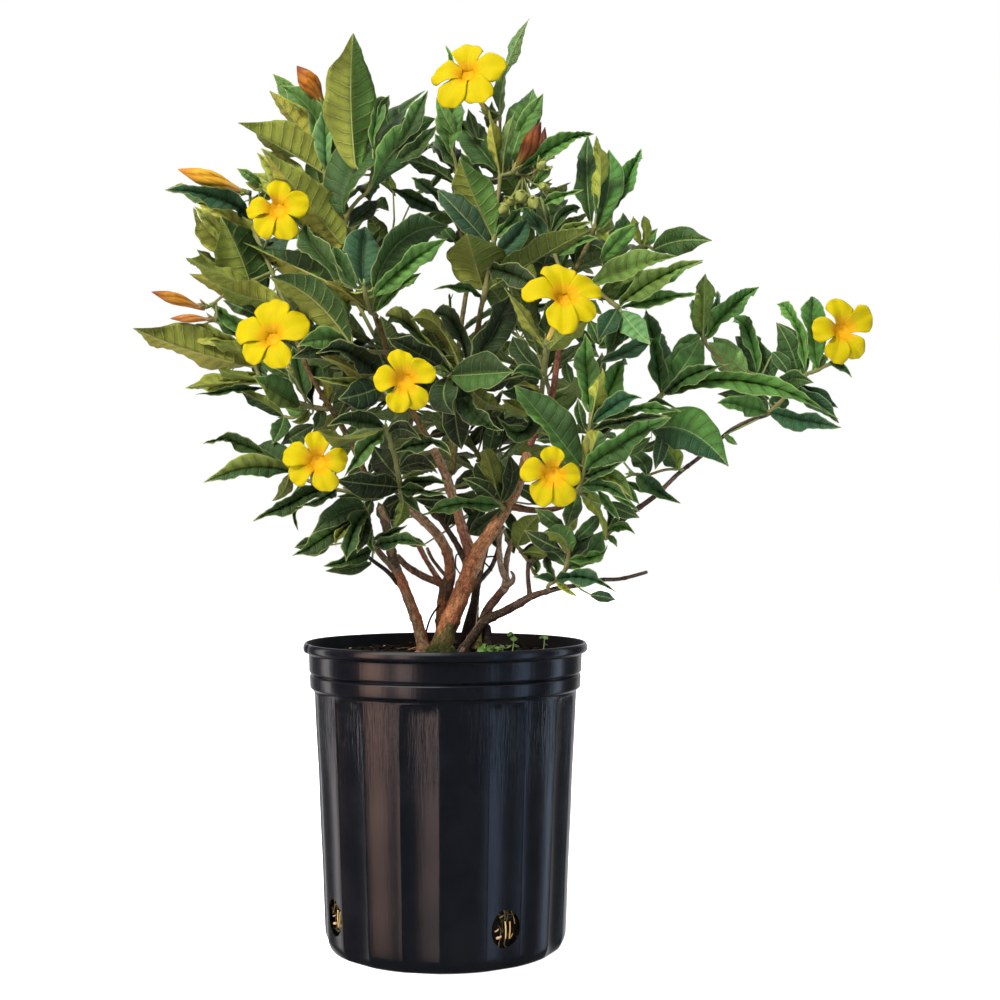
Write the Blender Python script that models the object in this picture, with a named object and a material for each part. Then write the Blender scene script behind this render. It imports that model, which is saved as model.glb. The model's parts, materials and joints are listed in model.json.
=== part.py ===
"""Potted allamanda: a bushy flowering shrub in a ribbed black nursery can.

Metres, +Z up.  The origin is the centre of the pot's flat bottom.  The plant
is described by a table of points (across, down, depth) drawn on an upright
picture plane; place() turns them into metres.  Depth grows away from the
viewer, in millimetres.
"""
import math
import random

import bmesh
import bpy
from mathutils import Matrix, Quaternion, Vector
from mathutils.bvhtree import BVHTree

# ------------------------------------------------------------ dimensions
POT_RIM_R = 0.1271          # outside of the rolled lip
POT_HEIGHT = 0.2705
POT_WALL = 0.0018
POT_BASE_R = 0.103          # flat contact disc
FLUTE_DEPTH = 0.0025  # deepest point of a hollow
FLUTES = 10           # hollows round the body
FLUTE_START = 11.0    # middle of the first flat panel, degrees right of the front
HOLE_ANGLES = (30.0, 120.0, 210.0, 300.0)
HOLE_Z, HOLE_W, HOLE_H = 0.0355, 0.027, 0.032
SOIL_TOP = 0.262
SOIL_EDGE = 0.2575
LEAF_THICK = 0.0013
TWIG_GAP = 0.0006

EYE = Vector((0.0488, -1.385, 0.3705))
FOCAL = 1540.0
CENTRE_U, LEVEL_V = 500.0, 530.0


def place(u, v, depth_mm):
    y = depth_mm / 1000.0
    d = y - EYE.y
    return Vector((EYE.x + (u - CENTRE_U) * d / FOCAL, y,
                   EYE.z + (LEVEL_V - v) * d / FOCAL))


def unplace(p):
    d = p.y - EYE.y
    return (CENTRE_U + (p.x - EYE.x) * FOCAL / d,
            LEVEL_V - (p.z - EYE.z) * FOCAL / d, p.y * 1000.0)


# ------------------------------------------------------------ plant table
# woody stems: runs of (across, down, depth mm, radius mm)
STEMS = {
    "trunk_main": [
        [(442, 647, -16, 9.5), (446, 632, -17, 8.6), (455, 609, -17, 8.2), (463, 590, -16, 7.8),
         (470, 571, -16, 7.6), (475, 557, -16, 7.6)],
        [(472, 566, -16, 7.0), (480, 548, -17, 6.4), (490, 534, -18, 5.9), (500, 518, -20, 5.6),
         (509, 503, -22, 5.5), (517, 487, -22, 5.0), (523, 468, -21, 4.4), (527, 454, -19, 3.8)],
        [(474, 562, -16, 5.6), (468, 545, -15, 4.9), (462, 528, -15, 4.6), (457, 510, -16, 4.4),
         (452, 495, -17, 4.3), (446, 476, -19, 4.1), (439, 460, -22, 3.9), (434, 450, -25, 3.6)],
        [(510, 506, -22, 3.4), (530, 510, -28, 2.7), (548, 510, -32, 2.4), (562, 507, -36, 2.1)],
        [(468, 566, -14, 3.6), (456, 543, -2, 2.6), (445, 526, 6, 2.4), (437, 515, 12, 2.1)],
    ],
    "stem_left_outer": [
        [(424, 648, -20, 5.6), (417, 622, -22, 5.0), (409, 600, -23, 4.7), (401, 580, -24, 4.5),
         (395, 566, -25, 4.3), (390, 546, -26, 4.2), (386, 524, -28, 4.1), (380, 507, -30, 3.6)],
        [(397, 571, -25, 3.2), (384, 558, -29, 2.9), (376, 548, -33, 2.4)],
    ],
    "stem_second": [
        [(442, 643, 6, 6.0), (443, 612, 5, 6.2), (446, 590, 2, 6.2), (450, 574, -1, 5.0),
         (448, 555, -4, 4.5), (439, 537, -8, 4.4), (425, 522, -12, 4.0), (412, 511, -16, 3.8),
         (404, 504, -18, 3.6)],
        [(443, 584, 3, 3.6), (425, 577, 6, 3.2), (408, 567, 8, 3.0), (397, 556, 8, 2.6)],
        [(440, 582, 0, 2.6), (428, 563, -8, 2.3), (421, 550, -13, 2.5), (419, 545, -15, 2.6)],
        [(446, 576, 2, 1.8), (433, 560, 6, 1.5), (427, 548, 9, 1.4)],
    ],
    "stem_back": [
        [(474, 641, 24, 4.8), (474, 610, 24, 4.4), (477, 585, 23, 3.4), (481, 566, 22, 3.0),
         (486, 548, 20, 2.6), (490, 525, 18, 2.3), (490, 502, 16, 2.0)],
        [(478, 582, 23, 2.4), (490, 569, 25, 2.2), (496, 556, 27, 1.9), (500, 540, 30, 1.6)],
    ],
    "stem_right_twin": [
        [(479, 643, 4, 5.0), (486, 613, 2, 4.2), (498, 596, 0, 3.8), (507, 583, -2, 3.7),
         (501, 567, -4, 2.6), (499, 548, -5, 2.4), (500, 535, -6, 2.3), (503, 526, -7, 2.0)],
        [(506, 585, -2, 3.0), (506, 566, 2, 2.7), (509, 550, 6, 2.6), (516, 537, 9, 2.5),
         (530, 526, 12, 2.3), (545, 516, 15, 2.0)],
    ],
    "stem_low_right": [
        [(470, 641, -34, 4.2), (482, 624, -35, 4.2), (490, 618, -36, 4.0), (505, 611, -37, 3.7),
         (518, 604, -38, 3.6), (530, 597, -38, 3.2), (545, 592, -39, 2.5), (560, 588, -40, 2.2),
         (580, 585, -42, 1.9), (600, 580, -44, 1.8), (620, 579, -46, 1.6), (640, 574, -48, 1.6),
         (647, 572, -49, 1.4)],
        [(530, 597, -38, 2.2), (528, 578, -36, 1.9), (528, 563, -34, 1.7)],
    ],
    "stem_long_right": [
        [(514, 584, 14, 2.6), (530, 578, 18, 2.7), (552, 568, 19, 2.8), (580, 551, 18, 2.8),
         (604, 535, 16, 2.8), (627, 516, 14, 2.6), (655, 496, 12, 2.2), (678, 474, 10, 2.0),
         (701, 456, 8, 1.9), (726, 434, 6, 1.9), (738, 426, 5, 1.7), (751, 420, 4, 1.7),
         (765, 416, 3, 1.6)],
    ],
    "stem_upper_left": [
        [(431, 443, -28, 3.0), (420, 425, -34, 2.9), (404, 395, -42, 2.8), (391, 362, -50, 2.6),
         (382, 335, -56, 2.4), (372, 308, -58, 2.3), (360, 275, -52, 2.1), (346, 240, -42, 2.0),
         (333, 205, -34, 1.8), (327, 187, -31, 1.7)],
    ],
    "stem_upper_right": [
        [(530, 445, -16, 3.2), (541, 420, -24, 3.0), (552, 395, -34, 2.8), (559, 350, -42, 2.7),
         (566, 310, -40, 2.4), (576, 270, -30, 2.1), (590, 240, -22, 1.8)],
    ],
    "stem_upper_centre": [
        [(452, 474, -8, 2.8), (456, 440, -4, 2.8), (464, 400, -4, 2.7), (472, 365, -18, 2.5),
         (477, 335, -40, 2.4), (481, 308, -60, 2.3)],
    ],
    "stem_upper_back": [
        [(452, 452, 8, 2.6), (455, 400, 16, 2.5), (459, 345, 18, 2.3), (465, 300, 18, 2.2),
         (469, 275, 17, 2.1), (463, 240, 14, 1.9), (455, 220, 12, 1.8)],
    ],
    "stem_far_left": [
        [(377, 499, -32, 2.9), (368, 480, -40, 2.7), (352, 445, -46, 2.5), (335, 415, -50, 2.4),
         (322, 395, -50, 2.2), (308, 370, -50, 2.1), (297, 342, -52, 2.0)],
    ],
}

# leafy shoots: green twigs that carry the leaves, (across, down, depth mm, radius mm)
TWIGS = {
    "a1": [[(326, 183, -30.5, 1.8), (325, 172, -30, 1.6)]],
    "a2": [[(350, 236, -44, 1.6), (347, 216, -60, 1.7), (358, 200, -64, 1.6), (368, 190, -66, 1.6),
            (374, 165, -66, 1.2)]],
    "a3": [[(454, 216, 12, 1.7), (453, 205, 11, 1.7), (457, 175, 10, 1.5), (452, 150, 10, 1.2)]],
    "a4": [[(497, 208, -40, 1.6), (500, 178, -26, 1.9), (501, 158, -22, 1.5), (500, 118, -16, 1.3),
            (502, 98, -14, 1.0)],
           [(500, 176, -26, 1.4), (514, 173, -30, 1.4), (530, 178, -30, 1.3)]],
    "g": [[(591, 236, -21, 1.8), (595, 226, -20, 1.9), (597, 216, -20, 1.4)]],
    "b": [[(295, 336, -53, 1.9), (286, 308, -60, 2.0), (272, 272, -44, 1.8), (258, 240, -27, 1.7),
           (249, 217, -20, 1.6)],
          [(272, 272, -44, 1.4), (232, 290, -40, 1.2), (214, 303, -36, 1.2)]],
    "c": [[(327, 409, -55, 1.9), (308, 406, -48, 1.8), (285, 395, -38, 1.8), (265, 384, -32, 1.7),
           (256, 368, -30, 1.5), (254, 352, -30, 1.2)],
          [(308, 406, -48, 1.6), (295, 417, -38, 1.6), (284, 417, -28, 1.5)]],
    "d1": [[(377, 316, -62, 1.9), (371, 312, -88, 1.9), (366, 298, -105, 1.9), (364, 286, -112, 1.6)]],
    "d2": [[(386, 352, -60, 1.8), (375, 352, -85, 1.8), (361, 350, -105, 1.9), (351, 345, -118, 1.7)]],
    "e": [[(482, 304, -62, 2.2), (485, 291, -75, 2.4), (490, 262, -70, 2.0), (494, 240, -56, 2.1),
           (496, 222, -48, 1.8)]],
    "h2": [[(565, 300, -46, 1.7), (560, 270, -44, 1.7), (550, 240, -38, 1.6), (543, 204, -32, 1.2)]],
    "k": [[(573, 294, -46, 1.8), (582, 292, -56, 1.8), (592, 287, -62, 1.8), (606, 298, -64, 1.8),
           (619, 308, -66, 1.9)],
          [(592, 287, -62, 1.5), (618, 262, -52, 1.5), (641, 246, -44, 1.5), (655, 250, -42, 1.2)]],
    "l1": [[(735, 378, -18, 1.5), (722, 362, -20, 1.5), (708, 347, -20, 1.6), (704, 338, -20, 1.5)]],
    "l5": [[(606, 432, -84, 1.7), (625, 418, -66, 1.7), (645, 406, -54, 1.7), (662, 395, -50, 2.0)],
           [(645, 406, -54, 1.4), (648, 420, -48, 1.4), (652, 430, -46, 1.4)]],
    "r1": [[(768, 414, 2.5, 1.7), (786, 396, -1, 1.6), (804, 376, -4, 1.5), (816, 371, -5, 1.4),
            (829, 364, -6, 1.4)],
           [(786, 396, -1, 1.3), (772, 382, -6, 1.3), (750, 373, -11, 1.3)]],
    "r2": [[(655, 490, 7, 1.4), (650, 482, 0, 1.4), (646, 476, -6, 1.5), (632, 474, -14, 1.2)],
           [(646, 476, -6, 1.3), (664, 470, -8, 1.3), (678, 469, -6, 1.2)]],
    "r3": [[(606, 539, 8, 1.6), (607, 536, 4, 1.6), (608, 532, -2, 1.4)]],
    "m": [[(538, 430, -30, 1.9), (541, 400, -62, 2.2), (544, 370, -92, 2.2), (546, 350, -106, 2.1)]],
    "m5": [[(566, 505, -42, 1.9), (577, 495, -66, 1.9), (583, 480, -84, 2.0), (587, 455, -95, 1.7),
            (590, 428, -100, 1.7), (591, 412, -104, 1.4)]],
    "n": [[(470, 370, -28, 1.8), (468, 372, -60, 1.8), (459, 375, -85, 1.8), (449, 374, -104, 1.7)]],
    "o": [[(396, 384, -52, 1.7), (386, 380, -85, 1.7), (378, 385, -104, 1.6)]],
    "p": [[(403, 500, -22, 2.3), (400, 486, -50, 2.5), (397, 465, -76, 2.4), (391, 443, -98, 2.3),
           (386, 428, -108, 2.1)]],
    "q1": [[(369, 496, -40, 1.7), (350, 492, -52, 1.7), (325, 487, -60, 1.6), (300, 477, -64, 1.6),
            (290, 472, -64, 1.4)]],
    "q2": [[(374, 544, -35, 1.7), (370, 530, -42, 1.6), (368, 515, -46, 1.7), (364, 507, -50, 1.4)]],
    "v": [[(505, 509, -32, 1.9), (500, 504, -36, 2.0), (497, 498, -38, 1.5)]],
    "s": [[(548, 586, -42, 1.7), (556, 580, -46, 1.8), (566, 568, -52, 1.8), (569, 548, -56, 1.5),
           (571, 528, -58, 1.2)]],
    "u": [[(516, 545, 2, 1.6), (524, 555, -10, 1.5), (535, 574, -22, 1.3)]],
}

# leaves: name, shoot, base, middle and tip on the picture, seen half widths left
# and right of the midrib (travelling to the tip), side seen (T upper, U under),
# tones left and right, then depth of the tip and of the base from the twig
LEAVES = """
A8 a2 344 216 362 160 427 89 26 10 T D
A1 a2 356 172 351 100 353.5 32 25 22 U HO
A5 a2 344 247 310 207 260 147 16 22 U YO
A9 a2 371 188 400 141 437 118 12 18 T G
A13 a2 373 150 377 115 390 97 6 6 T G
D10 a2 348 228 362 214 380 200 8 8 T K
A6 a1 328 176 327 135 334 91 11 7 T L
A7 a1 332 178 338 157 350 141 8 6 T B
A2 a1 325 162 310 108 272.5 72.5 9 14 T G
A3 a1 325 174 301 131 268 90 5 17 U Y
A4 a1 322 172 285 150 237 122.5 4 25 U O
A16 a3 451 155 450 122 460 98 12 12 T G
A14 a3 456 184 430 167 405 160 7 7 U D
A15 a3 458 170 447 152 434 133 6 7 T D
E1 a3 440 212 412 197 390 188 8 6 T D
E2 a3 447 208 430 190 410 177 5 5 T D
A19 a4 500 118 506 70 531 16 6 5 U DL
A17 a4 498 172 478 145 457 120 14 12 T D
A18 a4 500 176 495 145 489 110 5 6 U Y
A21 a4 508 168 522 125 534 86 16 13 T G
A22 a4 503 174 506 145 515.5 110 5 3 U L
A23 a4 516 174 560 139 597 124 9 5 T G
A24 a4 492 112 462 78 445 43 5 5 T G
G1 g 591 225 587 178 588 134 4 5 T D
G2 g 594 226 600 180 594 139 7 6 U Y
G3 g 597 228 609 187 608.5 147 7 9 T DG
G4 g 600 230 624 187 642.5 146 8 6 T G
K1a g 606 246 605 232 613 213 9 6 T Y
K1b g 612 250 622 234 623 212 9 8 T G
B4 b 256 308 243 262 220 215 26 22 U OD
B1 b 249 217 215 197 164 190 8 10 T B
B3 b 244 262 212 235 193 207 12 3 U Y
B6 b 264 300 228 288 188 273 9 8 U Y
B5 b 262 296 222 275 184 257 8 8 U O
B8 b 285 306 250 297 215 284 10 15 U OY
B7 b 250 285 222 268 196 249 6 6 U O
C4 c 256 368 195 352 132 328 9 24 U YO
C3 c 254 350 232 326 212 312 8 8 T G
C5 c 258 360 236 350 208 340 5 7 U O
C6 c 262 384 225 383 184 388 5 9 U O
C6b c 260 380 238 375 216 368 6 4 U O
C7 c 266 388 230 391 195 394.5 3 4 T D
C8 c 284 416 264 403 240 391 8 7 U DO
C9 c 300 406 275 391 254 377 10 15 T HG
C10 c 268 378 260 372 250 364 5 5 T B
C11 c 284 417 280 430 272 444 8 9 T D
O8 c 322 408 329 393 318 378 4 5 U Y
O6a c 306 404 300 375 293 345 8 8 T D
O6b c 313 405 312 385 318 362 8 8 T D
P1 c 318 409 320 420 313 431 6 7 T D
P2 c 309 410 302 420 291 421 4 4 T O
D1 d1 364 288 362 258 366 224 15 22 T B
B2 d1 352 293 285 253 196 205 9 14 U YD
D2 d1 360 292 344 268 333 245 8 8 T D
D3 d1 356 290 315 248 300 215 9 9 T D
D6 d1 368 310 350 296 322 280 6 6 U Y
D7 d1 373 313 375 299 385 287 18 8 U H
E4a d1 374 290 402 240 452 226 14 20 T D
E4b d1 374 296 405 265 448 238 8 12 T G
E7 d1 376 312 397 289 421 273 5 5 T G
D4 d2 351 345 312 299 268 277 14 18 U OD
D5 d2 352 335 339 310 320 288 10 12 T D
D8 d2 348 346 322 338 297 347 10 10 T G
D9 d2 346 350 318 351 292 358 9 9 T K
E5 e 484 291 475 262 466 232 24 28 U YH
H1 e 493 238 474 197 459 157 16 20 U OG
J1 e 487 290 540 257 598 226 17 4 U H
E3 e 490 246 460 213 437 190 10 14 T B
E6 e 482 297 458 288 433 290 3 5 T D
H3 e 496 234 496 212 500 190 7 7 T K
H4 e 492 258 513 240 528 218 10 10 T B
H5 e 495 238 508 225 523 207 6 5 T G
J2 e 490 268 516 276 546 292 9 10 T K
H7 h2 548 234 550 215 540 192 12 12 T D
H6 h2 549 243 536 224 522 206 7 7 T B
H8 h2 544 204 562 196 583 190 5 4 T G
H9 h2 550 236 564 214 581 208 5 5 T D
H10a h2 553 244 572 229 592 222 6 6 T H
H10b h2 557 256 577 242 598 238 5 6 T H
K4 k 590 286 632 269 678 256 16 5 T H
K5 k 620 306 654 281 704 260 11 8 T H
K6 k 621 308 660 299 700 294 7 5 T G
K2 k 653 250 678 241 711 240.5 13 13 T D
K3a k 641 246 636 232 633 215 4 4 U Y
K3b k 644 246 646 230 643 214 4 5 U Y
L26a k 617 309 608 325 598 341 9 11 T B
L26b k 621 311 634 328 650 344 12 11 T L
L26c k 616 312 616 336 606 357 8 10 T D
L1 l1 703 338 704 306 705.4 272 10 9 U Y
L1b l1 701 338 697 317 692 298 6 7 T D
L2 l1 706 340 727 312 759 287 10 8 T G
L3 l1 706 336 716 310 717 290 4 4 T B
L5 l5 664 394 683 366 706 336 17 15 T G
L14 l5 664 395 745 381 840 420 9 9 T G
L5b l5 664 394 693 374 730 364 6 8 T H
L4 l5 661 394 654 350 645 305 6 9 T D
L4b l5 662 392 660 360 657 325 6 8 T B
L18 l5 652 430 690 432 729 467 22 20 T GB
L20b l5 647 406 659 402 682 412 3 3 T D
L6 r1 748 373 728 358 708 342 13 12 U L
L8 r1 773 382 757 356 733 335 15 13 T D
L7 r1 757 374 749 336 733 317 6 8 T G
L10 r1 802 377 793 350 779 323 15 15 T D
L11 r1 818 371 813 325 813 293 9 12 T G
L9 r1 806 374 795 322 774.5 304 5 6 T G
L17 r1 780 388 794 379 814 383 8 10 T D
L12 r1 829 363 841 366 852 378 4 4 T B
L12b r1 812 372 820 362 829 356 5 4 T L
L16 r1 770 413 802 420 842 427.5 8 10 T B
L15a r1 768 413 740 404 717 403 9 10 T G
L15b r1 768 412 755 400 741 390 9 9 T B
L15c r1 771 411 779 402 789 392 9 9 T D
L22a r2 646 475 642 462 627 452 8 9 T D
L22b r2 677 469 672 455 657 437 11 10 T DO
L23 r2 638 475 654 488 680 503 7 8 T BD
L25 r3 608 532 622 527 635 534 5 4 T G
S15b r3 607 536 613 540 617 547 3 3 T G
S17a r3 606 532 610 516 602 500 3 3 T D
S17b r3 608 532 614 523 619 516 3 3 T D
M3 m 546 351 530 325 503 286 5 5 U Y
M4 m 547 352 566 334 592 318 10 10 U O
M8 m 541 408 520 432 497 416 8 8 T D
M9 m 540 412 522 410 500 398 6 8 U O
M11 m 542 392 528 388 516 385 4 5 U Y
M12 m 543 380 526 370 511 376 5 6 T L
M13a m 544 372 524 356 512 334 10 10 T K
M13b m 541 398 520 394 500 392 8 8 T K
M7 m5 580 466 548 425 514 385 9 22 T GD
M5 m5 590 414 587 375 585 333 10 10 T G
M6 m5 590 424 596 398 603 366 5 8 U Y
T2 m5 584 474 592 450 598 431 7 6 U L
T1 m5 583 477 576 455 578 436 8 8 U Y
T3 m5 586 470 624 441 672 417 11 12 T G
T4 m5 584 474 600 465 617 454 5 4 T G
T5 m5 584 477 604 469 625 461 4 6 T D
T6 m5 583 482 610 477 633 500 9 7 T HY
T7 m5 582 486 608 488 631 503 7 6 T D
T8 m5 581 490 594 501 599 525 5 5 U L
S6 m5 578 492 597 510 606 541 5 5 U Y
S14 m5 578 494 572 510 566 530 8 8 T D
L27 m5 592 424 611 388 625.5 354 9 8 T G
L28 m5 592 424 620 402 641 398 9 8 T B
L20 m5 592 420 638 410 682 412 6 4 T G
L20c m5 592 430 630 420 668 416 5 5 T K
T9 m5 589 440 604 428 613 413 6 5 T K
M2 n 451 376 485 374 513 372 20 15 T DG
N1 n 448 378 444 397 455 415 13 14 T D
N2 n 466 372 450 361 430 366 7 6 T O
N8 n 452 373 434 357 419 347 6 7 T B
N9 n 450 374 440 371 429 373 5 6 T L
N3 n 462 372 438 326 410 320 8 6 U O
N4 n 455 373 410 326 386 318 8 7 T DO
N5 n 452 373 415 352 388 338 12 12 T K
N6 n 468 366 455 325 432 314 9 9 T K
M1 n 470 370 494 332 513 290 12 15 T K
M10a n 462 376 485 402 512 408 9 9 U O
M10b n 456 377 476 416 502 430 9 9 T D
N11 n 452 377 456 422 462 450 12 12 T K
O1 o 382 386 362 394 338 399 14 14 T B
O2 o 376 387 348 367 319 356 5 5 U Y
O3 o 384 380 352 354 317 353 9 11 T K
O7 o 378 388 345 383 314 377 4 5 T O
N10 o 382 386 396 404 394 420 7 7 U L
P6 p 384 428 360 431 331 449 9 6 U L
P7 p 384 431 362 452 345 476 8 7 T G
P5 p 385 427 354 420 328 426 7 9 T D
P4 p 387 431 345 439 317 429 5 5 U O
P8 p 400 487 368 484 336 480 14 11 T K
P9 p 398 478 384 462 372 445 12 12 T K
P10 p 399 474 411 460 420 447 9 11 T D
P13 p 401 486 425 481 447 484 6 6 T D
P14 p 401 489 420 491 447 494 5 5 T D
P12 p 400 480 420 469 436 467 4 5 U O
P16 p 402 492 412 502 421 514 4 5 T D
P11 p 399 470 420 463 437 473 8 8 T K
P17 p 389 434 404 429 421 440 7 9 T K
U1 p 394 452 430 443 450 454 7 7 T D
R2 p 403 498 401 516 391 531 6 6 U Y
Q1 q1 290 472 250 468 203 483 8 12 T HO
Q3 q1 292 472 273 456 254 446 5 14 T D
Q2 q1 289 470 236 443 203 444 4 6 T D
Q5 q1 289 474 284 490 272 501 6 6 U O
Q6 q1 325 488 290 503 253 521.5 8 8 T O
Q7 q1 335 490 320 499 297 507 5 4 T L
Q8 q1 302 478 295 508 298 530 3 4 T D
P3 q1 300 476 300 450 292 433 6 6 T D
Q9a q2 365 507 340 513 312 534 11 12 T H
Q9b q2 364 509 325 537 292 556 9 9 T H
Q10 q2 366 512 342 532 336 546 4 4 T O
Q11 q2 366 510 352 535 346 562 8 8 T D
Q12 q2 367 514 362 535 357 553 8 7 T K
Q13 q2 368 520 369 538 375 554 4 5 T G
Q14 q2 373 548 348 560 324 566 7 7 T D
R1 q2 374 546 402 541 426 546 7 6 T D
R1b q2 372 540 394 532 407 525 4 4 T D
P15 v 503 507 460 504 423 516 6 7 T G
V1 v 501 504 489 482 474 461 10 15 T K
V2 v 500 505 484 489 462 478 8 8 T K
V4 v 498 500 491 468 483 447 8 9 U O
V5 v 500 500 502 480 499 458 6 6 T D
V10 v 502 502 512 478 508 452 8 7 T K
V8 v 503 508 484 524 466 535 8 9 T D
V13 v 500 506 478 501 452 492 8 8 T K
S5 s 566 568 588 552 604 529 11 11 T G
S3 s 568 556 562 537 543 532 9 11 U OG
S9 s 556 580 586 578 616 592 7 7 T B
S7 s 568 568 568 548 566 523 4 5 T B
S18 s 568 562 580 542 595 522 9 8 T K
S8 s 566 566 556 554 543 550 7 7 T B
S4 s 571 532 570 520 564 508 6 7 U O
S10 s 556 581 567 590 577 596 3 3 T O
S13 s 568 560 596 556 607 546 5 5 T G
S12 s 556 580 549 568 546 553 4 4 T K
S19 s 555 580 545 577 533 577 4 4 T B
S2 u 518 546 525 530 540 514 12 12 U O
S1 u 535 574 534 562 516 548 5 5 T G
S20 u 523 553 534 552 549 556 5 6 U O
"""

# flowers: centre on the picture, depth, way it faces, calyx point, petals as
# (degrees from the right, length on the picture), shoot that carries the stalk
FLOWERS = {
    "flower_1": ((468, 78), -34, (-0.25, -0.9, 0.36), (487, 114, -16), ((170, 37), (88, 36), (18, 39), (-62, 34), (-134, 37)), "a4"),
    "flower_2": ((276, 207), -78, (-0.1, -0.97, 0.2), (270, 232, -46), ((178, 30), (80, 28), (6, 33), (-72, 34), (-126, 33)), "b"),
    "flower_3": ((270, 335), -122, (-0.2, -0.9, 0.36), (292, 372, -96), ((165, 36), (82, 38), (20, 41), (-75, 33), (-138, 35)), "c"),
    "flower_4": ((404, 380), -160, (0.0, -1.0, 0.1), (408, 404, -128), ((172, 31), (96, 32), (24, 33), (-58, 33), (-108, 33)), "o"),
    "flower_5": ((316, 461), -118, (-0.1, -0.98, 0.1), (324, 478, -84), ((160, 34), (84, 30), (0, 31), (-68, 33), (-145, 32)), "q1"),
    "flower_6": ((565, 294), -160, (0.1, -0.85, 0.5), (547, 342, -118), ((166, 43), (104, 34), (16, 37), (-44, 36), (-100, 37)), "m"),
    "flower_7": ((552, 474), -128, (-0.05, -0.97, -0.05), (564, 492, -94), ((166, 32), (86, 28), (-4, 29), (-66, 35), (-122, 34)), "m5"),
    "flower_8": ((844, 329), -26, (0.1, -0.98, 0.1), (836, 350, 6), ((178, 31), (98, 32), (26, 33), (-60, 33), (-108, 34)), "r1"),
}

# closed buds: base, tip (across, down, depth), largest width on the picture, shoot
BUDS = {
    "bud_orange_top": ((324, 106, -22), (297, 66, -26), 21, "a1"),
    "bud_yellow_left": ((247, 192, -30), (178, 168, -52), 14, "b"),
    "bud_amber_upper": ((205, 306, -44), (151.5, 289, -60), 10, "b"),
    "bud_amber_lower": ((214, 320, -40), (170, 318.5, -56), 9, "b"),
    "bud_red_tall": ((514, 170, -40), (541, 122, -46), 17, "a4"),
    "bud_red_slim": ((534, 176, -28), (545, 127, -26), 11, "a4"),
}
GREEN_BUDS = ((504, 205, -50, 5.5), (524, 196, -44, 5.0), (536, 203, -38, 4.5), (544, 187, -32, 4.0))

# where the crown is thick enough to hide leaves behind it, and its open gaps
DENSE = [(222, 330), (206, 300), (220, 250), (212, 215), (252, 182), (252, 145), (288, 112),
         (345, 66), (372, 118), (420, 112), (452, 118), (500, 112), (536, 112), (556, 152),
         (590, 205), (632, 240), (682, 246), (660, 262), (612, 300), (602, 345), (602, 420),
         (648, 432), (636, 476), (606, 496), (592, 536), (566, 566), (544, 552), (515, 520),
         (480, 526), (440, 500), (402, 498), (368, 536), (332, 526), (302, 500), (284, 476),
         (288, 432), (258, 400), (232, 384)]
GAPS = [
    [(386, 306), (425, 286), (472, 268), (482, 290), (480, 328), (456, 338), (440, 314), (404, 322)],
    [(354, 308), (374, 308), (380, 332), (364, 346), (354, 340)],
    [(290, 392), (322, 396), (330, 414), (306, 434), (288, 432)],
    [(618, 350), (650, 346), (660, 386), (656, 402), (628, 396)],
    [(560, 404), (584, 408), (582, 428), (566, 424)],
]
# seedlings on the soil: across, down, depth mm, height m, leaf radius m
WEEDS = ((512, 645, -40, 0.017, 0.0036), (492, 645, -46, 0.010, 0.0032), (484, 645, -44, 0.008, 0.0034))
BACK_TWIGS = {
    "back_left": [
        [(404, 402, -26, 2.0), (388, 362, 20, 2.0), (362, 312, 62, 1.9), (338, 262, 92, 1.7), (322, 206, 100, 1.4)],
        [(362, 312, 62, 1.6), (388, 268, 108, 1.6), (400, 222, 128, 1.5), (404, 168, 120, 1.3)],
        [(388, 362, 20, 1.6), (342, 368, 72, 1.6), (302, 358, 92, 1.5), (266, 336, 92, 1.3)],
    ],
    "back_right": [
        [(552, 400, -22, 2.0), (538, 350, 42, 2.0), (532, 300, 82, 1.9), (534, 240, 110, 1.6), (524, 176, 108, 1.3)],
        [(532, 300, 82, 1.6), (574, 272, 108, 1.5), (610, 262, 108, 1.4), (640, 250, 92, 1.2)],
        [(538, 350, 42, 1.6), (500, 318, 98, 1.6), (474, 250, 138, 1.5), (470, 184, 130, 1.3)],
    ],
    "back_low": [
        [(489, 498, 22, 2.0), (480, 460, 62, 2.0), (456, 422, 102, 1.9), (420, 404, 130, 1.7), (372, 400, 140, 1.5), (330, 402, 122, 1.3)],
        [(480, 460, 62, 1.6), (520, 442, 110, 1.6), (560, 430, 120, 1.5), (592, 424, 100, 1.2)],
        [(456, 422, 102, 1.6), (452, 362, 160, 1.5), (450, 300, 172, 1.3)],
    ],
}


# ------------------------------------------------------------ plant geometry
def spline(points, steps=4):
    """Smooth run through the points (position and radius), Catmull-Rom."""
    out = []
    n = len(points)
    for i in range(n - 1):
        p0 = points[max(i - 1, 0)]
        p1, p2 = points[i], points[i + 1]
        p3 = points[min(i + 2, n - 1)]
        for k in range(steps):
            t = k / steps
            a, b, c, d = (-t ** 3 + 2 * t ** 2 - t, 3 * t ** 3 - 5 * t ** 2 + 2,
                          -3 * t ** 3 + 4 * t ** 2 + t, t ** 3 - t ** 2)
            out.append(((p0[0] * a + p1[0] * b + p2[0] * c + p3[0] * d) * 0.5,
                        p1[1] + (p2[1] - p1[1]) * t))
    out.append(points[-1])
    return out


def run_points(rows):
    return [(place(u, v, y), r / 1000.0) for u, v, y, r in rows]


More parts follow.
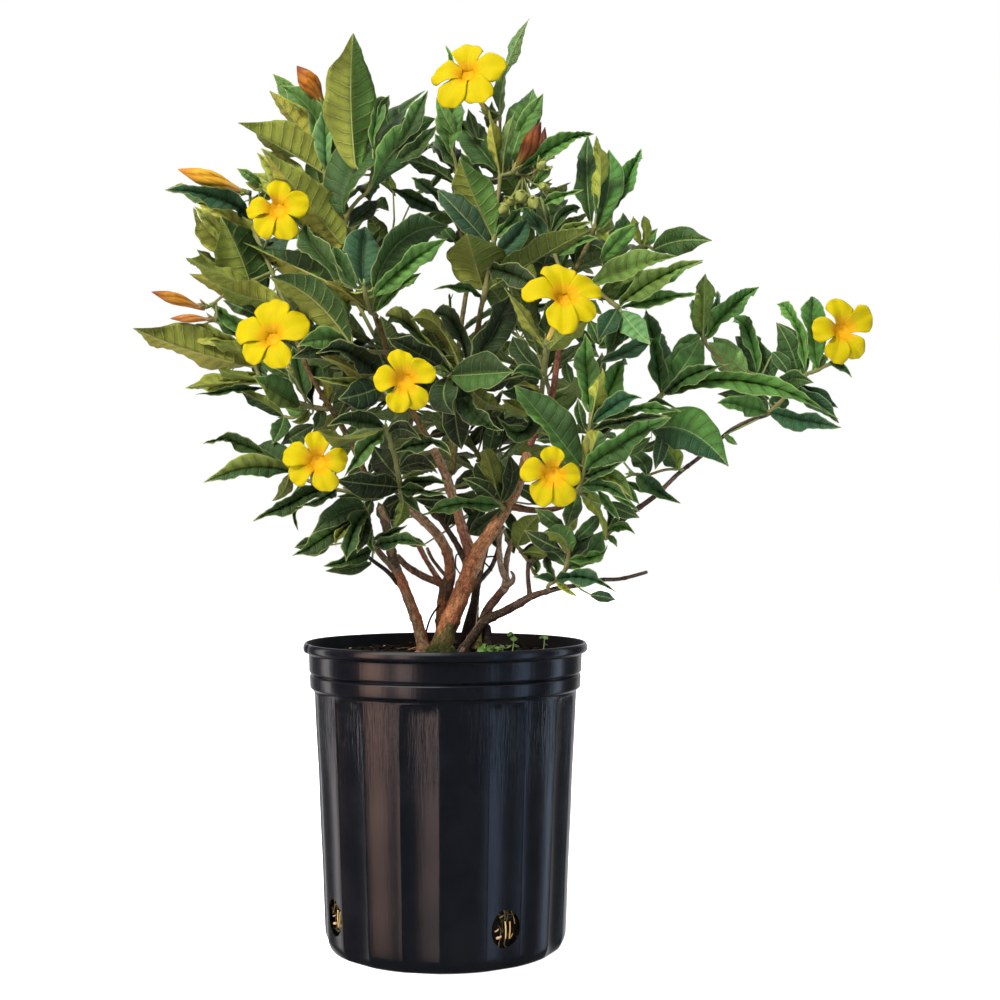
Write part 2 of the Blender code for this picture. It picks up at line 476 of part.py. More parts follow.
class Leaf:
    """One leaf: a petiole from the twig, then a folded blade."""

    def __init__(self, name, shoot, attach, base, mid, tip, wl, wr, side, tones, look=None):
        self.name, self.shoot, self.tones, self.side = name, shoot, tones, side
        self.attach, self.base, self.mid, self.tip = attach, base, mid, tip
        self.wl, self.wr, self.look = wl, wr, look
        self.ctrl = mid * 2.0 - (base + tip) * 0.5
        self.length = (mid - base).length + (tip - mid).length
        self.width = max(wl, wr, min(0.165 * self.length, 1.9 * max(wl, wr)))
        al = math.acos(min(1.0, wl / self.width))
        ar = math.acos(min(1.0, wr / self.width))
        sl = sr = 1.0
        if al >= ar and (al - ar) * 0.5 > 0.2:
            sr = -1.0
        elif ar > al and (ar - al) * 0.5 > 0.2:
            sl = -1.0
        self.al, self.ar = al * sl, ar * sr

    def centre(self, t):
        return self.base * (1 - t) ** 2 + self.ctrl * (2 * t * (1 - t)) + self.tip * t ** 2

    def frame(self, t):
        tangent = ((self.ctrl - self.base) * (1 - t) + (self.tip - self.ctrl) * t).normalized()
        look = self.look if self.look is not None else (self.centre(t) - EYE).normalized()
        right = look.cross(tangent)
        if right.length < 0.05:
            right = Vector((1, 0, 0)).cross(tangent)
        right.normalize()
        away = tangent.cross(right).normalized()
        return tangent, right, away

    def halves(self, t):
        """Half blade vectors of full width at t: left, right, fold normal."""
        tangent, right, away = self.frame(t)
        s = -1.0 if self.side == "T" else 1.0
        left = -right * math.cos(self.al) + away * (s * math.sin(self.al))
        rgt = right * math.cos(self.ar) + away * (s * math.sin(self.ar))
        return left, rgt, tangent, away


def profile(t):
    """Half width along a leaf blade, 1 at its widest: long oval with a drawn-out tip."""
    if t <= 0.0 or t >= 1.0:
        return 0.0
    body = math.sin(math.pi * t ** 0.92) ** 0.85
    taper = 1.0 if t < 0.72 else 1.0 - 0.45 * ((t - 0.72) / 0.28) ** 0.8
    return body * taper


def leaf_mesh(leaf, rings, margin=0.0, thick=LEAF_THICK, blade_only=False):
    """Vertices and faces of the coarse leaf solid, from a four-sided round bar."""
    verts, faces = [], []
    stations = []
    gap = (leaf.base - leaf.attach).length
    if not blade_only and gap > 0.004:
        stations.append(("p", 0.72))
    stations += [("b", t) for t in rings]
    start = leaf.attach if not blade_only else leaf.centre(0.12)
    verts.append(start)
    for kind, t in stations:
        if kind == "p":
            c = leaf.attach.lerp(leaf.base, t)
            axis = (leaf.base - leaf.attach).normalized()
            _, right, away = leaf.frame(0.0)
            right = (right - axis * right.dot(axis)).normalized()
            away = axis.cross(right).normalized()
            r = 0.0011 + margin
            quad = [c + right * r, c + away * r, c - right * r, c - away * r]
        else:
            lft, rgt, tangent, away = leaf.halves(t)
            w = leaf.width * profile(t) + margin
            up = tangent.cross((rgt - lft).normalized())
            up.normalize()
            c = leaf.centre(t)
            h = (thick * 0.5 + margin * 0.5) * (1.0 if t > 0.15 else 1.3)
            quad = [c + rgt * w, c + up * h, c + lft * w, c - up * h]
        verts.extend(quad)
    verts.append(leaf.centre(1.0))
    n = len(stations)
    for k in range(4):
        a, b = 1 + k, 1 + (k + 1) % 4
        faces.append((0, b, a))
        for i in range(n - 1):
            o = 4 * i
            faces.append((a + o, b + o, b + o + 4, a + o + 4))
        o = 4 * (n - 1)
        faces.append((a + o, b + o, len(verts) - 1))
    return verts, faces


def tube_mesh(points, sides, extra=0.0, cap=0.0):
    """Closed tube through (position, radius) points."""
    verts, faces = [], []
    n = len(points)
    ref = Vector((0.31, -0.87, 0.11)).normalized()
    for i, (p, r) in enumerate(points):
        a = points[max(i - 1, 0)][0]
        b = points[min(i + 1, n - 1)][0]
        axis = (b - a).normalized()
        side = (ref - axis * ref.dot(axis)).normalized()
        ref = side
        up = axis.cross(side)
        if cap and i == 0:
            p = p - axis * cap
        if cap and i == n - 1:
            p = p + axis * cap
        for k in range(sides):
            ang = 2 * math.pi * k / sides
            verts.append(p + (side * math.cos(ang) + up * math.sin(ang)) * (r + extra))
    for i in range(n - 1):
        for k in range(sides):
            a, b = i * sides + k, i * sides + (k + 1) % sides
            faces.append((a, b, b + sides, a + sides))
    faces.append(tuple(reversed(range(sides))))
    faces.append(tuple(range((n - 1) * sides, n * sides)))
    return verts, faces


def bvh(verts, faces):
    return BVHTree.FromPolygons([tuple(v) for v in verts], faces, epsilon=0.0)


def bounds_of(verts):
    lo = Vector((min(v.x for v in verts), min(v.y for v in verts), min(v.z for v in verts)))
    hi = Vector((max(v.x for v in verts), max(v.y for v in verts), max(v.z for v in verts)))
    return lo, hi


class Crowd:
    """Everything already placed, for clash tests."""

    def __init__(self):
        self.items = []

    def add(self, owner, verts, faces):
        lo, hi = bounds_of(verts)
        self.items.append((owner, lo, hi, bvh(verts, faces)))

    def clash(self, verts, faces, skip=()):
        lo, hi = bounds_of(verts)
        tree = None
        for owner, a, b, other in self.items:
            if owner in skip:
                continue
            if a.x > hi.x or b.x < lo.x or a.y > hi.y or b.y < lo.y or a.z > hi.z or b.z < lo.z:
                continue
            if tree is None:
                tree = bvh(verts, faces)
            if tree.overlap(other):
                return owner
        return None


def nearest_on(runs, point, key=None):
    """Closest point of the twig runs; key measures in the picture plane."""
    best = None
    for run in runs:
        for i in range(len(run) - 1):
            a, b = run[i][0], run[i + 1][0]
            ab = b - a
            inset = min(0.45, 0.0022 / max(ab.length, 1e-6))
            low = inset if i == 0 else 0.0
            high = 1.0 - inset if i == len(run) - 2 else 1.0
            t = max(low, min(high, (point - a).dot(ab) / max(ab.length_squared, 1e-12)))
            q = a.lerp(b, t)
            d = (q - point).length if key is None else key(q, point)
            if best is None or d < best[0]:
                best = (d, q)
    return best[1]


def shake(point, name, size=0.0004):
    """A small fixed offset, so that no two petioles start at the same point."""
    rng = random.Random(name)
    return point + Vector((rng.uniform(-size, size), rng.uniform(-size, size),
                           rng.uniform(-size, size)))


def picture_distance(a, b):
    ua, va, _ = unplace(a)
    ub, vb, _ = unplace(b)
    return math.hypot(ua - ub, va - vb)


def trim_run(run, stems):
    """Cut back the start of a twig until it stands clear of the woody stems."""
    pts = spline(run, 8)
    for i, (p, r) in enumerate(pts):
        clear = True
        for stem in stems:
            for q in stem:
                if (q[0] - p).length < q[1] + r + TWIG_GAP:
                    clear = False
                    break
            if not clear:
                break
        if clear:
            return [pts[i]] + [q for j, q in enumerate(pts) if j > i + 3 and j % 8 == 0]
    return pts[-2:]


def inside(poly, u, v):
    hit = False
    for i in range(len(poly)):
        (x1, y1), (x2, y2) = poly[i], poly[i - 1]
        if (y1 > v) != (y2 > v) and u < (x2 - x1) * (v - y1) / (y2 - y1) + x1:
            hit = not hit
    return hit


def hidden_ok(points):
    for p in points:
        u, v, _ = unplace(p)
        if not inside(DENSE, u, v) or any(inside(g, u, v) for g in GAPS):
            return False
    return True


# flowers as rings round a bent axis
def flower_frame(spec):
    (cu, cv), depth, face, calyx, petals, shoot = spec
    centre = place(cu, cv, depth)
    face = Vector(face).normalized()
    foot = place(*calyx)
    return centre, face, foot, petals


def petal_point(centre, face, cu, cv, ang, length):
    """Where the sight line through a petal's end meets the flower's plane."""
    u = cu + length * math.cos(math.radians(ang))
    v = cv - length * math.sin(math.radians(ang))
    far = place(u, v, centre.y * 1000.0)
    ray = far - EYE
    k = (centre - EYE).dot(face) / ray.dot(face)
    p = EYE + ray * k
    reach = (p - centre).length
    limit = length * (centre.y - EYE.y) / FOCAL * 1.25
    if reach > limit:
        p = centre + (p - centre) * (limit / reach)
    return p


def tube_axis(centre, face, foot, t):
    c1 = centre - face * 0.018
    return centre * (1 - t) ** 2 + c1 * (2 * t * (1 - t)) + foot * t ** 2


def tube_way(centre, face, foot, t):
    c1 = centre - face * 0.018
    return ((c1 - centre) * (1 - t) + (foot - c1) * t).normalized()


def flower_mesh(spec):
    (cu, cv), depth, face, calyx, petals, shoot = spec
    centre, face, foot, petals = flower_frame(spec)
    foot = foot + (centre - foot).normalized() * 0.0016
    ends = []
    for ang, length in petals:
        p = petal_point(centre, face, cu, cv, ang, length)
        ends.append(p - centre)
    side = ends[0] - face * ends[0].dot(face)
    side.normalize()
    up = face.cross(side)

    def polar(vec):
        return math.atan2(vec.dot(up), vec.dot(side)), (vec - face * vec.dot(face)).length

    lobes = sorted(polar(e) for e in ends)
    cols = []
    n = len(lobes)
    for i, (a, r) in enumerate(lobes):
        b, rb = lobes[(i + 1) % n]
        if i == n - 1:
            b += 2 * math.pi
        step = (b - a)
        cols.append((a + 0.22 * step, r * 0.94))
        cols.append((a + 0.5 * step, 0.0135))
        cols.append((a + 0.78 * step, rb * 0.94))
    rings = []

    def plane_ring(scale, lift, fixed=None):
        ring = []
        for a, r in cols:
            q = (side * math.cos(a) + up * math.sin(a))
            rad = fixed if fixed is not None else max(r * scale, 0.0085)
            ring.append(centre + q * rad + face * lift)
        return ring

    def axis_ring(t, rad):
        c = tube_axis(centre, face, foot, t)
        w = tube_way(centre, face, foot, t)
        s = (side - w * side.dot(w)).normalized()
        q = s.cross(w) * -1.0
        if q.dot(up) < 0:
            q = -q
        return [c + (s * math.cos(a) + q * math.sin(a)) * rad for a, _ in cols]

    start = tube_axis(centre, face, foot, 0.42)
    rings.append(axis_ring(0.34, 0.0028))
    rings.append(axis_ring(0.10, 0.0062))
    rings.append(plane_ring(0.55, 0.0012))
    rings.append(plane_ring(1.0, -0.0010))
    rings.append(plane_ring(0.56, -0.0006))
    rings.append(axis_ring(0.14, 0.0080))
    rings.append(axis_ring(0.55, 0.0042))
    end = tube_axis(centre, face, foot, 1.0)
    verts = [start]
    faces = []
    m = len(cols)
    for ring in rings:
        verts.extend(ring)
    verts.append(end)
    for k in range(m):
        a, b = 1 + k, 1 + (k + 1) % m
        faces.append((0, a, b))
        for i in range(len(rings) - 1):
            o = i * m
            faces.append((a + o, a + o + m, b + o + m, b + o))
        o = (len(rings) - 1) * m
        faces.append((a + o, len(verts) - 1, b + o))
    return verts, faces


def bud_mesh(spec, sides=8):
    base, tip, width, shoot = spec
    a, b = place(*base), place(*tip)
    r = width * 0.5 * (a.y - EYE.y) / FOCAL
    pts = []
    for t, f in ((0.03, 0.22), (0.2, 0.42), (0.42, 0.86), (0.6, 1.0), (0.8, 0.62), (0.95, 0.18)):
        pts.append((a.lerp(b, t), r * f))
    return tube_mesh(pts, sides)


def stalk_points(foot, start, r=0.0014, sag=0.004):
    mid = foot.lerp(start, 0.5) - Vector((0, 0, sag))
    return [(start, r), (mid, r), (foot, r)]


def plan_plant():
    """Work out every twig, stalk and leaf, clear of one another."""
    crowd = Crowd()
    stem_runs, stem_points = {}, []
    for name, runs in STEMS.items():
        stem_runs[name] = [spline(run_points(r), 1) for r in runs]
        for r in runs:
            fine = spline(run_points(r), 8)
            stem_points.append(fine)
        for pts in stem_runs[name]:
            crowd.add(name, *tube_mesh(pts, 6, 0.0003))
    twigs = {}
    for name, runs in list(TWIGS.items()) + list(BACK_TWIGS.items()):
        kept = []
        for k, run in enumerate(runs):
            pts = run_points(run)
            kept.append(trim_run(pts, stem_points) if k == 0 else pts)
        twigs[name] = kept
        for pts in kept:
            crowd.add(name, *tube_mesh(pts, 5, 0.0003))
    flowers = {}
    for name, spec in FLOWERS.items():
        verts, faces = flower_mesh(spec)
        flowers[name] = (verts, faces)
        crowd.add(name, verts, faces)
    buds = {}
    for name, spec in BUDS.items():
        verts, faces = bud_mesh(spec)
        buds[name] = (verts, faces)
        crowd.add(name, verts, faces)
    # stalks with their calyx cones
    stalks = []
    for name, spec in FLOWERS.items():
        centre, face, foot, _ = flower_frame(spec)
        shoot = spec[5]
        start = shake(nearest_on(twigs[shoot], foot), name)
        way = tube_way(centre, face, foot, 1.0)
        low = foot + way * 0.0035
        pts = stalk_points(low, start)
        cup = [(low + way * 0.002, 0.0012), (low, 0.0024), (foot + way * 0.0006, 0.0028)]
        stalks.append((name, shoot, pts, cup))
    for name, spec in BUDS.items():
        a, b = place(*spec[0]), place(*spec[1])
        shoot = spec[3]
        way = (b - a).normalized()
        start = shake(nearest_on(twigs[shoot], a), name)
        low = a - way * 0.003
        pts = stalk_points(low, start, 0.0013, 0.001)
        cup = [(low - way * 0.002, 0.0012), (low, 0.0022), (a - way * 0.0006, 0.0026)]
        stalks.append((name, shoot, pts, cup))
    for name, shoot, pts, cup in stalks:
        crowd.add(shoot, *tube_mesh(pts, 4, 0.0002))
        crowd.add(shoot, *tube_mesh(cup, 5, 0.0002))

    leaves, dropped = [], []
    blades = Crowd()

    def try_leaf(leaf, small):
        rings = (0.05, 0.36, 0.70) if small else (0.05, 0.24, 0.5, 0.78)
        whole = leaf_mesh(leaf, rings, 0.0004, LEAF_THICK + 0.0005)
        hit = crowd.clash(*whole, skip=(leaf.shoot,))
        if hit:
            return None
        blade = leaf_mesh(leaf, rings[1:], 0.0004, LEAF_THICK + 0.0005, blade_only=True)
        if blades.clash(*blade):
            return None
        return rings, whole, blade

    def keep(leaf, got):
        rings, whole, blade = got
        crowd.add(leaf.shoot, *whole)
        blades.add(leaf.name, *blade)
        leaf.rings = rings
        leaves.append(leaf)

    for row in LEAVES.strip().splitlines():
        f = row.split()
        name, shoot = f[0], f[1]
        bu, bv, mu, mv, tu, tv, wl, wr = (float(x) for x in f[2:10])
        side, tones = f[10], f[11]
        runs = twigs[shoot]
        probe = place(bu, bv, unplace(runs[0][-1][0])[2])
        near = nearest_on(runs, probe, picture_distance)
        y0 = unplace(near)[2]
        lp = math.hypot(mu - bu, mv - bv) + math.hypot(tu - mu, tv - mv)
        lp *= (1385.0 + y0) / FOCAL
        want = min(max(lp * 1.06, 78.0), lp * 1.32)
        dz = math.sqrt(max(want * want - lp * lp, (0.22 * lp) ** 2))
        rise = (bv - tv) / max(1.0, math.hypot(tu - bu, tv - bv))
        if side == "U":
            sign = -1.0 if rise > -0.2 else 1.0
        else:
            sign = 1.0 if rise > 0.55 else -1.0
        if len(f) > 12:
            dz, sign = abs(float(f[12])), math.copysign(1.0, float(f[12]))
        bulge = (-0.07 if side == "T" else 0.07) * lp
        done = False
        for db in (0.0, -5.0, 5.0, -10.0, 10.0):
            for step in (0.0, 10.0, -10.0, 20.0, -20.0, 32.0, -32.0, 45.0, -45.0, 60.0, -60.0):
                yb = y0 + db
                yt = y0 + db + dz * sign + step
                ym = y0 + db + dz * sign * 0.45 + step * 0.55 + bulge
                base, mid, tip = place(bu, bv, yb), place(mu, mv, ym), place(tu, tv, yt)
                k = (1385.0 + ym) / FOCAL / 1000.0
                attach = shake(nearest_on(runs, base), name)
                leaf = Leaf(name, shoot, attach, base, mid, tip, wl * k, wr * k, side, tones)
                got = try_leaf(leaf, leaf.length < 0.055)
                if got:
                    keep(leaf, got)
                    done = True
                    break
            if done:
                break
        if not done:
            dropped.append(name)
    # leaves behind: whorls of three or four along the back twigs
    rng = random.Random(41)
    serial = 0
    hub = Vector((-0.01, 0.0, 0.45))
    jobs = [(n, r, True) for n, rr in BACK_TWIGS.items() for r in rr]
    for shoot, run, _ in jobs:
        pts = spline(run_points(run), 6)
        travelled, last = 0.0, pts[0][0]
        gap, turn = 0.030, rng.uniform(0, 6.28)
        for i in range(1, len(pts)):
            travelled += (pts[i][0] - last).length
            last = pts[i][0]
            if travelled < gap:
                continue
            travelled = 0.0
            node = pts[i][0]
            axis = (pts[min(i + 1, len(pts) - 1)][0] - pts[i - 1][0]).normalized()
            count = 4 if i < len(pts) - 3 else 5
            turn += 0.7
            for k in range(count):
                for attempt in range(9):
                    phi = turn + 2 * math.pi * k / count + rng.uniform(-0.4, 0.4)
                    ref = Vector((0, 0, 1)) if abs(axis.z) < 0.9 else Vector((1, 0, 0))
                    s = axis.cross(ref).normalized()
                    q = axis.cross(s)
                    radial = s * math.cos(phi) + q * math.sin(phi)
                    out = (node - hub)
                    out.z *= 0.3
                    out.normalize()
                    way = (radial + axis * rng.uniform(0.2, 0.7) + out * 0.35
                           + Vector((0, 0, 0.25))).normalized()
                    length = rng.uniform(0.070, 0.108) * (1.0 - 0.06 * attempt)
                    base = node + way * rng.uniform(0.004, 0.009)
                    mid = base + way * (0.5 * length)
                    droop = Vector((0, 0, -1)) * length * rng.uniform(0.10, 0.26)
                    tip = base + way * (0.96 * length) + droop
                    up = (Vector((0, 0, 1)) + axis * 0.5 - way * 0.2).normalized()
                    look = -(up - way * up.dot(way)).normalized()
                    half = length * rng.uniform(0.155, 0.185)
                    serial += 1
                    leaf = Leaf("Z%d" % serial, shoot, shake(node, serial), base, mid, tip, half * 0.93,
                                half * 0.93, "T", rng.choice("DDGGBHO"), look)
                    lft, rgt, _, _ = leaf.halves(0.5)
                    c = leaf.centre(0.5)
                    if not hidden_ok([base, mid, tip, c + lft * leaf.width, c + rgt * leaf.width]):
                        continue
                    got = try_leaf(leaf, True)
                    if got:
                        keep(leaf, got)
                        break
    return stem_runs, twigs, flowers, buds, stalks, leaves, dropped


# ------------------------------------------------------------ growing one body
GRID = 0.003        # rings on a twig stand on multiples of this


def at_length(pts, s):
    """Point, radius and direction at a distance along a run."""
    left = s
    for i in range(len(pts) - 1):
        seg = (pts[i + 1][0] - pts[i][0]).length
        if left <= seg or i == len(pts) - 2:
            t = max(0.0, min(1.0, left / max(seg, 1e-9)))
            return (pts[i][0].lerp(pts[i + 1][0], t),
                    pts[i][1] + (pts[i + 1][1] - pts[i][1]) * t,
                    (pts[i + 1][0] - pts[i][0]).normalized())
        left -= seg
    return pts[-1][0], pts[-1][1], (pts[-1][0] - pts[-2][0]).normalized()


def length_of(pts):
    return sum((pts[i + 1][0] - pts[i][0]).length for i in range(len(pts) - 1))


def length_at(pts, point):
    """Distance along the run of the place nearest to a point."""
    best, travelled = None, 0.0
    for i in range(len(pts) - 1):
        a, b = pts[i][0], pts[i + 1][0]
        ab = b - a
        t = max(0.0, min(1.0, (point - a).dot(ab) / max(ab.length_squared, 1e-12)))
        d = (a.lerp(b, t) - point).length
        if best is None or d < best[0]:
            best = (d, travelled + t * ab.length)
        travelled += ab.length
    return best


class Body:
    """A closed surface grown outwards from a tube, one opening at a time."""

    def __init__(self):
        self.verts, self.faces = [], []

    def ring(self, points):
        first = len(self.verts)
        self.verts.extend(points)
        return list(range(first, first + len(points)))

    def bridge(self, loop, ring, blade=False):
        """Walls from an opening of n corners to a ring of n corners."""
        n = len(ring)
        best = min(range(n), key=lambda k: sum(
            (self.verts[loop[i]] - self.verts[ring[(i + k) % n]]).length_squared
            for i in range(n)))
        order = [ring[(i + best) % n] for i in range(n)]
        for i in range(n):
            j = (i + 1) % n
            a, b, c, d = loop[i], loop[j], order[j], order[i]
            if not blade:
                self.faces.append((a, b, c, d))
            elif (i + best) % 2 == 0:
                # both skins of a blade fold along the same diagonal, margin to midrib
                self.faces += [(a, b, c), (a, c, d)]
            else:
                self.faces += [(a, b, d), (b, c, d)]
        return order

    def turn(self, loop, way, radius):
        """Bend an opening round towards a direction, in small steps and without twist."""
        a, b, c, d = (self.verts[i] for i in loop)
        out = (c - a).cross(d - b).normalized()
        centre = (a + b + c + d) / 4.0
        spokes = [self.verts[i] - centre for i in loop]
        size = sum(s.length for s in spokes) / 4.0
        angle = out.angle(way, 0.0)
        axis = out.cross(way)
        axis = axis.normalized() if axis.length > 1e-6 else out.orthogonal().normalized()
        steps = max(1, math.ceil(angle / 0.80))
        for k in range(1, steps + 1):
            share = k / steps
            lean = Quaternion(axis, angle * share)
            half = Quaternion(axis, angle * (share - 0.5 / steps))
            scale = radius / size if k > 1 or steps == 1 else 0.5 + 0.5 * radius / size
            centre = centre + (half @ out) * 0.0012
            ring = self.ring([centre + (lean @ s) * scale for s in spokes])
            for i in range(4):
                j = (i + 1) % 4
                self.faces.append((loop[i], loop[j], ring[j], ring[i]))
            loop = ring
        return loop

    def point(self, loop, tip):
        self.verts.append(tip)
        k = len(self.verts) - 1
        for i in range(len(loop)):
            self.faces.append((loop[i], loop[(i + 1) % len(loop)], k))

    def tube(self, pts, sides, wants, opening=None):
        """Grow a tube; wants are (distance, direction, payload). Returns (opening, payload)."""
        total = length_of(pts)
        cells_n = max(1, int(total / GRID))
        used, chosen = {}, []
        cuts = {0, cells_n}
        travelled = 0.0
        for i in range(1, len(pts) - 1):
            travelled += (pts[i][0] - pts[i - 1][0]).length
            cuts.add(max(0, min(cells_n, round(travelled / GRID))))

        def normal(cell, k):
            p, r, axis = at_length(pts, (cell + 0.5) * GRID)
            side, up = frames(axis)
            ang = 2 * math.pi * (k + 0.5) / sides
            return side * math.cos(ang) + up * math.sin(ang), p, r

        ref0 = Vector((0.31, -0.87, 0.11)).normalized()

        def frames(axis):
            side = (ref0 - axis * ref0.dot(axis)).normalized()
            return side, axis.cross(side)

        first_cell = 0 if opening is None else 1
        for s, way, payload in wants:
            want_cell = s / GRID - 0.5
            best = None
            for cell in range(first_cell, cells_n):
                if abs(cell - want_cell) > 7 and cells_n > 8:
                    continue
                for k in range(sides):
                    if (cell, k) in used:
                        continue
                    n, p, r = normal(cell, k)
                    cost = 0.16 * abs(cell - want_cell) + (1.0 - n.dot(way))
                    if best is None or cost < best[0]:
                        best = (cost, cell, k)
            if best is None:
                raise RuntimeError("no free face left on a twig")
            used[(best[1], best[2])] = payload
            chosen.append((best[1], best[2], payload))
            cuts.add(best[1])
            cuts.add(best[1] + 1)
        cuts = sorted(cuts)
        rings = []
        for c in cuts:
            s = c * GRID if c < cells_n else total
            p, r, axis = at_length(pts, s)
            _, _, before = at_length(pts, max(0.0, s - 1e-5))
            axis = (axis + before).normalized()
            side, up = frames(axis)
            rings.append(self.ring([p + (side * math.cos(2 * math.pi * k / sides)
                                         + up * math.sin(2 * math.pi * k / sides)) * r
                                    for k in range(sides)]))
        if opening is None:
            self.faces.append(tuple(reversed(rings[0])))
        else:
            first = self.verts[rings[1][0]] - self.verts[rings[0][0]]
            self.bridge(self.turn(opening, first.normalized(), pts[0][1]), rings[0])
        openings = {}
        for i in range(len(rings) - 1):
            for k in range(sides):
                a, b = rings[i][k], rings[i][(k + 1) % sides]
                c, d = rings[i + 1][(k + 1) % sides], rings[i + 1][k]
                if (cuts[i], k) in used and cuts[i + 1] == cuts[i] + 1:
                    openings[(cuts[i], k)] = [a, b, c, d]
                else:
                    self.faces.append((a, b, c, d))
        self.faces.append(tuple(rings[-1]))
        return [(openings[(cell, k)], payload) for cell, k, payload in chosen]

    def leaf(self, opening, leaf):
        centre = sum((self.verts[i] for i in opening), Vector()) / 4.0
        rings = [t for t in leaf.rings if t > 0.15]
        aim = leaf.base.lerp(leaf.centre(rings[0]), 0.5)
        loop = self.turn(opening, (aim - centre).normalized(), 0.0010)
        if (leaf.base - centre).length > 0.016:
            p = centre.lerp(leaf.base, 0.75)
            axis = (leaf.centre(0.12) - centre).normalized()
            _, right, away = leaf.frame(0.0)
            right = (right - axis * right.dot(axis)).normalized()
            away = axis.cross(right)
            r = 0.0010
            loop = self.bridge(loop, self.ring([p + right * r, p + away * r, p - right * r, p - away * r]))
        for t in rings:
            lft, rgt, tangent, away = leaf.halves(t)
            w = leaf.width * profile(t)
            up = tangent.cross((rgt - lft).normalized()).normalized()
            p, h = leaf.centre(t), LEAF_THICK * 0.5
            loop = self.bridge(loop, self.ring([p + rgt * w, p + up * h, p + lft * w, p - up * h]), True)
        self.point(loop, leaf.centre(1.0))

    def stalk(self, opening, pts, cup):
        seq = pts + cup
        centre = sum((self.verts[i] for i in opening), Vector()) / 4.0
        loop = self.turn(opening, (seq[1][0] - centre).normalized(), seq[1][1])
        for i in range(1, len(seq)):
            p, r = seq[i]
            j = min(i + 1, len(seq) - 1)
            axis = (seq[j][0] - seq[i - 1][0])
            if axis.length < 1e-6:
                continue
            axis.normalize()
            side = axis.orthogonal().normalized()
            up = axis.cross(side)
            loop = self.bridge(loop, self.ring([p + side * r, p + up * r, p - side * r, p - up * r]))
        self.faces.append(tuple(loop))


def grow_shoot(runs, leaves, stalks, thick_sides=5):
    """Twigs, petioles, leaves and flower stalks of one shoot as one closed body."""
    body = Body()
    wants = [[] for _ in runs]

    def assign(point, way, payload):
        best = None
        for k, pts in enumerate(runs):
            d, s = length_at(pts, point)
            if best is None or d < best[0] - 1e-6:
                best = (d, s, k)
        wants[best[2]].append((best[1], way, payload))

    # a branch hangs on the run that passes nearest to its first point
    hosts = {}
    for k in range(1, len(runs)):
        best = None
        for j in range(k):
            d, s = length_at(runs[j], runs[k][0][0])
            if best is None or d < best[0]:
                best = (d, s, j)
        way = (runs[k][1][0] - runs[k][0][0]).normalized()
        wants[best[2]].append((best[1], way, ("run", k)))
        hosts[k] = best[2]
    for name, owner, pts, cup in stalks:
        assign(pts[0][0], (pts[1][0] - pts[0][0]).normalized(), ("stalk", (pts, cup)))
    for leaf in leaves:
        way = (leaf.centre(0.15) - leaf.attach).normalized()
        assign(leaf.attach, way, ("leaf", leaf))

    def fill(k, opening):
        pts = runs[k]
        if opening is not None:
            # start the branch just outside the host's skin
            mid = sum((body.verts[i] for i in opening), Vector()) / 4.0
            a, b, c, d = (body.verts[i] for i in opening)
            out = (c - a).cross(d - b).normalized()
            way = (pts[1][0] - mid).normalized()
            lift = 0.0012 * max(1, math.ceil(out.angle(way, 0.0) / 0.80))
            pts = [(mid + (out + way).normalized() * (lift + 0.0016), pts[0][1])] + list(pts[1:])
        sides = thick_sides if opening is None else 4
        for hole, (kind, payload) in body.tube(pts, sides, wants[k], opening):
            if kind == "leaf":
                body.leaf(hole, payload)
            elif kind == "stalk":
                body.stalk(hole, *payload)
            else:
                fill(payload, hole)

    fill(0, None)
    return body.verts, body.faces


# ------------------------------------------------------------ Blender helpers
def material(name, colour, rough):
    mat = bpy.data.materials.new(name)
    mat.use_nodes = True
    bsdf = mat.node_tree.nodes["Principled BSDF"]
    bsdf.inputs["Base Color"].default_value = (*colour, 1.0)
    bsdf.inputs["Roughness"].default_value = rough
    mat.diffuse_color = (*colour, 1.0)
    return mat


def mesh_from(name, verts, faces):
    mesh = bpy.data.meshes.new(name)
    mesh.from_pydata([tuple(v) for v in verts], [], faces)
    bm = bmesh.new()
    bm.from_mesh(mesh)
    bmesh.ops.recalc_face_normals(bm, faces=bm.faces)
    if bm.calc_volume(signed=True) < 0:
        bmesh.ops.reverse_faces(bm, faces=bm.faces)
    bm.to_mesh(mesh)
    bm.free()
    return mesh


def add_object(name, mesh, mat, coll, smooth=True):
    obj = bpy.data.objects.new(name, mesh)
    mesh.materials.clear()
    mesh.materials.append(mat)
    coll.objects.link(obj)
    for poly in mesh.polygons:
        poly.use_smooth = smooth
    return obj


def volume_of(mesh):
    bm = bmesh.new()
    bm.from_mesh(mesh)
    got = bm.calc_volume(signed=True)
    bm.free()
    return got


def one_body(bm):
    """True when the surface is closed and all in one piece."""
    if any(len(e.link_faces) != 2 for e in bm.edges) or not bm.verts:
        return False
    bm.verts.ensure_lookup_table()
    seen, todo = {0}, [bm.verts[0]]
    while todo:
        v = todo.pop()
        for e in v.link_edges:
            w = e.other_vert(v)
            if w.index not in seen:
                seen.add(w.index)
                todo.append(w)
    return len(seen) == len(bm.verts)


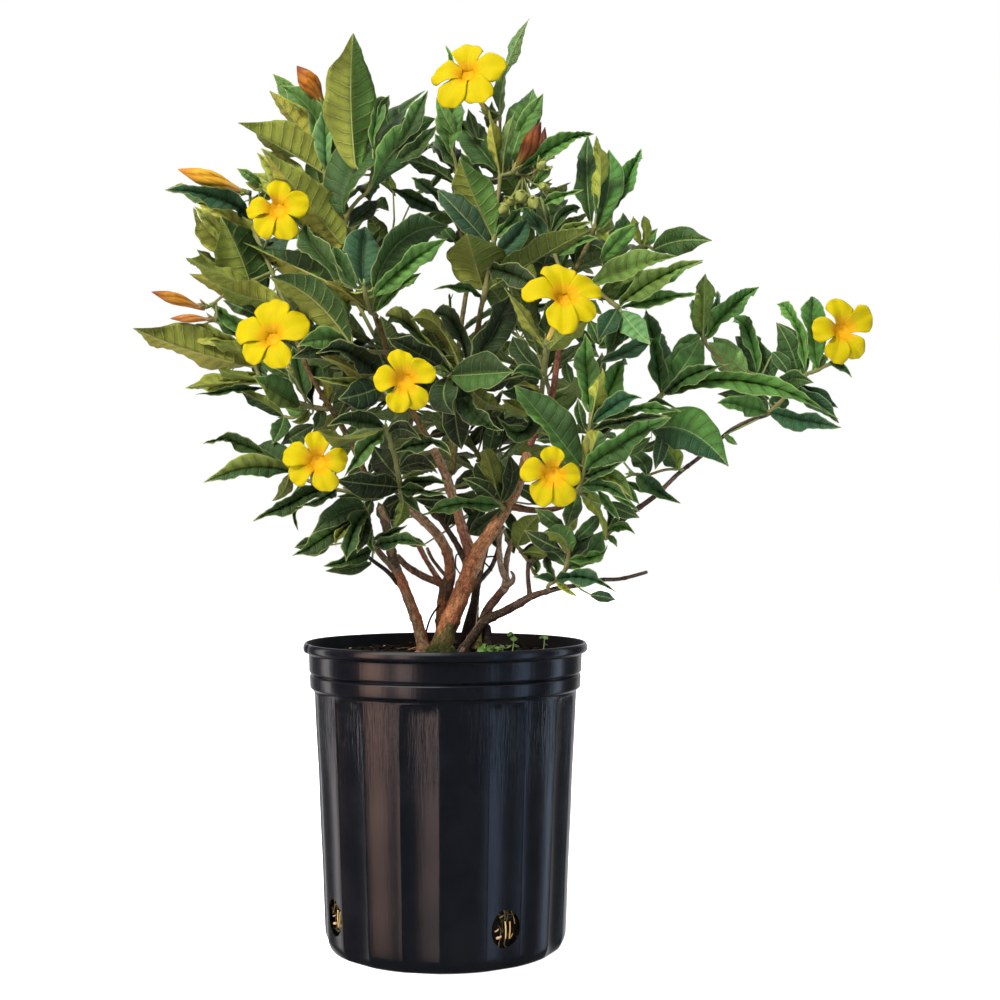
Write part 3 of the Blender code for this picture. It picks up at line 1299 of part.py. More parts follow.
def join_step(base, solid, k):
    """Boolean union of one more solid; None when the result is not one closed body."""
    tool_mesh = mesh_from("tool", *solid)
    tool = bpy.data.objects.new("tool%d" % k, tool_mesh)
    bpy.context.scene.collection.objects.link(tool)
    mod = base.modifiers.new("join", "BOOLEAN")
    mod.operation = "UNION"
    mod.solver = "EXACT"
    mod.object = tool
    before = volume_of(base.data)
    added = volume_of(tool_mesh)
    bpy.context.view_layer.update()
    deps = bpy.context.evaluated_depsgraph_get()
    new = bpy.data.meshes.new_from_object(base.evaluated_get(deps))
    base.modifiers.clear()
    bpy.data.objects.remove(tool, do_unlink=True)
    bm = bmesh.new()
    bm.from_mesh(new)
    bmesh.ops.remove_doubles(bm, verts=bm.verts, dist=1e-5)
    bmesh.ops.dissolve_degenerate(bm, edges=bm.edges, dist=1e-5)
    good = one_body(bm)
    total = bm.calc_volume(signed=True)
    bm.to_mesh(new)
    bm.free()
    if not good or total < before + 0.55 * added or total > before + 1.02 * added:
        return None
    return new


def union(name, solids, coll):
    """One body from several overlapping closed solids, joined one by one."""
    base = bpy.data.objects.new(name + "_work", mesh_from(name, *solids[0]))
    bpy.context.scene.collection.objects.link(base)
    left_out = 0
    for k, (verts, faces) in enumerate(solids[1:]):
        for attempt in range(8):
            rng = random.Random("%s %d %d" % (name, k, attempt))
            size = 0.0 if attempt == 0 else 0.00015 * attempt
            move = Vector([rng.uniform(-size, size) for _ in range(3)])
            new = join_step(base, ([v + move for v in verts], faces), k)
            if new is not None:
                base.data = new
                break
        else:
            left_out += 1
    if left_out:
        print(name, "solids left out of the union:", left_out)
    out = bpy.data.meshes.new(name)
    bm = bmesh.new()
    bm.from_mesh(base.data)
    bmesh.ops.dissolve_limit(bm, angle_limit=math.radians(0.5), verts=bm.verts, edges=bm.edges)
    bmesh.ops.recalc_face_normals(bm, faces=bm.faces)
    bm.to_mesh(out)
    bm.free()
    bpy.data.objects.remove(base, do_unlink=True)
    return out


# ------------------------------------------------------------ pot and soil
# outside: radius, height, how much of the flute depth shows there
POT_OUTER = [
    (POT_BASE_R, 0.0, 0.4), (0.1076, 0.0090, 1.0),
    (0.1136, 0.1476, 1.0), (0.1166, 0.2060, 1.0), (0.1173, 0.2250, 1.0), (0.1176, 0.2268, 0.0),
    (0.1184, 0.2296, 0.0), (0.1209, 0.2305, 0.0), (0.1212, 0.2415, 0.0),
    (0.1191, 0.2430, 0.0), (0.1218, 0.2446, 0.0), (0.1221, 0.2612, 0.0), (0.1261, 0.2626, 0.0),
    (POT_RIM_R, 0.2660, 0.0), (0.1254, POT_HEIGHT, 0.0), (0.1234, POT_HEIGHT, 0.0),
]
POT_INNER = [
    (0.1199, 0.2590, 0.0), (0.1196, 0.2450, 0.0), (0.1160, 0.2275, 0.0),
    (0.1146, 0.2060, 1.0), (0.1114, 0.1476, 1.0), (0.1070, 0.0240, 1.0),
    (0.1048, 0.0120, 1.0), (0.0990, 0.0024, 0.4),
]
# one flute: degrees from the middle of the flat panel, and how deep the hollow is there
PANEL = ((-9.75, 0.0), (0.0, 0.0), (9.75, 0.0), (13.6, 0.75), (18.0, 1.0), (22.4, 0.75))


def pot_columns():
    cols = []
    for k in range(FLUTES):
        for off, sunk in PANEL:
            cols.append((math.radians(-90.0 + FLUTE_START + 360.0 / FLUTES * k + off), sunk))
    return cols


def build_pot(mat, coll, tools):
    cols = pot_columns()
    verts, faces = [], []
    rings = POT_OUTER + POT_INNER
    for r, z, share in rings:
        for ang, sunk in cols:
            rr = r - FLUTE_DEPTH * sunk * share
            verts.append(Vector((rr * math.cos(ang), rr * math.sin(ang), z)))
    m = len(cols)
    for i in range(len(rings) - 1):
        for k in range(m):
            a, b = i * m + k, i * m + (k + 1) % m
            faces.append((a, b, b + m, a + m))
    faces.append(tuple(reversed(range(m))))
    faces.append(tuple(range((len(rings) - 1) * m, len(rings) * m)))
    pot = add_object("nursery_pot", mesh_from("nursery_pot", verts, faces), mat, coll)
    for k, deg in enumerate(HOLE_ANGLES):
        ang = math.radians(-90.0 + deg)
        bm = bmesh.new()
        bmesh.ops.create_cone(bm, cap_ends=True, segments=14, radius1=0.5, radius2=0.5, depth=0.024)
        turn = (Matrix.Translation((0.110 * math.cos(ang), 0.110 * math.sin(ang), HOLE_Z))
                @ Matrix.Rotation(ang, 4, "Z") @ Matrix.Rotation(math.pi / 2, 4, "Y")
                @ Matrix.Diagonal((HOLE_H, HOLE_W, 1.0, 1.0)))
        bmesh.ops.transform(bm, matrix=turn, verts=bm.verts)
        bmesh.ops.recalc_face_normals(bm, faces=bm.faces)
        mesh = bpy.data.meshes.new("drain_hole_%d" % (k + 1))
        bm.to_mesh(mesh)
        bm.free()
        cut = bpy.data.objects.new("drain_hole_%d" % (k + 1), mesh)
        tools.objects.link(cut)
        cut.hide_render = True
        cut.display_type = "WIRE"
        mod = pot.modifiers.new("drain hole %d" % (k + 1), "BOOLEAN")
        mod.operation = "DIFFERENCE"
        mod.solver = "EXACT"
        mod.object = cut
    return pot


def build_soil(mat, coll):
    """Soil block, 0.5 mm clear of the pot wall, gently heaped to the middle."""
    rings = [(0.0960, 0.0032), (0.1010, 0.0130), (0.1035, 0.0260), (0.1080, 0.1476),
             (0.1110, 0.2060), (0.1130, 0.2285), (0.1172, 0.2470), (0.1174, SOIL_EDGE),
             (0.1080, SOIL_EDGE + 0.0012), (0.0760, SOIL_TOP - 0.0008), (0.0560, SOIL_TOP)]
    m = 26
    verts, faces = [], []
    for i, (r, z) in enumerate(rings):
        for k in range(m):
            a = 2 * math.pi * k / m
            lump = 0.0
            if 7 < i < 10:
                lump = 0.0009 * math.sin(5 * a + i) + 0.0007 * math.sin(11 * a + 2 * i)
            verts.append(Vector((r * math.cos(a), r * math.sin(a), z + lump)))
    for i in range(len(rings) - 1):
        for k in range(m):
            a, b = i * m + k, i * m + (k + 1) % m
            faces.append((a, b, b + m, a + m))
    faces.append(tuple(reversed(range(m))))
    faces.append(tuple(range((len(rings) - 1) * m, len(rings) * m)))
    return add_object("potting_soil", mesh_from("potting_soil", verts, faces), mat, coll)


def build_moss(mat, coll):
    """Low cushion of moss in front of the crown, flat underneath."""
    bm = bmesh.new()
    bmesh.ops.create_uvsphere(bm, u_segments=14, v_segments=8, radius=1.0)
    c = place(441, 645, -38)
    for v in bm.verts:
        x, y, z = v.co
        lump = 1.0 + 0.10 * math.sin(7 * x + 3 * y) + 0.07 * math.cos(9 * y - 4 * x)
        v.co = Vector((c.x + x * 0.0145 * lump, c.y + y * 0.0072 * lump,
                       SOIL_TOP + 0.0004 + max(z, 0.0) * 0.0085 * lump))
    bmesh.ops.remove_doubles(bm, verts=bm.verts, dist=1e-5)
    bmesh.ops.dissolve_degenerate(bm, edges=bm.edges, dist=1e-5)
    # close the flattened underside with one disc
    low = [f for f in bm.faces if all(abs(v.co.z - SOIL_TOP - 0.0004) < 1e-7 for v in f.verts)]
    bmesh.ops.delete(bm, geom=low, context="FACES")
    loose = [v for v in bm.verts if not v.link_faces]
    bmesh.ops.delete(bm, geom=loose, context="VERTS")
    rim = [e for e in bm.edges if len(e.link_faces) == 1]
    bmesh.ops.contextual_create(bm, geom=rim)
    bmesh.ops.recalc_face_normals(bm, faces=bm.faces)
    mesh = bpy.data.meshes.new("moss_cushion")
    bm.to_mesh(mesh)
    bm.free()
    return add_object("moss_cushion", mesh, mat, coll)


def build_weeds(mat, coll):
    """Seedlings with round leaves on one creeping runner, one body."""
    feet, leaves = [], []
    for u, v, depth, height, leaf_r in WEEDS:
        foot = place(u, v, depth)
        foot.z = SOIL_TOP + 0.0014
        feet.append((foot, 0.0009))
        for k in range(3):
            a = 2.1 * k + 0.4
            way = Vector((math.cos(a), math.sin(a), 0.25)).normalized()
            look = -(Vector((0, 0, 1)) - way * way.z).normalized()
            top = foot + Vector((0, 0, height)) + way * 0.002
            leaf = Leaf("w", "weeds", foot, top, top + way * leaf_r,
                        top + way * (2 * leaf_r) - Vector((0, 0, 0.001)), leaf_r * 0.8,
                        leaf_r * 0.8, "T", "G", look)
            leaf.width = leaf_r * 0.8
            leaf.al = leaf.ar = 0.1
            leaf.rings = (0.22, 0.5, 0.8)
            leaves.append(leaf)
    ends = feet[0][0] - feet[-1][0]
    feet.append((feet[-1][0] - ends.normalized() * 0.006, 0.0007))
    body = grow_shoot([feet], leaves, [], 4)
    return add_object("weed_seedlings", mesh_from("weed_seedlings", *body), mat, coll)


# ------------------------------------------------------------ build
def main():
    for obj in list(bpy.data.objects):
        bpy.data.objects.remove(obj, do_unlink=True)
    scene = bpy.context.scene
    coll = bpy.data.collections.new("potted_allamanda")
    tools = bpy.data.collections.new("cutters")
    scene.collection.children.link(coll)
    scene.collection.children.link(tools)

    black = material("pot_black", (0.012, 0.012, 0.014), 0.38)
    earth = material("soil", (0.035, 0.024, 0.016), 0.95)
    moss = material("moss", (0.10, 0.15, 0.035), 0.95)
    weed = material("weed_green", (0.12, 0.26, 0.06), 0.7)
    bark = material("bark", (0.20, 0.085, 0.045), 0.8)
    green = material("leaf_green", (0.055, 0.14, 0.030), 0.45)
    petal = material("petal_yellow", (0.90, 0.66, 0.010), 0.55)
    bud_mat = material("bud_orange", (0.62, 0.25, 0.03), 0.5)

    build_pot(black, coll, tools)
    build_soil(earth, coll)
    build_moss(moss, coll)
    build_weeds(weed, coll)

    stem_runs, twigs, flowers, buds, stalks, leaves, dropped = plan_plant()

    for name, runs in stem_runs.items():
        solids = []
        for k, pts in enumerate(runs):
            if k == 0 and name in ("trunk_main", "stem_left_outer", "stem_second", "stem_back",
                                   "stem_right_twin", "stem_low_right"):
                # stand the foot flat, just above the soil
                pts = list(pts)
                p, r = pts[0]
                verts, faces = tube_mesh(pts, 7)
                for i in range(7):
                    verts[i].z = SOIL_TOP + 0.0004
                solids.append((verts, faces))
            else:
                solids.append(tube_mesh(pts, 6))
        mesh = union(name, solids, tools) if len(solids) > 1 else mesh_from(name, *solids[0])
        add_object(name, mesh, bark, coll)

    for name, (verts, faces) in flowers.items():
        add_object(name, mesh_from(name, verts, faces), petal, coll)
    for name, (verts, faces) in buds.items():
        add_object(name, mesh_from(name, verts, faces), bud_mat, coll)

    for shoot, runs in twigs.items():
        name = shoot if shoot.startswith("back") else "shoot_" + shoot
        body = grow_shoot(runs, [x for x in leaves if x.shoot == shoot],
                          [x for x in stalks if x[1] == shoot],
                          4 if shoot.startswith("back") else 5)
        add_object(name, mesh_from(name, *body), green, coll)

    print("leaves placed:", len(leaves), "dropped:", " ".join(dropped))


main()
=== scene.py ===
"""Looks for the potted allamanda: fine leaves, flowers, bark, pot and soil.

Metres, +Z up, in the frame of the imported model.  The plant table and the
functions that place every twig and leaf are the ones the solids were made
with, so each fine piece stands where its solid stands.
"""
import json
import math
import random

import bmesh
import bpy
import numpy as np
from mathutils import Matrix, Vector, noise
from mathutils.bvhtree import BVHTree

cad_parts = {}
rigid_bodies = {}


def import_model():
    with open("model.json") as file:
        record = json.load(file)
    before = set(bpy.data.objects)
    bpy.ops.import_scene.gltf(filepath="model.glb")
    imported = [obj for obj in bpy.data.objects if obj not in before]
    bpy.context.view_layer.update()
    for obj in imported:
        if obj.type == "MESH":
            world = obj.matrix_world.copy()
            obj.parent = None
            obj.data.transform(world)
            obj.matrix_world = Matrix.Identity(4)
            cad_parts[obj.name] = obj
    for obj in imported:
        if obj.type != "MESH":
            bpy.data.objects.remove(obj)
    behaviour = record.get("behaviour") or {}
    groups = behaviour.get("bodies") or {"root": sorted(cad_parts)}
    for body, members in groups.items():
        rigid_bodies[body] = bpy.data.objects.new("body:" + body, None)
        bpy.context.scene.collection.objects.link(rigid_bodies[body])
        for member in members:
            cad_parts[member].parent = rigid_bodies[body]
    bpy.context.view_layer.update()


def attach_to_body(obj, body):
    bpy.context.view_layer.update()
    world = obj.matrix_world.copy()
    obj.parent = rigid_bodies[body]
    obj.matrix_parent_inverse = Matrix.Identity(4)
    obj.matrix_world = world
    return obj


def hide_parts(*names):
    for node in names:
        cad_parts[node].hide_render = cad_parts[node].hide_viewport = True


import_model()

# ------------------------------------------------------------ dimensions
POT_RIM_R = 0.1271          # outside of the rolled lip
POT_HEIGHT = 0.2705
POT_WALL = 0.0018
POT_BASE_R = 0.103          # flat contact disc
FLUTE_DEPTH = 0.0025  # deepest point of a hollow
FLUTES = 10           # hollows round the body
FLUTE_START = 11.0    # middle of the first flat panel, degrees right of the front
HOLE_ANGLES = (30.0, 120.0, 210.0, 300.0)
HOLE_Z, HOLE_W, HOLE_H = 0.0355, 0.027, 0.032
SOIL_TOP = 0.262
SOIL_EDGE = 0.2575
LEAF_THICK = 0.0013
TWIG_GAP = 0.0006

EYE = Vector((0.0488, -1.385, 0.3705))
FOCAL = 1540.0
CENTRE_U, LEVEL_V = 500.0, 530.0


def place(u, v, depth_mm):
    y = depth_mm / 1000.0
    d = y - EYE.y
    return Vector((EYE.x + (u - CENTRE_U) * d / FOCAL, y,
                   EYE.z + (LEVEL_V - v) * d / FOCAL))


def unplace(p):
    d = p.y - EYE.y
    return (CENTRE_U + (p.x - EYE.x) * FOCAL / d,
            LEVEL_V - (p.z - EYE.z) * FOCAL / d, p.y * 1000.0)


# ------------------------------------------------------------ plant table
# woody stems: runs of (across, down, depth mm, radius mm)
STEMS = {
    "trunk_main": [
        [(442, 647, -16, 9.5), (446, 632, -17, 8.6), (455, 609, -17, 8.2), (463, 590, -16, 7.8),
         (470, 571, -16, 7.6), (475, 557, -16, 7.6)],
        [(472, 566, -16, 7.0), (480, 548, -17, 6.4), (490, 534, -18, 5.9), (500, 518, -20, 5.6),
         (509, 503, -22, 5.5), (517, 487, -22, 5.0), (523, 468, -21, 4.4), (527, 454, -19, 3.8)],
        [(474, 562, -16, 5.6), (468, 545, -15, 4.9), (462, 528, -15, 4.6), (457, 510, -16, 4.4),
         (452, 495, -17, 4.3), (446, 476, -19, 4.1), (439, 460, -22, 3.9), (434, 450, -25, 3.6)],
        [(510, 506, -22, 3.4), (530, 510, -28, 2.7), (548, 510, -32, 2.4), (562, 507, -36, 2.1)],
        [(468, 566, -14, 3.6), (456, 543, -2, 2.6), (445, 526, 6, 2.4), (437, 515, 12, 2.1)],
    ],
    "stem_left_outer": [
        [(424, 648, -20, 5.6), (417, 622, -22, 5.0), (409, 600, -23, 4.7), (401, 580, -24, 4.5),
         (395, 566, -25, 4.3), (390, 546, -26, 4.2), (386, 524, -28, 4.1), (380, 507, -30, 3.6)],
        [(397, 571, -25, 3.2), (384, 558, -29, 2.9), (376, 548, -33, 2.4)],
    ],
    "stem_second": [
        [(442, 643, 6, 6.0), (443, 612, 5, 6.2), (446, 590, 2, 6.2), (450, 574, -1, 5.0),
         (448, 555, -4, 4.5), (439, 537, -8, 4.4), (425, 522, -12, 4.0), (412, 511, -16, 3.8),
         (404, 504, -18, 3.6)],
        [(443, 584, 3, 3.6), (425, 577, 6, 3.2), (408, 567, 8, 3.0), (397, 556, 8, 2.6)],
        [(440, 582, 0, 2.6), (428, 563, -8, 2.3), (421, 550, -13, 2.5), (419, 545, -15, 2.6)],
        [(446, 576, 2, 1.8), (433, 560, 6, 1.5), (427, 548, 9, 1.4)],
    ],
    "stem_back": [
        [(474, 641, 24, 4.8), (474, 610, 24, 4.4), (477, 585, 23, 3.4), (481, 566, 22, 3.0),
         (486, 548, 20, 2.6), (490, 525, 18, 2.3), (490, 502, 16, 2.0)],
        [(478, 582, 23, 2.4), (490, 569, 25, 2.2), (496, 556, 27, 1.9), (500, 540, 30, 1.6)],
    ],
    "stem_right_twin": [
        [(479, 643, 4, 5.0), (486, 613, 2, 4.2), (498, 596, 0, 3.8), (507, 583, -2, 3.7),
         (501, 567, -4, 2.6), (499, 548, -5, 2.4), (500, 535, -6, 2.3), (503, 526, -7, 2.0)],
        [(506, 585, -2, 3.0), (506, 566, 2, 2.7), (509, 550, 6, 2.6), (516, 537, 9, 2.5),
         (530, 526, 12, 2.3), (545, 516, 15, 2.0)],
    ],
    "stem_low_right": [
        [(470, 641, -34, 4.2), (482, 624, -35, 4.2), (490, 618, -36, 4.0), (505, 611, -37, 3.7),
         (518, 604, -38, 3.6), (530, 597, -38, 3.2), (545, 592, -39, 2.5), (560, 588, -40, 2.2),
         (580, 585, -42, 1.9), (600, 580, -44, 1.8), (620, 579, -46, 1.6), (640, 574, -48, 1.6),
         (647, 572, -49, 1.4)],
        [(530, 597, -38, 2.2), (528, 578, -36, 1.9), (528, 563, -34, 1.7)],
    ],
    "stem_long_right": [
        [(514, 584, 14, 2.6), (530, 578, 18, 2.7), (552, 568, 19, 2.8), (580, 551, 18, 2.8),
         (604, 535, 16, 2.8), (627, 516, 14, 2.6), (655, 496, 12, 2.2), (678, 474, 10, 2.0),
         (701, 456, 8, 1.9), (726, 434, 6, 1.9), (738, 426, 5, 1.7), (751, 420, 4, 1.7),
         (765, 416, 3, 1.6)],
    ],
    "stem_upper_left": [
        [(431, 443, -28, 3.0), (420, 425, -34, 2.9), (404, 395, -42, 2.8), (391, 362, -50, 2.6),
         (382, 335, -56, 2.4), (372, 308, -58, 2.3), (360, 275, -52, 2.1), (346, 240, -42, 2.0),
         (333, 205, -34, 1.8), (327, 187, -31, 1.7)],
    ],
    "stem_upper_right": [
        [(530, 445, -16, 3.2), (541, 420, -24, 3.0), (552, 395, -34, 2.8), (559, 350, -42, 2.7),
         (566, 310, -40, 2.4), (576, 270, -30, 2.1), (590, 240, -22, 1.8)],
    ],
    "stem_upper_centre": [
        [(452, 474, -8, 2.8), (456, 440, -4, 2.8), (464, 400, -4, 2.7), (472, 365, -18, 2.5),
         (477, 335, -40, 2.4), (481, 308, -60, 2.3)],
    ],
    "stem_upper_back": [
        [(452, 452, 8, 2.6), (455, 400, 16, 2.5), (459, 345, 18, 2.3), (465, 300, 18, 2.2),
         (469, 275, 17, 2.1), (463, 240, 14, 1.9), (455, 220, 12, 1.8)],
    ],
    "stem_far_left": [
        [(377, 499, -32, 2.9), (368, 480, -40, 2.7), (352, 445, -46, 2.5), (335, 415, -50, 2.4),
         (322, 395, -50, 2.2), (308, 370, -50, 2.1), (297, 342, -52, 2.0)],
    ],
}

# leafy shoots: green twigs that carry the leaves, (across, down, depth mm, radius mm)
TWIGS = {
    "a1": [[(326, 183, -30.5, 1.8), (325, 172, -30, 1.6)]],
    "a2": [[(350, 236, -44, 1.6), (347, 216, -60, 1.7), (358, 200, -64, 1.6), (368, 190, -66, 1.6),
            (374, 165, -66, 1.2)]],
    "a3": [[(454, 216, 12, 1.7), (453, 205, 11, 1.7), (457, 175, 10, 1.5), (452, 150, 10, 1.2)]],
    "a4": [[(497, 208, -40, 1.6), (500, 178, -26, 1.9), (501, 158, -22, 1.5), (500, 118, -16, 1.3),
            (502, 98, -14, 1.0)],
           [(500, 176, -26, 1.4), (514, 173, -30, 1.4), (530, 178, -30, 1.3)]],
    "g": [[(591, 236, -21, 1.8), (595, 226, -20, 1.9), (597, 216, -20, 1.4)]],
    "b": [[(295, 336, -53, 1.9), (286, 308, -60, 2.0), (272, 272, -44, 1.8), (258, 240, -27, 1.7),
           (249, 217, -20, 1.6)],
          [(272, 272, -44, 1.4), (232, 290, -40, 1.2), (214, 303, -36, 1.2)]],
    "c": [[(327, 409, -55, 1.9), (308, 406, -48, 1.8), (285, 395, -38, 1.8), (265, 384, -32, 1.7),
           (256, 368, -30, 1.5), (254, 352, -30, 1.2)],
          [(308, 406, -48, 1.6), (295, 417, -38, 1.6), (284, 417, -28, 1.5)]],
    "d1": [[(377, 316, -62, 1.9), (371, 312, -88, 1.9), (366, 298, -105, 1.9), (364, 286, -112, 1.6)]],
    "d2": [[(386, 352, -60, 1.8), (375, 352, -85, 1.8), (361, 350, -105, 1.9), (351, 345, -118, 1.7)]],
    "e": [[(482, 304, -62, 2.2), (485, 291, -75, 2.4), (490, 262, -70, 2.0), (494, 240, -56, 2.1),
           (496, 222, -48, 1.8)]],
    "h2": [[(565, 300, -46, 1.7), (560, 270, -44, 1.7), (550, 240, -38, 1.6), (543, 204, -32, 1.2)]],
    "k": [[(573, 294, -46, 1.8), (582, 292, -56, 1.8), (592, 287, -62, 1.8), (606, 298, -64, 1.8),
           (619, 308, -66, 1.9)],
          [(592, 287, -62, 1.5), (618, 262, -52, 1.5), (641, 246, -44, 1.5), (655, 250, -42, 1.2)]],
    "l1": [[(735, 378, -18, 1.5), (722, 362, -20, 1.5), (708, 347, -20, 1.6), (704, 338, -20, 1.5)]],
    "l5": [[(606, 432, -84, 1.7), (625, 418, -66, 1.7), (645, 406, -54, 1.7), (662, 395, -50, 2.0)],
           [(645, 406, -54, 1.4), (648, 420, -48, 1.4), (652, 430, -46, 1.4)]],
    "r1": [[(768, 414, 2.5, 1.7), (786, 396, -1, 1.6), (804, 376, -4, 1.5), (816, 371, -5, 1.4),
            (829, 364, -6, 1.4)],
           [(786, 396, -1, 1.3), (772, 382, -6, 1.3), (750, 373, -11, 1.3)]],
    "r2": [[(655, 490, 7, 1.4), (650, 482, 0, 1.4), (646, 476, -6, 1.5), (632, 474, -14, 1.2)],
           [(646, 476, -6, 1.3), (664, 470, -8, 1.3), (678, 469, -6, 1.2)]],
    "r3": [[(606, 539, 8, 1.6), (607, 536, 4, 1.6), (608, 532, -2, 1.4)]],
    "m": [[(538, 430, -30, 1.9), (541, 400, -62, 2.2), (544, 370, -92, 2.2), (546, 350, -106, 2.1)]],
    "m5": [[(566, 505, -42, 1.9), (577, 495, -66, 1.9), (583, 480, -84, 2.0), (587, 455, -95, 1.7),
            (590, 428, -100, 1.7), (591, 412, -104, 1.4)]],
    "n": [[(470, 370, -28, 1.8), (468, 372, -60, 1.8), (459, 375, -85, 1.8), (449, 374, -104, 1.7)]],
    "o": [[(396, 384, -52, 1.7), (386, 380, -85, 1.7), (378, 385, -104, 1.6)]],
    "p": [[(403, 500, -22, 2.3), (400, 486, -50, 2.5), (397, 465, -76, 2.4), (391, 443, -98, 2.3),
           (386, 428, -108, 2.1)]],
    "q1": [[(369, 496, -40, 1.7), (350, 492, -52, 1.7), (325, 487, -60, 1.6), (300, 477, -64, 1.6),
            (290, 472, -64, 1.4)]],
    "q2": [[(374, 544, -35, 1.7), (370, 530, -42, 1.6), (368, 515, -46, 1.7), (364, 507, -50, 1.4)]],
    "v": [[(505, 509, -32, 1.9), (500, 504, -36, 2.0), (497, 498, -38, 1.5)]],
    "s": [[(548, 586, -42, 1.7), (556, 580, -46, 1.8), (566, 568, -52, 1.8), (569, 548, -56, 1.5),
           (571, 528, -58, 1.2)]],
    "u": [[(516, 545, 2, 1.6), (524, 555, -10, 1.5), (535, 574, -22, 1.3)]],
}

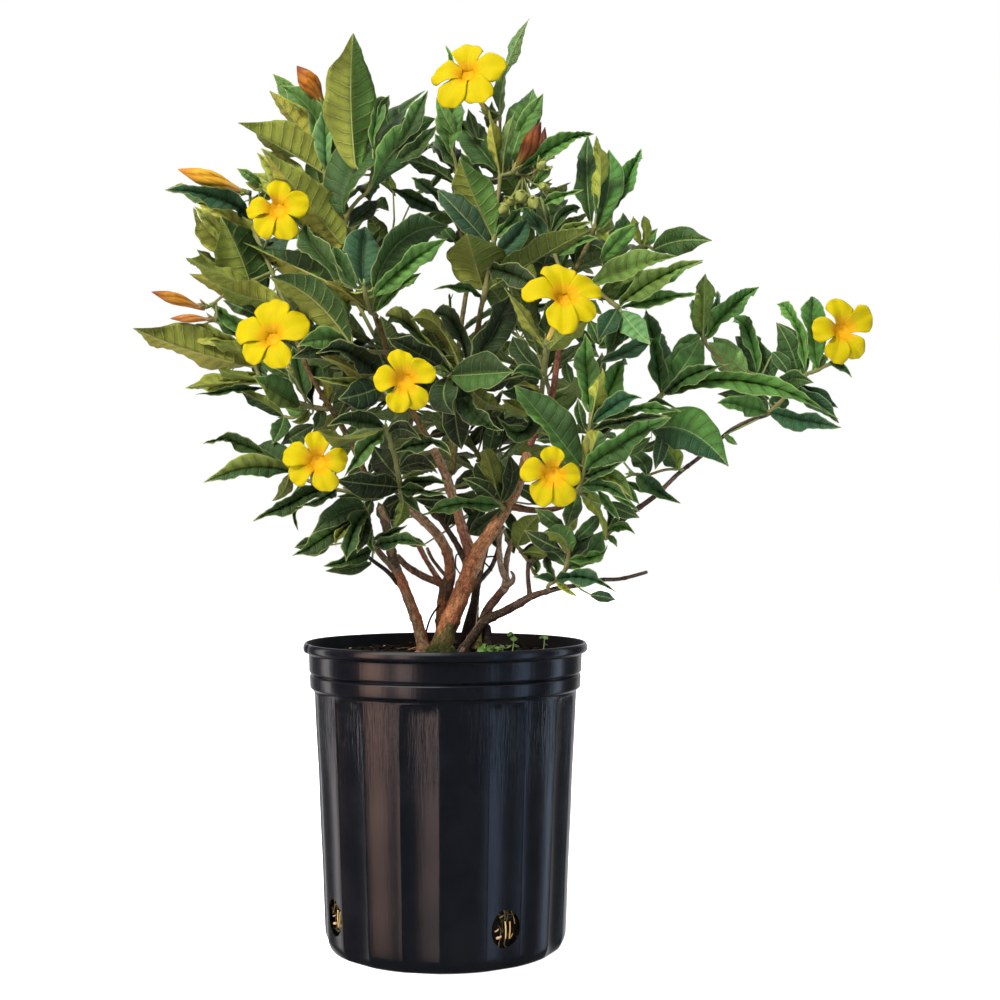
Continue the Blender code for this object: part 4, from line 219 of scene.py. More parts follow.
# leaves: name, shoot, base, middle and tip on the picture, seen half widths left
# and right of the midrib (travelling to the tip), side seen (T upper, U under),
# tones left and right (with painted light and shade on the two halves of the fold),
# then depth of the tip and of the base from the twig
LEAVES = """
A8 a2 344 216 362 160 427 89 26 10 T D
A1 a2 356 172 351 100 353.5 32 25 22 U HO
A5 a2 344 247 310 207 260 147 16 22 U YO
A9 a2 371 188 400 141 437 118 12 18 T G
A13 a2 373 150 377 115 390 97 6 6 T G
D10 a2 348 228 362 214 380 200 8 8 T K
A6 a1 328 176 327 135 334 91 11 7 T L
A7 a1 332 178 338 157 350 141 8 6 T B
A2 a1 325 162 310 108 272.5 72.5 9 14 T G
A3 a1 325 174 301 131 268 90 5 17 U Y
A4 a1 322 172 285 150 237 122.5 4 25 U O
A16 a3 451 155 450 122 460 98 12 12 T G
A14 a3 456 184 430 167 405 160 7 7 U D
A15 a3 458 170 447 152 434 133 6 7 T D
E1 a3 440 212 412 197 390 188 8 6 T D
E2 a3 447 208 430 190 410 177 5 5 T D
A19 a4 500 118 506 70 531 16 6 5 U DL
A17 a4 498 172 478 145 457 120 14 12 T D
A18 a4 500 176 495 145 489 110 5 6 U Y
A21 a4 508 168 522 125 534 86 16 13 T G
A22 a4 503 174 506 145 515.5 110 5 3 U L
A23 a4 516 174 560 139 597 124 9 5 T G
A24 a4 492 112 462 78 445 43 5 5 T G
G1 g 591 225 587 178 588 134 4 5 T D
G2 g 594 226 600 180 594 139 7 6 U Y
G3 g 597 228 609 187 608.5 147 7 9 T DG
G4 g 600 230 624 187 642.5 146 8 6 T G
K1a g 606 246 605 232 613 213 9 6 T Y
K1b g 612 250 622 234 623 212 9 8 T G
B4 b 256 308 243 262 220 215 26 22 U OD
B1 b 249 217 215 197 164 190 8 10 T B
B3 b 244 262 212 235 193 207 12 3 U Y
B6 b 264 300 228 288 188 273 9 8 U Y
B5 b 262 296 222 275 184 257 8 8 U O
B8 b 285 306 250 297 215 284 10 15 U OY
B7 b 250 285 222 268 196 249 6 6 U O
C4 c 256 368 195 352 132 328 9 24 U YO
C3 c 254 350 232 326 212 312 8 8 T G
C5 c 258 360 236 350 208 340 5 7 U O
C6 c 262 384 225 383 184 388 5 9 U O
C6b c 260 380 238 375 216 368 6 4 U O
C7 c 266 388 230 391 195 394.5 3 4 T D
C8 c 284 416 264 403 240 391 8 7 U DO
C9 c 300 406 275 391 254 377 10 15 T HG
C10 c 268 378 260 372 250 364 5 5 T B
C11 c 284 417 280 430 272 444 8 9 T D
O8 c 322 408 329 393 318 378 4 5 U Y
O6a c 306 404 300 375 293 345 8 8 T D
O6b c 313 405 312 385 318 362 8 8 T D
P1 c 318 409 320 420 313 431 6 7 T D
P2 c 309 410 302 420 291 421 4 4 T O
D1 d1 364 288 362 258 366 224 15 22 T B
B2 d1 352 293 285 253 196 205 9 14 U YD
D2 d1 360 292 344 268 333 245 8 8 T D
D3 d1 356 290 315 248 300 215 9 9 T D
D6 d1 368 310 350 296 322 280 6 6 U Y
D7 d1 373 313 375 299 385 287 18 8 U H
E4a d1 374 290 402 240 452 226 14 20 T D
E4b d1 374 296 405 265 448 238 8 12 T G
E7 d1 376 312 397 289 421 273 5 5 T G
D4 d2 351 345 312 299 268 277 14 18 U OD
D5 d2 352 335 339 310 320 288 10 12 T D
D8 d2 348 346 322 338 297 347 10 10 T G
D9 d2 346 350 318 351 292 358 9 9 T K
E5 e 484 291 475 262 466 232 24 28 U YH
H1 e 493 238 474 197 459 157 16 20 U OG
J1 e 487 290 540 257 598 226 17 4 U H
E3 e 490 246 460 213 437 190 10 14 T B
E6 e 482 297 458 288 433 290 3 5 T D
H3 e 496 234 496 212 500 190 7 7 T K
H4 e 492 258 513 240 528 218 10 10 T B
H5 e 495 238 508 225 523 207 6 5 T G
J2 e 490 268 516 276 546 292 9 10 T K
H7 h2 548 234 550 215 540 192 12 12 T D
H6 h2 549 243 536 224 522 206 7 7 T B
H8 h2 544 204 562 196 583 190 5 4 T G
H9 h2 550 236 564 214 581 208 5 5 T D
H10a h2 553 244 572 229 592 222 6 6 T H
H10b h2 557 256 577 242 598 238 5 6 T H
K4 k 590 286 632 269 678 256 16 5 T H
K5 k 620 306 654 281 704 260 11 8 T H
K6 k 621 308 660 299 700 294 7 5 T G
K2 k 653 250 678 241 711 240.5 13 13 T D
K3a k 641 246 636 232 633 215 4 4 U Y
K3b k 644 246 646 230 643 214 4 5 U Y
L26a k 617 309 608 325 598 341 9 11 T B
L26b k 621 311 634 328 650 344 12 11 T L
L26c k 616 312 616 336 606 357 8 10 T D
L1 l1 703 338 704 306 705.4 272 10 9 U Y
L1b l1 701 338 697 317 692 298 6 7 T D
L2 l1 706 340 727 312 759 287 10 8 T G
L3 l1 706 336 716 310 717 290 4 4 T B
L5 l5 664 394 683 366 706 336 17 15 T G
L14 l5 664 395 745 381 840 420 9 9 T G
L5b l5 664 394 693 374 730 364 6 8 T H
L4 l5 661 394 654 350 645 305 6 9 T D
L4b l5 662 392 660 360 657 325 6 8 T B
L18 l5 652 430 690 432 729 467 22 20 T GB
L20b l5 647 406 659 402 682 412 3 3 T D
L6 r1 748 373 728 358 708 342 13 12 U L
L8 r1 773 382 757 356 733 335 15 13 T D
L7 r1 757 374 749 336 733 317 6 8 T G
L10 r1 802 377 793 350 779 323 15 15 T D
L11 r1 818 371 813 325 813 293 9 12 T G
L9 r1 806 374 795 322 774.5 304 5 6 T G
L17 r1 780 388 794 379 814 383 8 10 T D
L12 r1 829 363 841 366 852 378 4 4 T B
L12b r1 812 372 820 362 829 356 5 4 T L
L16 r1 770 413 802 420 842 427.5 8 10 T B
L15a r1 768 413 740 404 717 403 9 10 T G
L15b r1 768 412 755 400 741 390 9 9 T B
L15c r1 771 411 779 402 789 392 9 9 T D
L22a r2 646 475 642 462 627 452 8 9 T D
L22b r2 677 469 672 455 657 437 11 10 T DO
L23 r2 638 475 654 488 680 503 7 8 T BD
L25 r3 608 532 622 527 635 534 5 4 T G
S15b r3 607 536 613 540 617 547 3 3 T G
S17a r3 606 532 610 516 602 500 3 3 T D
S17b r3 608 532 614 523 619 516 3 3 T D
M3 m 546 351 530 325 503 286 5 5 U Y
M4 m 547 352 566 334 592 318 10 10 U O
M8 m 541 408 520 432 497 416 8 8 T D
M9 m 540 412 522 410 500 398 6 8 U O
M11 m 542 392 528 388 516 385 4 5 U Y
M12 m 543 380 526 370 511 376 5 6 T L
M13a m 544 372 524 356 512 334 10 10 T K
M13b m 541 398 520 394 500 392 8 8 T K
M7 m5 580 466 548 425 514 385 9 22 T GD
M5 m5 590 414 587 375 585 333 10 10 T G
M6 m5 590 424 596 398 603 366 5 8 U Y
T2 m5 584 474 592 450 598 431 7 6 U L
T1 m5 583 477 576 455 578 436 8 8 U Y
T3 m5 586 470 624 441 672 417 11 12 T G
T4 m5 584 474 600 465 617 454 5 4 T G
T5 m5 584 477 604 469 625 461 4 6 T D
T6 m5 583 482 610 477 633 500 9 7 T HY
T7 m5 582 486 608 488 631 503 7 6 T D
T8 m5 581 490 594 501 599 525 5 5 U L
S6 m5 578 492 597 510 606 541 5 5 U Y
S14 m5 578 494 572 510 566 530 8 8 T D
L27 m5 592 424 611 388 625.5 354 9 8 T G
L28 m5 592 424 620 402 641 398 9 8 T B
L20 m5 592 420 638 410 682 412 6 4 T G
L20c m5 592 430 630 420 668 416 5 5 T K
T9 m5 589 440 604 428 613 413 6 5 T K
M2 n 451 376 485 374 513 372 20 15 T DG
N1 n 448 378 444 397 455 415 13 14 T D
N2 n 466 372 450 361 430 366 7 6 T O
N8 n 452 373 434 357 419 347 6 7 T B
N9 n 450 374 440 371 429 373 5 6 T L
N3 n 462 372 438 326 410 320 8 6 U O
N4 n 455 373 410 326 386 318 8 7 T DO
N5 n 452 373 415 352 388 338 12 12 T K
N6 n 468 366 455 325 432 314 9 9 T K
M1 n 470 370 494 332 513 290 12 15 T K
M10a n 462 376 485 402 512 408 9 9 U O
M10b n 456 377 476 416 502 430 9 9 T D
N11 n 452 377 456 422 462 450 12 12 T K
O1 o 382 386 362 394 338 399 14 14 T B
O2 o 376 387 348 367 319 356 5 5 U Y
O3 o 384 380 352 354 317 353 9 11 T K
O7 o 378 388 345 383 314 377 4 5 T O
N10 o 382 386 396 404 394 420 7 7 U L
P6 p 384 428 360 431 331 449 9 6 U L
P7 p 384 431 362 452 345 476 8 7 T G
P5 p 385 427 354 420 328 426 7 9 T D
P4 p 387 431 345 439 317 429 5 5 U O
P8 p 400 487 368 484 336 480 14 11 T K
P9 p 398 478 384 462 372 445 12 12 T K
P10 p 399 474 411 460 420 447 9 11 T D
P13 p 401 486 425 481 447 484 6 6 T D
P14 p 401 489 420 491 447 494 5 5 T D
P12 p 400 480 420 469 436 467 4 5 U O
P16 p 402 492 412 502 421 514 4 5 T D
P11 p 399 470 420 463 437 473 8 8 T K
P17 p 389 434 404 429 421 440 7 9 T K
U1 p 394 452 430 443 450 454 7 7 T D
R2 p 403 498 401 516 391 531 6 6 U Y
Q1 q1 290 472 250 468 203 483 8 12 T HO
Q3 q1 292 472 273 456 254 446 5 14 T D
Q2 q1 289 470 236 443 203 444 4 6 T D
Q5 q1 289 474 284 490 272 501 6 6 U O
Q6 q1 325 488 290 503 253 521.5 8 8 T O
Q7 q1 335 490 320 499 297 507 5 4 T L
Q8 q1 302 478 295 508 298 530 3 4 T D
P3 q1 300 476 300 450 292 433 6 6 T D
Q9a q2 365 507 340 513 312 534 11 12 T H
Q9b q2 364 509 325 537 292 556 9 9 T H
Q10 q2 366 512 342 532 336 546 4 4 T O
Q11 q2 366 510 352 535 346 562 8 8 T D
Q12 q2 367 514 362 535 357 553 8 7 T K
Q13 q2 368 520 369 538 375 554 4 5 T G
Q14 q2 373 548 348 560 324 566 7 7 T D
R1 q2 374 546 402 541 426 546 7 6 T D
R1b q2 372 540 394 532 407 525 4 4 T D
P15 v 503 507 460 504 423 516 6 7 T G
V1 v 501 504 489 482 474 461 10 15 T K
V2 v 500 505 484 489 462 478 8 8 T K
V4 v 498 500 491 468 483 447 8 9 U O
V5 v 500 500 502 480 499 458 6 6 T D
V10 v 502 502 512 478 508 452 8 7 T K
V8 v 503 508 484 524 466 535 8 9 T D
V13 v 500 506 478 501 452 492 8 8 T K
S5 s 566 568 588 552 604 529 11 11 T G
S3 s 568 556 562 537 543 532 9 11 U OG
S9 s 556 580 586 578 616 592 7 7 T B
S7 s 568 568 568 548 566 523 4 5 T B
S18 s 568 562 580 542 595 522 9 8 T K
S8 s 566 566 556 554 543 550 7 7 T B
S4 s 571 532 570 520 564 508 6 7 U O
S10 s 556 581 567 590 577 596 3 3 T O
S13 s 568 560 596 556 607 546 5 5 T G
S12 s 556 580 549 568 546 553 4 4 T K
S19 s 555 580 545 577 533 577 4 4 T B
S2 u 518 546 525 530 540 514 12 12 U O
S1 u 535 574 534 562 516 548 5 5 T G
S20 u 523 553 534 552 549 556 5 6 U O
"""

# flowers: centre on the picture, depth, way it faces, calyx point, petals as
# (degrees from the right, length on the picture), shoot that carries the stalk
FLOWERS = {
    "flower_1": ((468, 78), -34, (-0.25, -0.9, 0.36), (487, 114, -16), ((170, 37), (88, 36), (18, 39), (-62, 34), (-134, 37)), "a4"),
    "flower_2": ((276, 207), -78, (-0.1, -0.97, 0.2), (270, 232, -46), ((178, 30), (80, 28), (6, 33), (-72, 34), (-126, 33)), "b"),
    "flower_3": ((270, 335), -122, (-0.2, -0.9, 0.36), (292, 372, -96), ((165, 36), (82, 38), (20, 41), (-75, 33), (-138, 35)), "c"),
    "flower_4": ((404, 380), -160, (0.0, -1.0, 0.1), (408, 404, -128), ((172, 31), (96, 32), (24, 33), (-58, 33), (-108, 33)), "o"),
    "flower_5": ((316, 461), -118, (-0.1, -0.98, 0.1), (324, 478, -84), ((160, 34), (84, 30), (0, 31), (-68, 33), (-145, 32)), "q1"),
    "flower_6": ((565, 294), -160, (0.1, -0.85, 0.5), (547, 342, -118), ((166, 43), (104, 34), (16, 37), (-44, 36), (-100, 37)), "m"),
    "flower_7": ((552, 474), -128, (-0.05, -0.97, -0.05), (564, 492, -94), ((166, 32), (86, 28), (-4, 29), (-66, 35), (-122, 34)), "m5"),
    "flower_8": ((844, 329), -26, (0.1, -0.98, 0.1), (836, 350, 6), ((178, 31), (98, 32), (26, 33), (-60, 33), (-108, 34)), "r1"),
}

# closed buds: base, tip (across, down, depth), largest width on the picture, shoot
BUDS = {
    "bud_orange_top": ((324, 106, -22), (297, 66, -26), 21, "a1"),
    "bud_yellow_left": ((247, 192, -30), (178, 168, -52), 14, "b"),
    "bud_amber_upper": ((205, 306, -44), (151.5, 289, -60), 10, "b"),
    "bud_amber_lower": ((214, 320, -40), (170, 318.5, -56), 9, "b"),
    "bud_red_tall": ((514, 170, -40), (541, 122, -46), 17, "a4"),
    "bud_red_slim": ((534, 176, -28), (545, 127, -26), 11, "a4"),
}
GREEN_BUDS = ((504, 205, -50, 5.5), (524, 196, -44, 5.0), (536, 203, -38, 4.5), (544, 187, -32, 4.0))

# where the crown is thick enough to hide leaves behind it, and its open gaps
DENSE = [(222, 330), (206, 300), (220, 250), (212, 215), (252, 182), (252, 145), (288, 112),
         (345, 66), (372, 118), (420, 112), (452, 118), (500, 112), (536, 112), (556, 152),
         (590, 205), (632, 240), (682, 246), (660, 262), (612, 300), (602, 345), (602, 420),
         (648, 432), (636, 476), (606, 496), (592, 536), (566, 566), (544, 552), (515, 520),
         (480, 526), (440, 500), (402, 498), (368, 536), (332, 526), (302, 500), (284, 476),
         (288, 432), (258, 400), (232, 384)]
GAPS = [
    [(386, 306), (425, 286), (472, 268), (482, 290), (480, 328), (456, 338), (440, 314), (404, 322)],
    [(354, 308), (374, 308), (380, 332), (364, 346), (354, 340)],
    [(290, 392), (322, 396), (330, 414), (306, 434), (288, 432)],
    [(618, 350), (650, 346), (660, 386), (656, 402), (628, 396)],
    [(560, 404), (584, 408), (582, 428), (566, 424)],
]
# seedlings on the soil: across, down, depth mm, height m, leaf radius m
WEEDS = ((512, 645, -40, 0.017, 0.0036), (492, 645, -46, 0.010, 0.0032), (484, 645, -44, 0.008, 0.0034))
BACK_TWIGS = {
    "back_left": [
        [(404, 402, -26, 2.0), (388, 362, 20, 2.0), (362, 312, 62, 1.9), (338, 262, 92, 1.7), (322, 206, 100, 1.4)],
        [(362, 312, 62, 1.6), (388, 268, 108, 1.6), (400, 222, 128, 1.5), (404, 168, 120, 1.3)],
        [(388, 362, 20, 1.6), (342, 368, 72, 1.6), (302, 358, 92, 1.5), (266, 336, 92, 1.3)],
    ],
    "back_right": [
        [(552, 400, -22, 2.0), (538, 350, 42, 2.0), (532, 300, 82, 1.9), (534, 240, 110, 1.6), (524, 176, 108, 1.3)],
        [(532, 300, 82, 1.6), (574, 272, 108, 1.5), (610, 262, 108, 1.4), (640, 250, 92, 1.2)],
        [(538, 350, 42, 1.6), (500, 318, 98, 1.6), (474, 250, 138, 1.5), (470, 184, 130, 1.3)],
    ],
    "back_low": [
        [(489, 498, 22, 2.0), (480, 460, 62, 2.0), (456, 422, 102, 1.9), (420, 404, 130, 1.7), (372, 400, 140, 1.5), (330, 402, 122, 1.3)],
        [(480, 460, 62, 1.6), (520, 442, 110, 1.6), (560, 430, 120, 1.5), (592, 424, 100, 1.2)],
        [(456, 422, 102, 1.6), (452, 362, 160, 1.5), (450, 300, 172, 1.3)],
    ],
}


# ------------------------------------------------------------ plant geometry
def spline(points, steps=4):
    """Smooth run through the points (position and radius), Catmull-Rom."""
    out = []
    n = len(points)
    for i in range(n - 1):
        p0 = points[max(i - 1, 0)]
        p1, p2 = points[i], points[i + 1]
        p3 = points[min(i + 2, n - 1)]
        for k in range(steps):
            t = k / steps
            a, b, c, d = (-t ** 3 + 2 * t ** 2 - t, 3 * t ** 3 - 5 * t ** 2 + 2,
                          -3 * t ** 3 + 4 * t ** 2 + t, t ** 3 - t ** 2)
            out.append(((p0[0] * a + p1[0] * b + p2[0] * c + p3[0] * d) * 0.5,
                        p1[1] + (p2[1] - p1[1]) * t))
    out.append(points[-1])
    return out


def run_points(rows):
    return [(place(u, v, y), r / 1000.0) for u, v, y, r in rows]


class Leaf:
    """One leaf: a petiole from the twig, then a folded blade."""

    def __init__(self, name, shoot, attach, base, mid, tip, wl, wr, side, tones, look=None):
        self.name, self.shoot, self.tones, self.side = name, shoot, tones, side
        self.attach, self.base, self.mid, self.tip = attach, base, mid, tip
        self.wl, self.wr, self.look = wl, wr, look
        self.ctrl = mid * 2.0 - (base + tip) * 0.5
        self.length = (mid - base).length + (tip - mid).length
        self.width = max(wl, wr, min(0.165 * self.length, 1.9 * max(wl, wr)))
        al = math.acos(min(1.0, wl / self.width))
        ar = math.acos(min(1.0, wr / self.width))
        sl = sr = 1.0
        if al >= ar and (al - ar) * 0.5 > 0.2:
            sr = -1.0
        elif ar > al and (ar - al) * 0.5 > 0.2:
            sl = -1.0
        self.al, self.ar = al * sl, ar * sr

    def centre(self, t):
        return self.base * (1 - t) ** 2 + self.ctrl * (2 * t * (1 - t)) + self.tip * t ** 2

    def frame(self, t):
        tangent = ((self.ctrl - self.base) * (1 - t) + (self.tip - self.ctrl) * t).normalized()
        look = self.look if self.look is not None else (self.centre(t) - EYE).normalized()
        right = look.cross(tangent)
        if right.length < 0.05:
            right = Vector((1, 0, 0)).cross(tangent)
        right.normalize()
        away = tangent.cross(right).normalized()
        return tangent, right, away

    def halves(self, t):
        """Half blade vectors of full width at t: left, right, fold normal."""
        tangent, right, away = self.frame(t)
        s = -1.0 if self.side == "T" else 1.0
        left = -right * math.cos(self.al) + away * (s * math.sin(self.al))
        rgt = right * math.cos(self.ar) + away * (s * math.sin(self.ar))
        return left, rgt, tangent, away


def profile(t):
    """Half width along a leaf blade, 1 at its widest: long oval with a drawn-out tip."""
    if t <= 0.0 or t >= 1.0:
        return 0.0
    body = math.sin(math.pi * t ** 0.92) ** 0.85
    taper = 1.0 if t < 0.72 else 1.0 - 0.45 * ((t - 0.72) / 0.28) ** 0.8
    return body * taper


def leaf_mesh(leaf, rings, margin=0.0, thick=LEAF_THICK, blade_only=False):
    """Vertices and faces of the coarse leaf solid, from a four-sided round bar."""
    verts, faces = [], []
    stations = []
    gap = (leaf.base - leaf.attach).length
    if not blade_only and gap > 0.004:
        stations.append(("p", 0.72))
    stations += [("b", t) for t in rings]
    start = leaf.attach if not blade_only else leaf.centre(0.12)
    verts.append(start)
    for kind, t in stations:
        if kind == "p":
            c = leaf.attach.lerp(leaf.base, t)
            axis = (leaf.base - leaf.attach).normalized()
            _, right, away = leaf.frame(0.0)
            right = (right - axis * right.dot(axis)).normalized()
            away = axis.cross(right).normalized()
            r = 0.0011 + margin
            quad = [c + right * r, c + away * r, c - right * r, c - away * r]
        else:
            lft, rgt, tangent, away = leaf.halves(t)
            w = leaf.width * profile(t) + margin
            up = tangent.cross((rgt - lft).normalized())
            up.normalize()
            c = leaf.centre(t)
            h = (thick * 0.5 + margin * 0.5) * (1.0 if t > 0.15 else 1.3)
            quad = [c + rgt * w, c + up * h, c + lft * w, c - up * h]
        verts.extend(quad)
    verts.append(leaf.centre(1.0))
    n = len(stations)
    for k in range(4):
        a, b = 1 + k, 1 + (k + 1) % 4
        faces.append((0, b, a))
        for i in range(n - 1):
            o = 4 * i
            faces.append((a + o, b + o, b + o + 4, a + o + 4))
        o = 4 * (n - 1)
        faces.append((a + o, b + o, len(verts) - 1))
    return verts, faces


def tube_mesh(points, sides, extra=0.0, cap=0.0):
    """Closed tube through (position, radius) points."""
    verts, faces = [], []
    n = len(points)
    ref = Vector((0.31, -0.87, 0.11)).normalized()
    for i, (p, r) in enumerate(points):
        a = points[max(i - 1, 0)][0]
        b = points[min(i + 1, n - 1)][0]
        axis = (b - a).normalized()
        side = (ref - axis * ref.dot(axis)).normalized()
        ref = side
        up = axis.cross(side)
        if cap and i == 0:
            p = p - axis * cap
        if cap and i == n - 1:
            p = p + axis * cap
        for k in range(sides):
            ang = 2 * math.pi * k / sides
            verts.append(p + (side * math.cos(ang) + up * math.sin(ang)) * (r + extra))
    for i in range(n - 1):
        for k in range(sides):
            a, b = i * sides + k, i * sides + (k + 1) % sides
            faces.append((a, b, b + sides, a + sides))
    faces.append(tuple(reversed(range(sides))))
    faces.append(tuple(range((n - 1) * sides, n * sides)))
    return verts, faces


def bvh(verts, faces):
    return BVHTree.FromPolygons([tuple(v) for v in verts], faces, epsilon=0.0)


def bounds_of(verts):
    lo = Vector((min(v.x for v in verts), min(v.y for v in verts), min(v.z for v in verts)))
    hi = Vector((max(v.x for v in verts), max(v.y for v in verts), max(v.z for v in verts)))
    return lo, hi


class Crowd:
    """Everything already placed, for clash tests."""

    def __init__(self):
        self.items = []

    def add(self, owner, verts, faces):
        lo, hi = bounds_of(verts)
        self.items.append((owner, lo, hi, bvh(verts, faces)))

    def clash(self, verts, faces, skip=()):
        lo, hi = bounds_of(verts)
        tree = None
        for owner, a, b, other in self.items:
            if owner in skip:
                continue
            if a.x > hi.x or b.x < lo.x or a.y > hi.y or b.y < lo.y or a.z > hi.z or b.z < lo.z:
                continue
            if tree is None:
                tree = bvh(verts, faces)
            if tree.overlap(other):
                return owner
        return None


def nearest_on(runs, point, key=None):
    """Closest point of the twig runs; key measures in the picture plane."""
    best = None
    for run in runs:
        for i in range(len(run) - 1):
            a, b = run[i][0], run[i + 1][0]
            ab = b - a
            inset = min(0.45, 0.0022 / max(ab.length, 1e-6))
            low = inset if i == 0 else 0.0
            high = 1.0 - inset if i == len(run) - 2 else 1.0
            t = max(low, min(high, (point - a).dot(ab) / max(ab.length_squared, 1e-12)))
            q = a.lerp(b, t)
            d = (q - point).length if key is None else key(q, point)
            if best is None or d < best[0]:
                best = (d, q)
    return best[1]


def shake(point, name, size=0.0004):
    """A small fixed offset, so that no two petioles start at the same point."""
    rng = random.Random(name)
    return point + Vector((rng.uniform(-size, size), rng.uniform(-size, size),
                           rng.uniform(-size, size)))


def picture_distance(a, b):
    ua, va, _ = unplace(a)
    ub, vb, _ = unplace(b)
    return math.hypot(ua - ub, va - vb)


def trim_run(run, stems):
    """Cut back the start of a twig until it stands clear of the woody stems."""
    pts = spline(run, 8)
    for i, (p, r) in enumerate(pts):
        clear = True
        for stem in stems:
            for q in stem:
                if (q[0] - p).length < q[1] + r + TWIG_GAP:
                    clear = False
                    break
            if not clear:
                break
        if clear:
            return [pts[i]] + [q for j, q in enumerate(pts) if j > i + 3 and j % 8 == 0]
    return pts[-2:]


def inside(poly, u, v):
    hit = False
    for i in range(len(poly)):
        (x1, y1), (x2, y2) = poly[i], poly[i - 1]
        if (y1 > v) != (y2 > v) and u < (x2 - x1) * (v - y1) / (y2 - y1) + x1:
            hit = not hit
    return hit


def hidden_ok(points):
    for p in points:
        u, v, _ = unplace(p)
        if not inside(DENSE, u, v) or any(inside(g, u, v) for g in GAPS):
            return False
    return True


# flowers as rings round a bent axis
def flower_frame(spec):
    (cu, cv), depth, face, calyx, petals, shoot = spec
    centre = place(cu, cv, depth)
    face = Vector(face).normalized()
    foot = place(*calyx)
    return centre, face, foot, petals


def petal_point(centre, face, cu, cv, ang, length):
    """Where the sight line through a petal's end meets the flower's plane."""
    u = cu + length * math.cos(math.radians(ang))
    v = cv - length * math.sin(math.radians(ang))
    far = place(u, v, centre.y * 1000.0)
    ray = far - EYE
    k = (centre - EYE).dot(face) / ray.dot(face)
    p = EYE + ray * k
    reach = (p - centre).length
    limit = length * (centre.y - EYE.y) / FOCAL * 1.25
    if reach > limit:
        p = centre + (p - centre) * (limit / reach)
    return p


def tube_axis(centre, face, foot, t):
    c1 = centre - face * 0.018
    return centre * (1 - t) ** 2 + c1 * (2 * t * (1 - t)) + foot * t ** 2


def tube_way(centre, face, foot, t):
    c1 = centre - face * 0.018
    return ((c1 - centre) * (1 - t) + (foot - c1) * t).normalized()


def flower_mesh(spec):
    (cu, cv), depth, face, calyx, petals, shoot = spec
    centre, face, foot, petals = flower_frame(spec)
    foot = foot + (centre - foot).normalized() * 0.0016
    ends = []
    for ang, length in petals:
        p = petal_point(centre, face, cu, cv, ang, length)
        ends.append(p - centre)
    side = ends[0] - face * ends[0].dot(face)
    side.normalize()
    up = face.cross(side)

    def polar(vec):
        return math.atan2(vec.dot(up), vec.dot(side)), (vec - face * vec.dot(face)).length

    lobes = sorted(polar(e) for e in ends)
    cols = []
    n = len(lobes)
    for i, (a, r) in enumerate(lobes):
        b, rb = lobes[(i + 1) % n]
        if i == n - 1:
            b += 2 * math.pi
        step = (b - a)
        cols.append((a + 0.22 * step, r * 0.94))
        cols.append((a + 0.5 * step, 0.0135))
        cols.append((a + 0.78 * step, rb * 0.94))
    rings = []

    def plane_ring(scale, lift, fixed=None):
        ring = []
        for a, r in cols:
            q = (side * math.cos(a) + up * math.sin(a))
            rad = fixed if fixed is not None else max(r * scale, 0.0085)
            ring.append(centre + q * rad + face * lift)
        return ring

    def axis_ring(t, rad):
        c = tube_axis(centre, face, foot, t)
        w = tube_way(centre, face, foot, t)
        s = (side - w * side.dot(w)).normalized()
        q = s.cross(w) * -1.0
        if q.dot(up) < 0:
            q = -q
        return [c + (s * math.cos(a) + q * math.sin(a)) * rad for a, _ in cols]

    start = tube_axis(centre, face, foot, 0.42)
    rings.append(axis_ring(0.34, 0.0028))
    rings.append(axis_ring(0.10, 0.0062))
    rings.append(plane_ring(0.55, 0.0012))
    rings.append(plane_ring(1.0, -0.0010))
    rings.append(plane_ring(0.56, -0.0006))
    rings.append(axis_ring(0.14, 0.0080))
    rings.append(axis_ring(0.55, 0.0042))
    end = tube_axis(centre, face, foot, 1.0)
    verts = [start]
    faces = []
    m = len(cols)
    for ring in rings:
        verts.extend(ring)
    verts.append(end)
    for k in range(m):
        a, b = 1 + k, 1 + (k + 1) % m
        faces.append((0, a, b))
        for i in range(len(rings) - 1):
            o = i * m
            faces.append((a + o, a + o + m, b + o + m, b + o))
        o = (len(rings) - 1) * m
        faces.append((a + o, len(verts) - 1, b + o))
    return verts, faces


def bud_mesh(spec, sides=8):
    base, tip, width, shoot = spec
    a, b = place(*base), place(*tip)
    r = width * 0.5 * (a.y - EYE.y) / FOCAL
    pts = []
    for t, f in ((0.03, 0.22), (0.2, 0.42), (0.42, 0.86), (0.6, 1.0), (0.8, 0.62), (0.95, 0.18)):
        pts.append((a.lerp(b, t), r * f))
    return tube_mesh(pts, sides)


def stalk_points(foot, start, r=0.0014, sag=0.004):
    mid = foot.lerp(start, 0.5) - Vector((0, 0, sag))
    return [(start, r), (mid, r), (foot, r)]


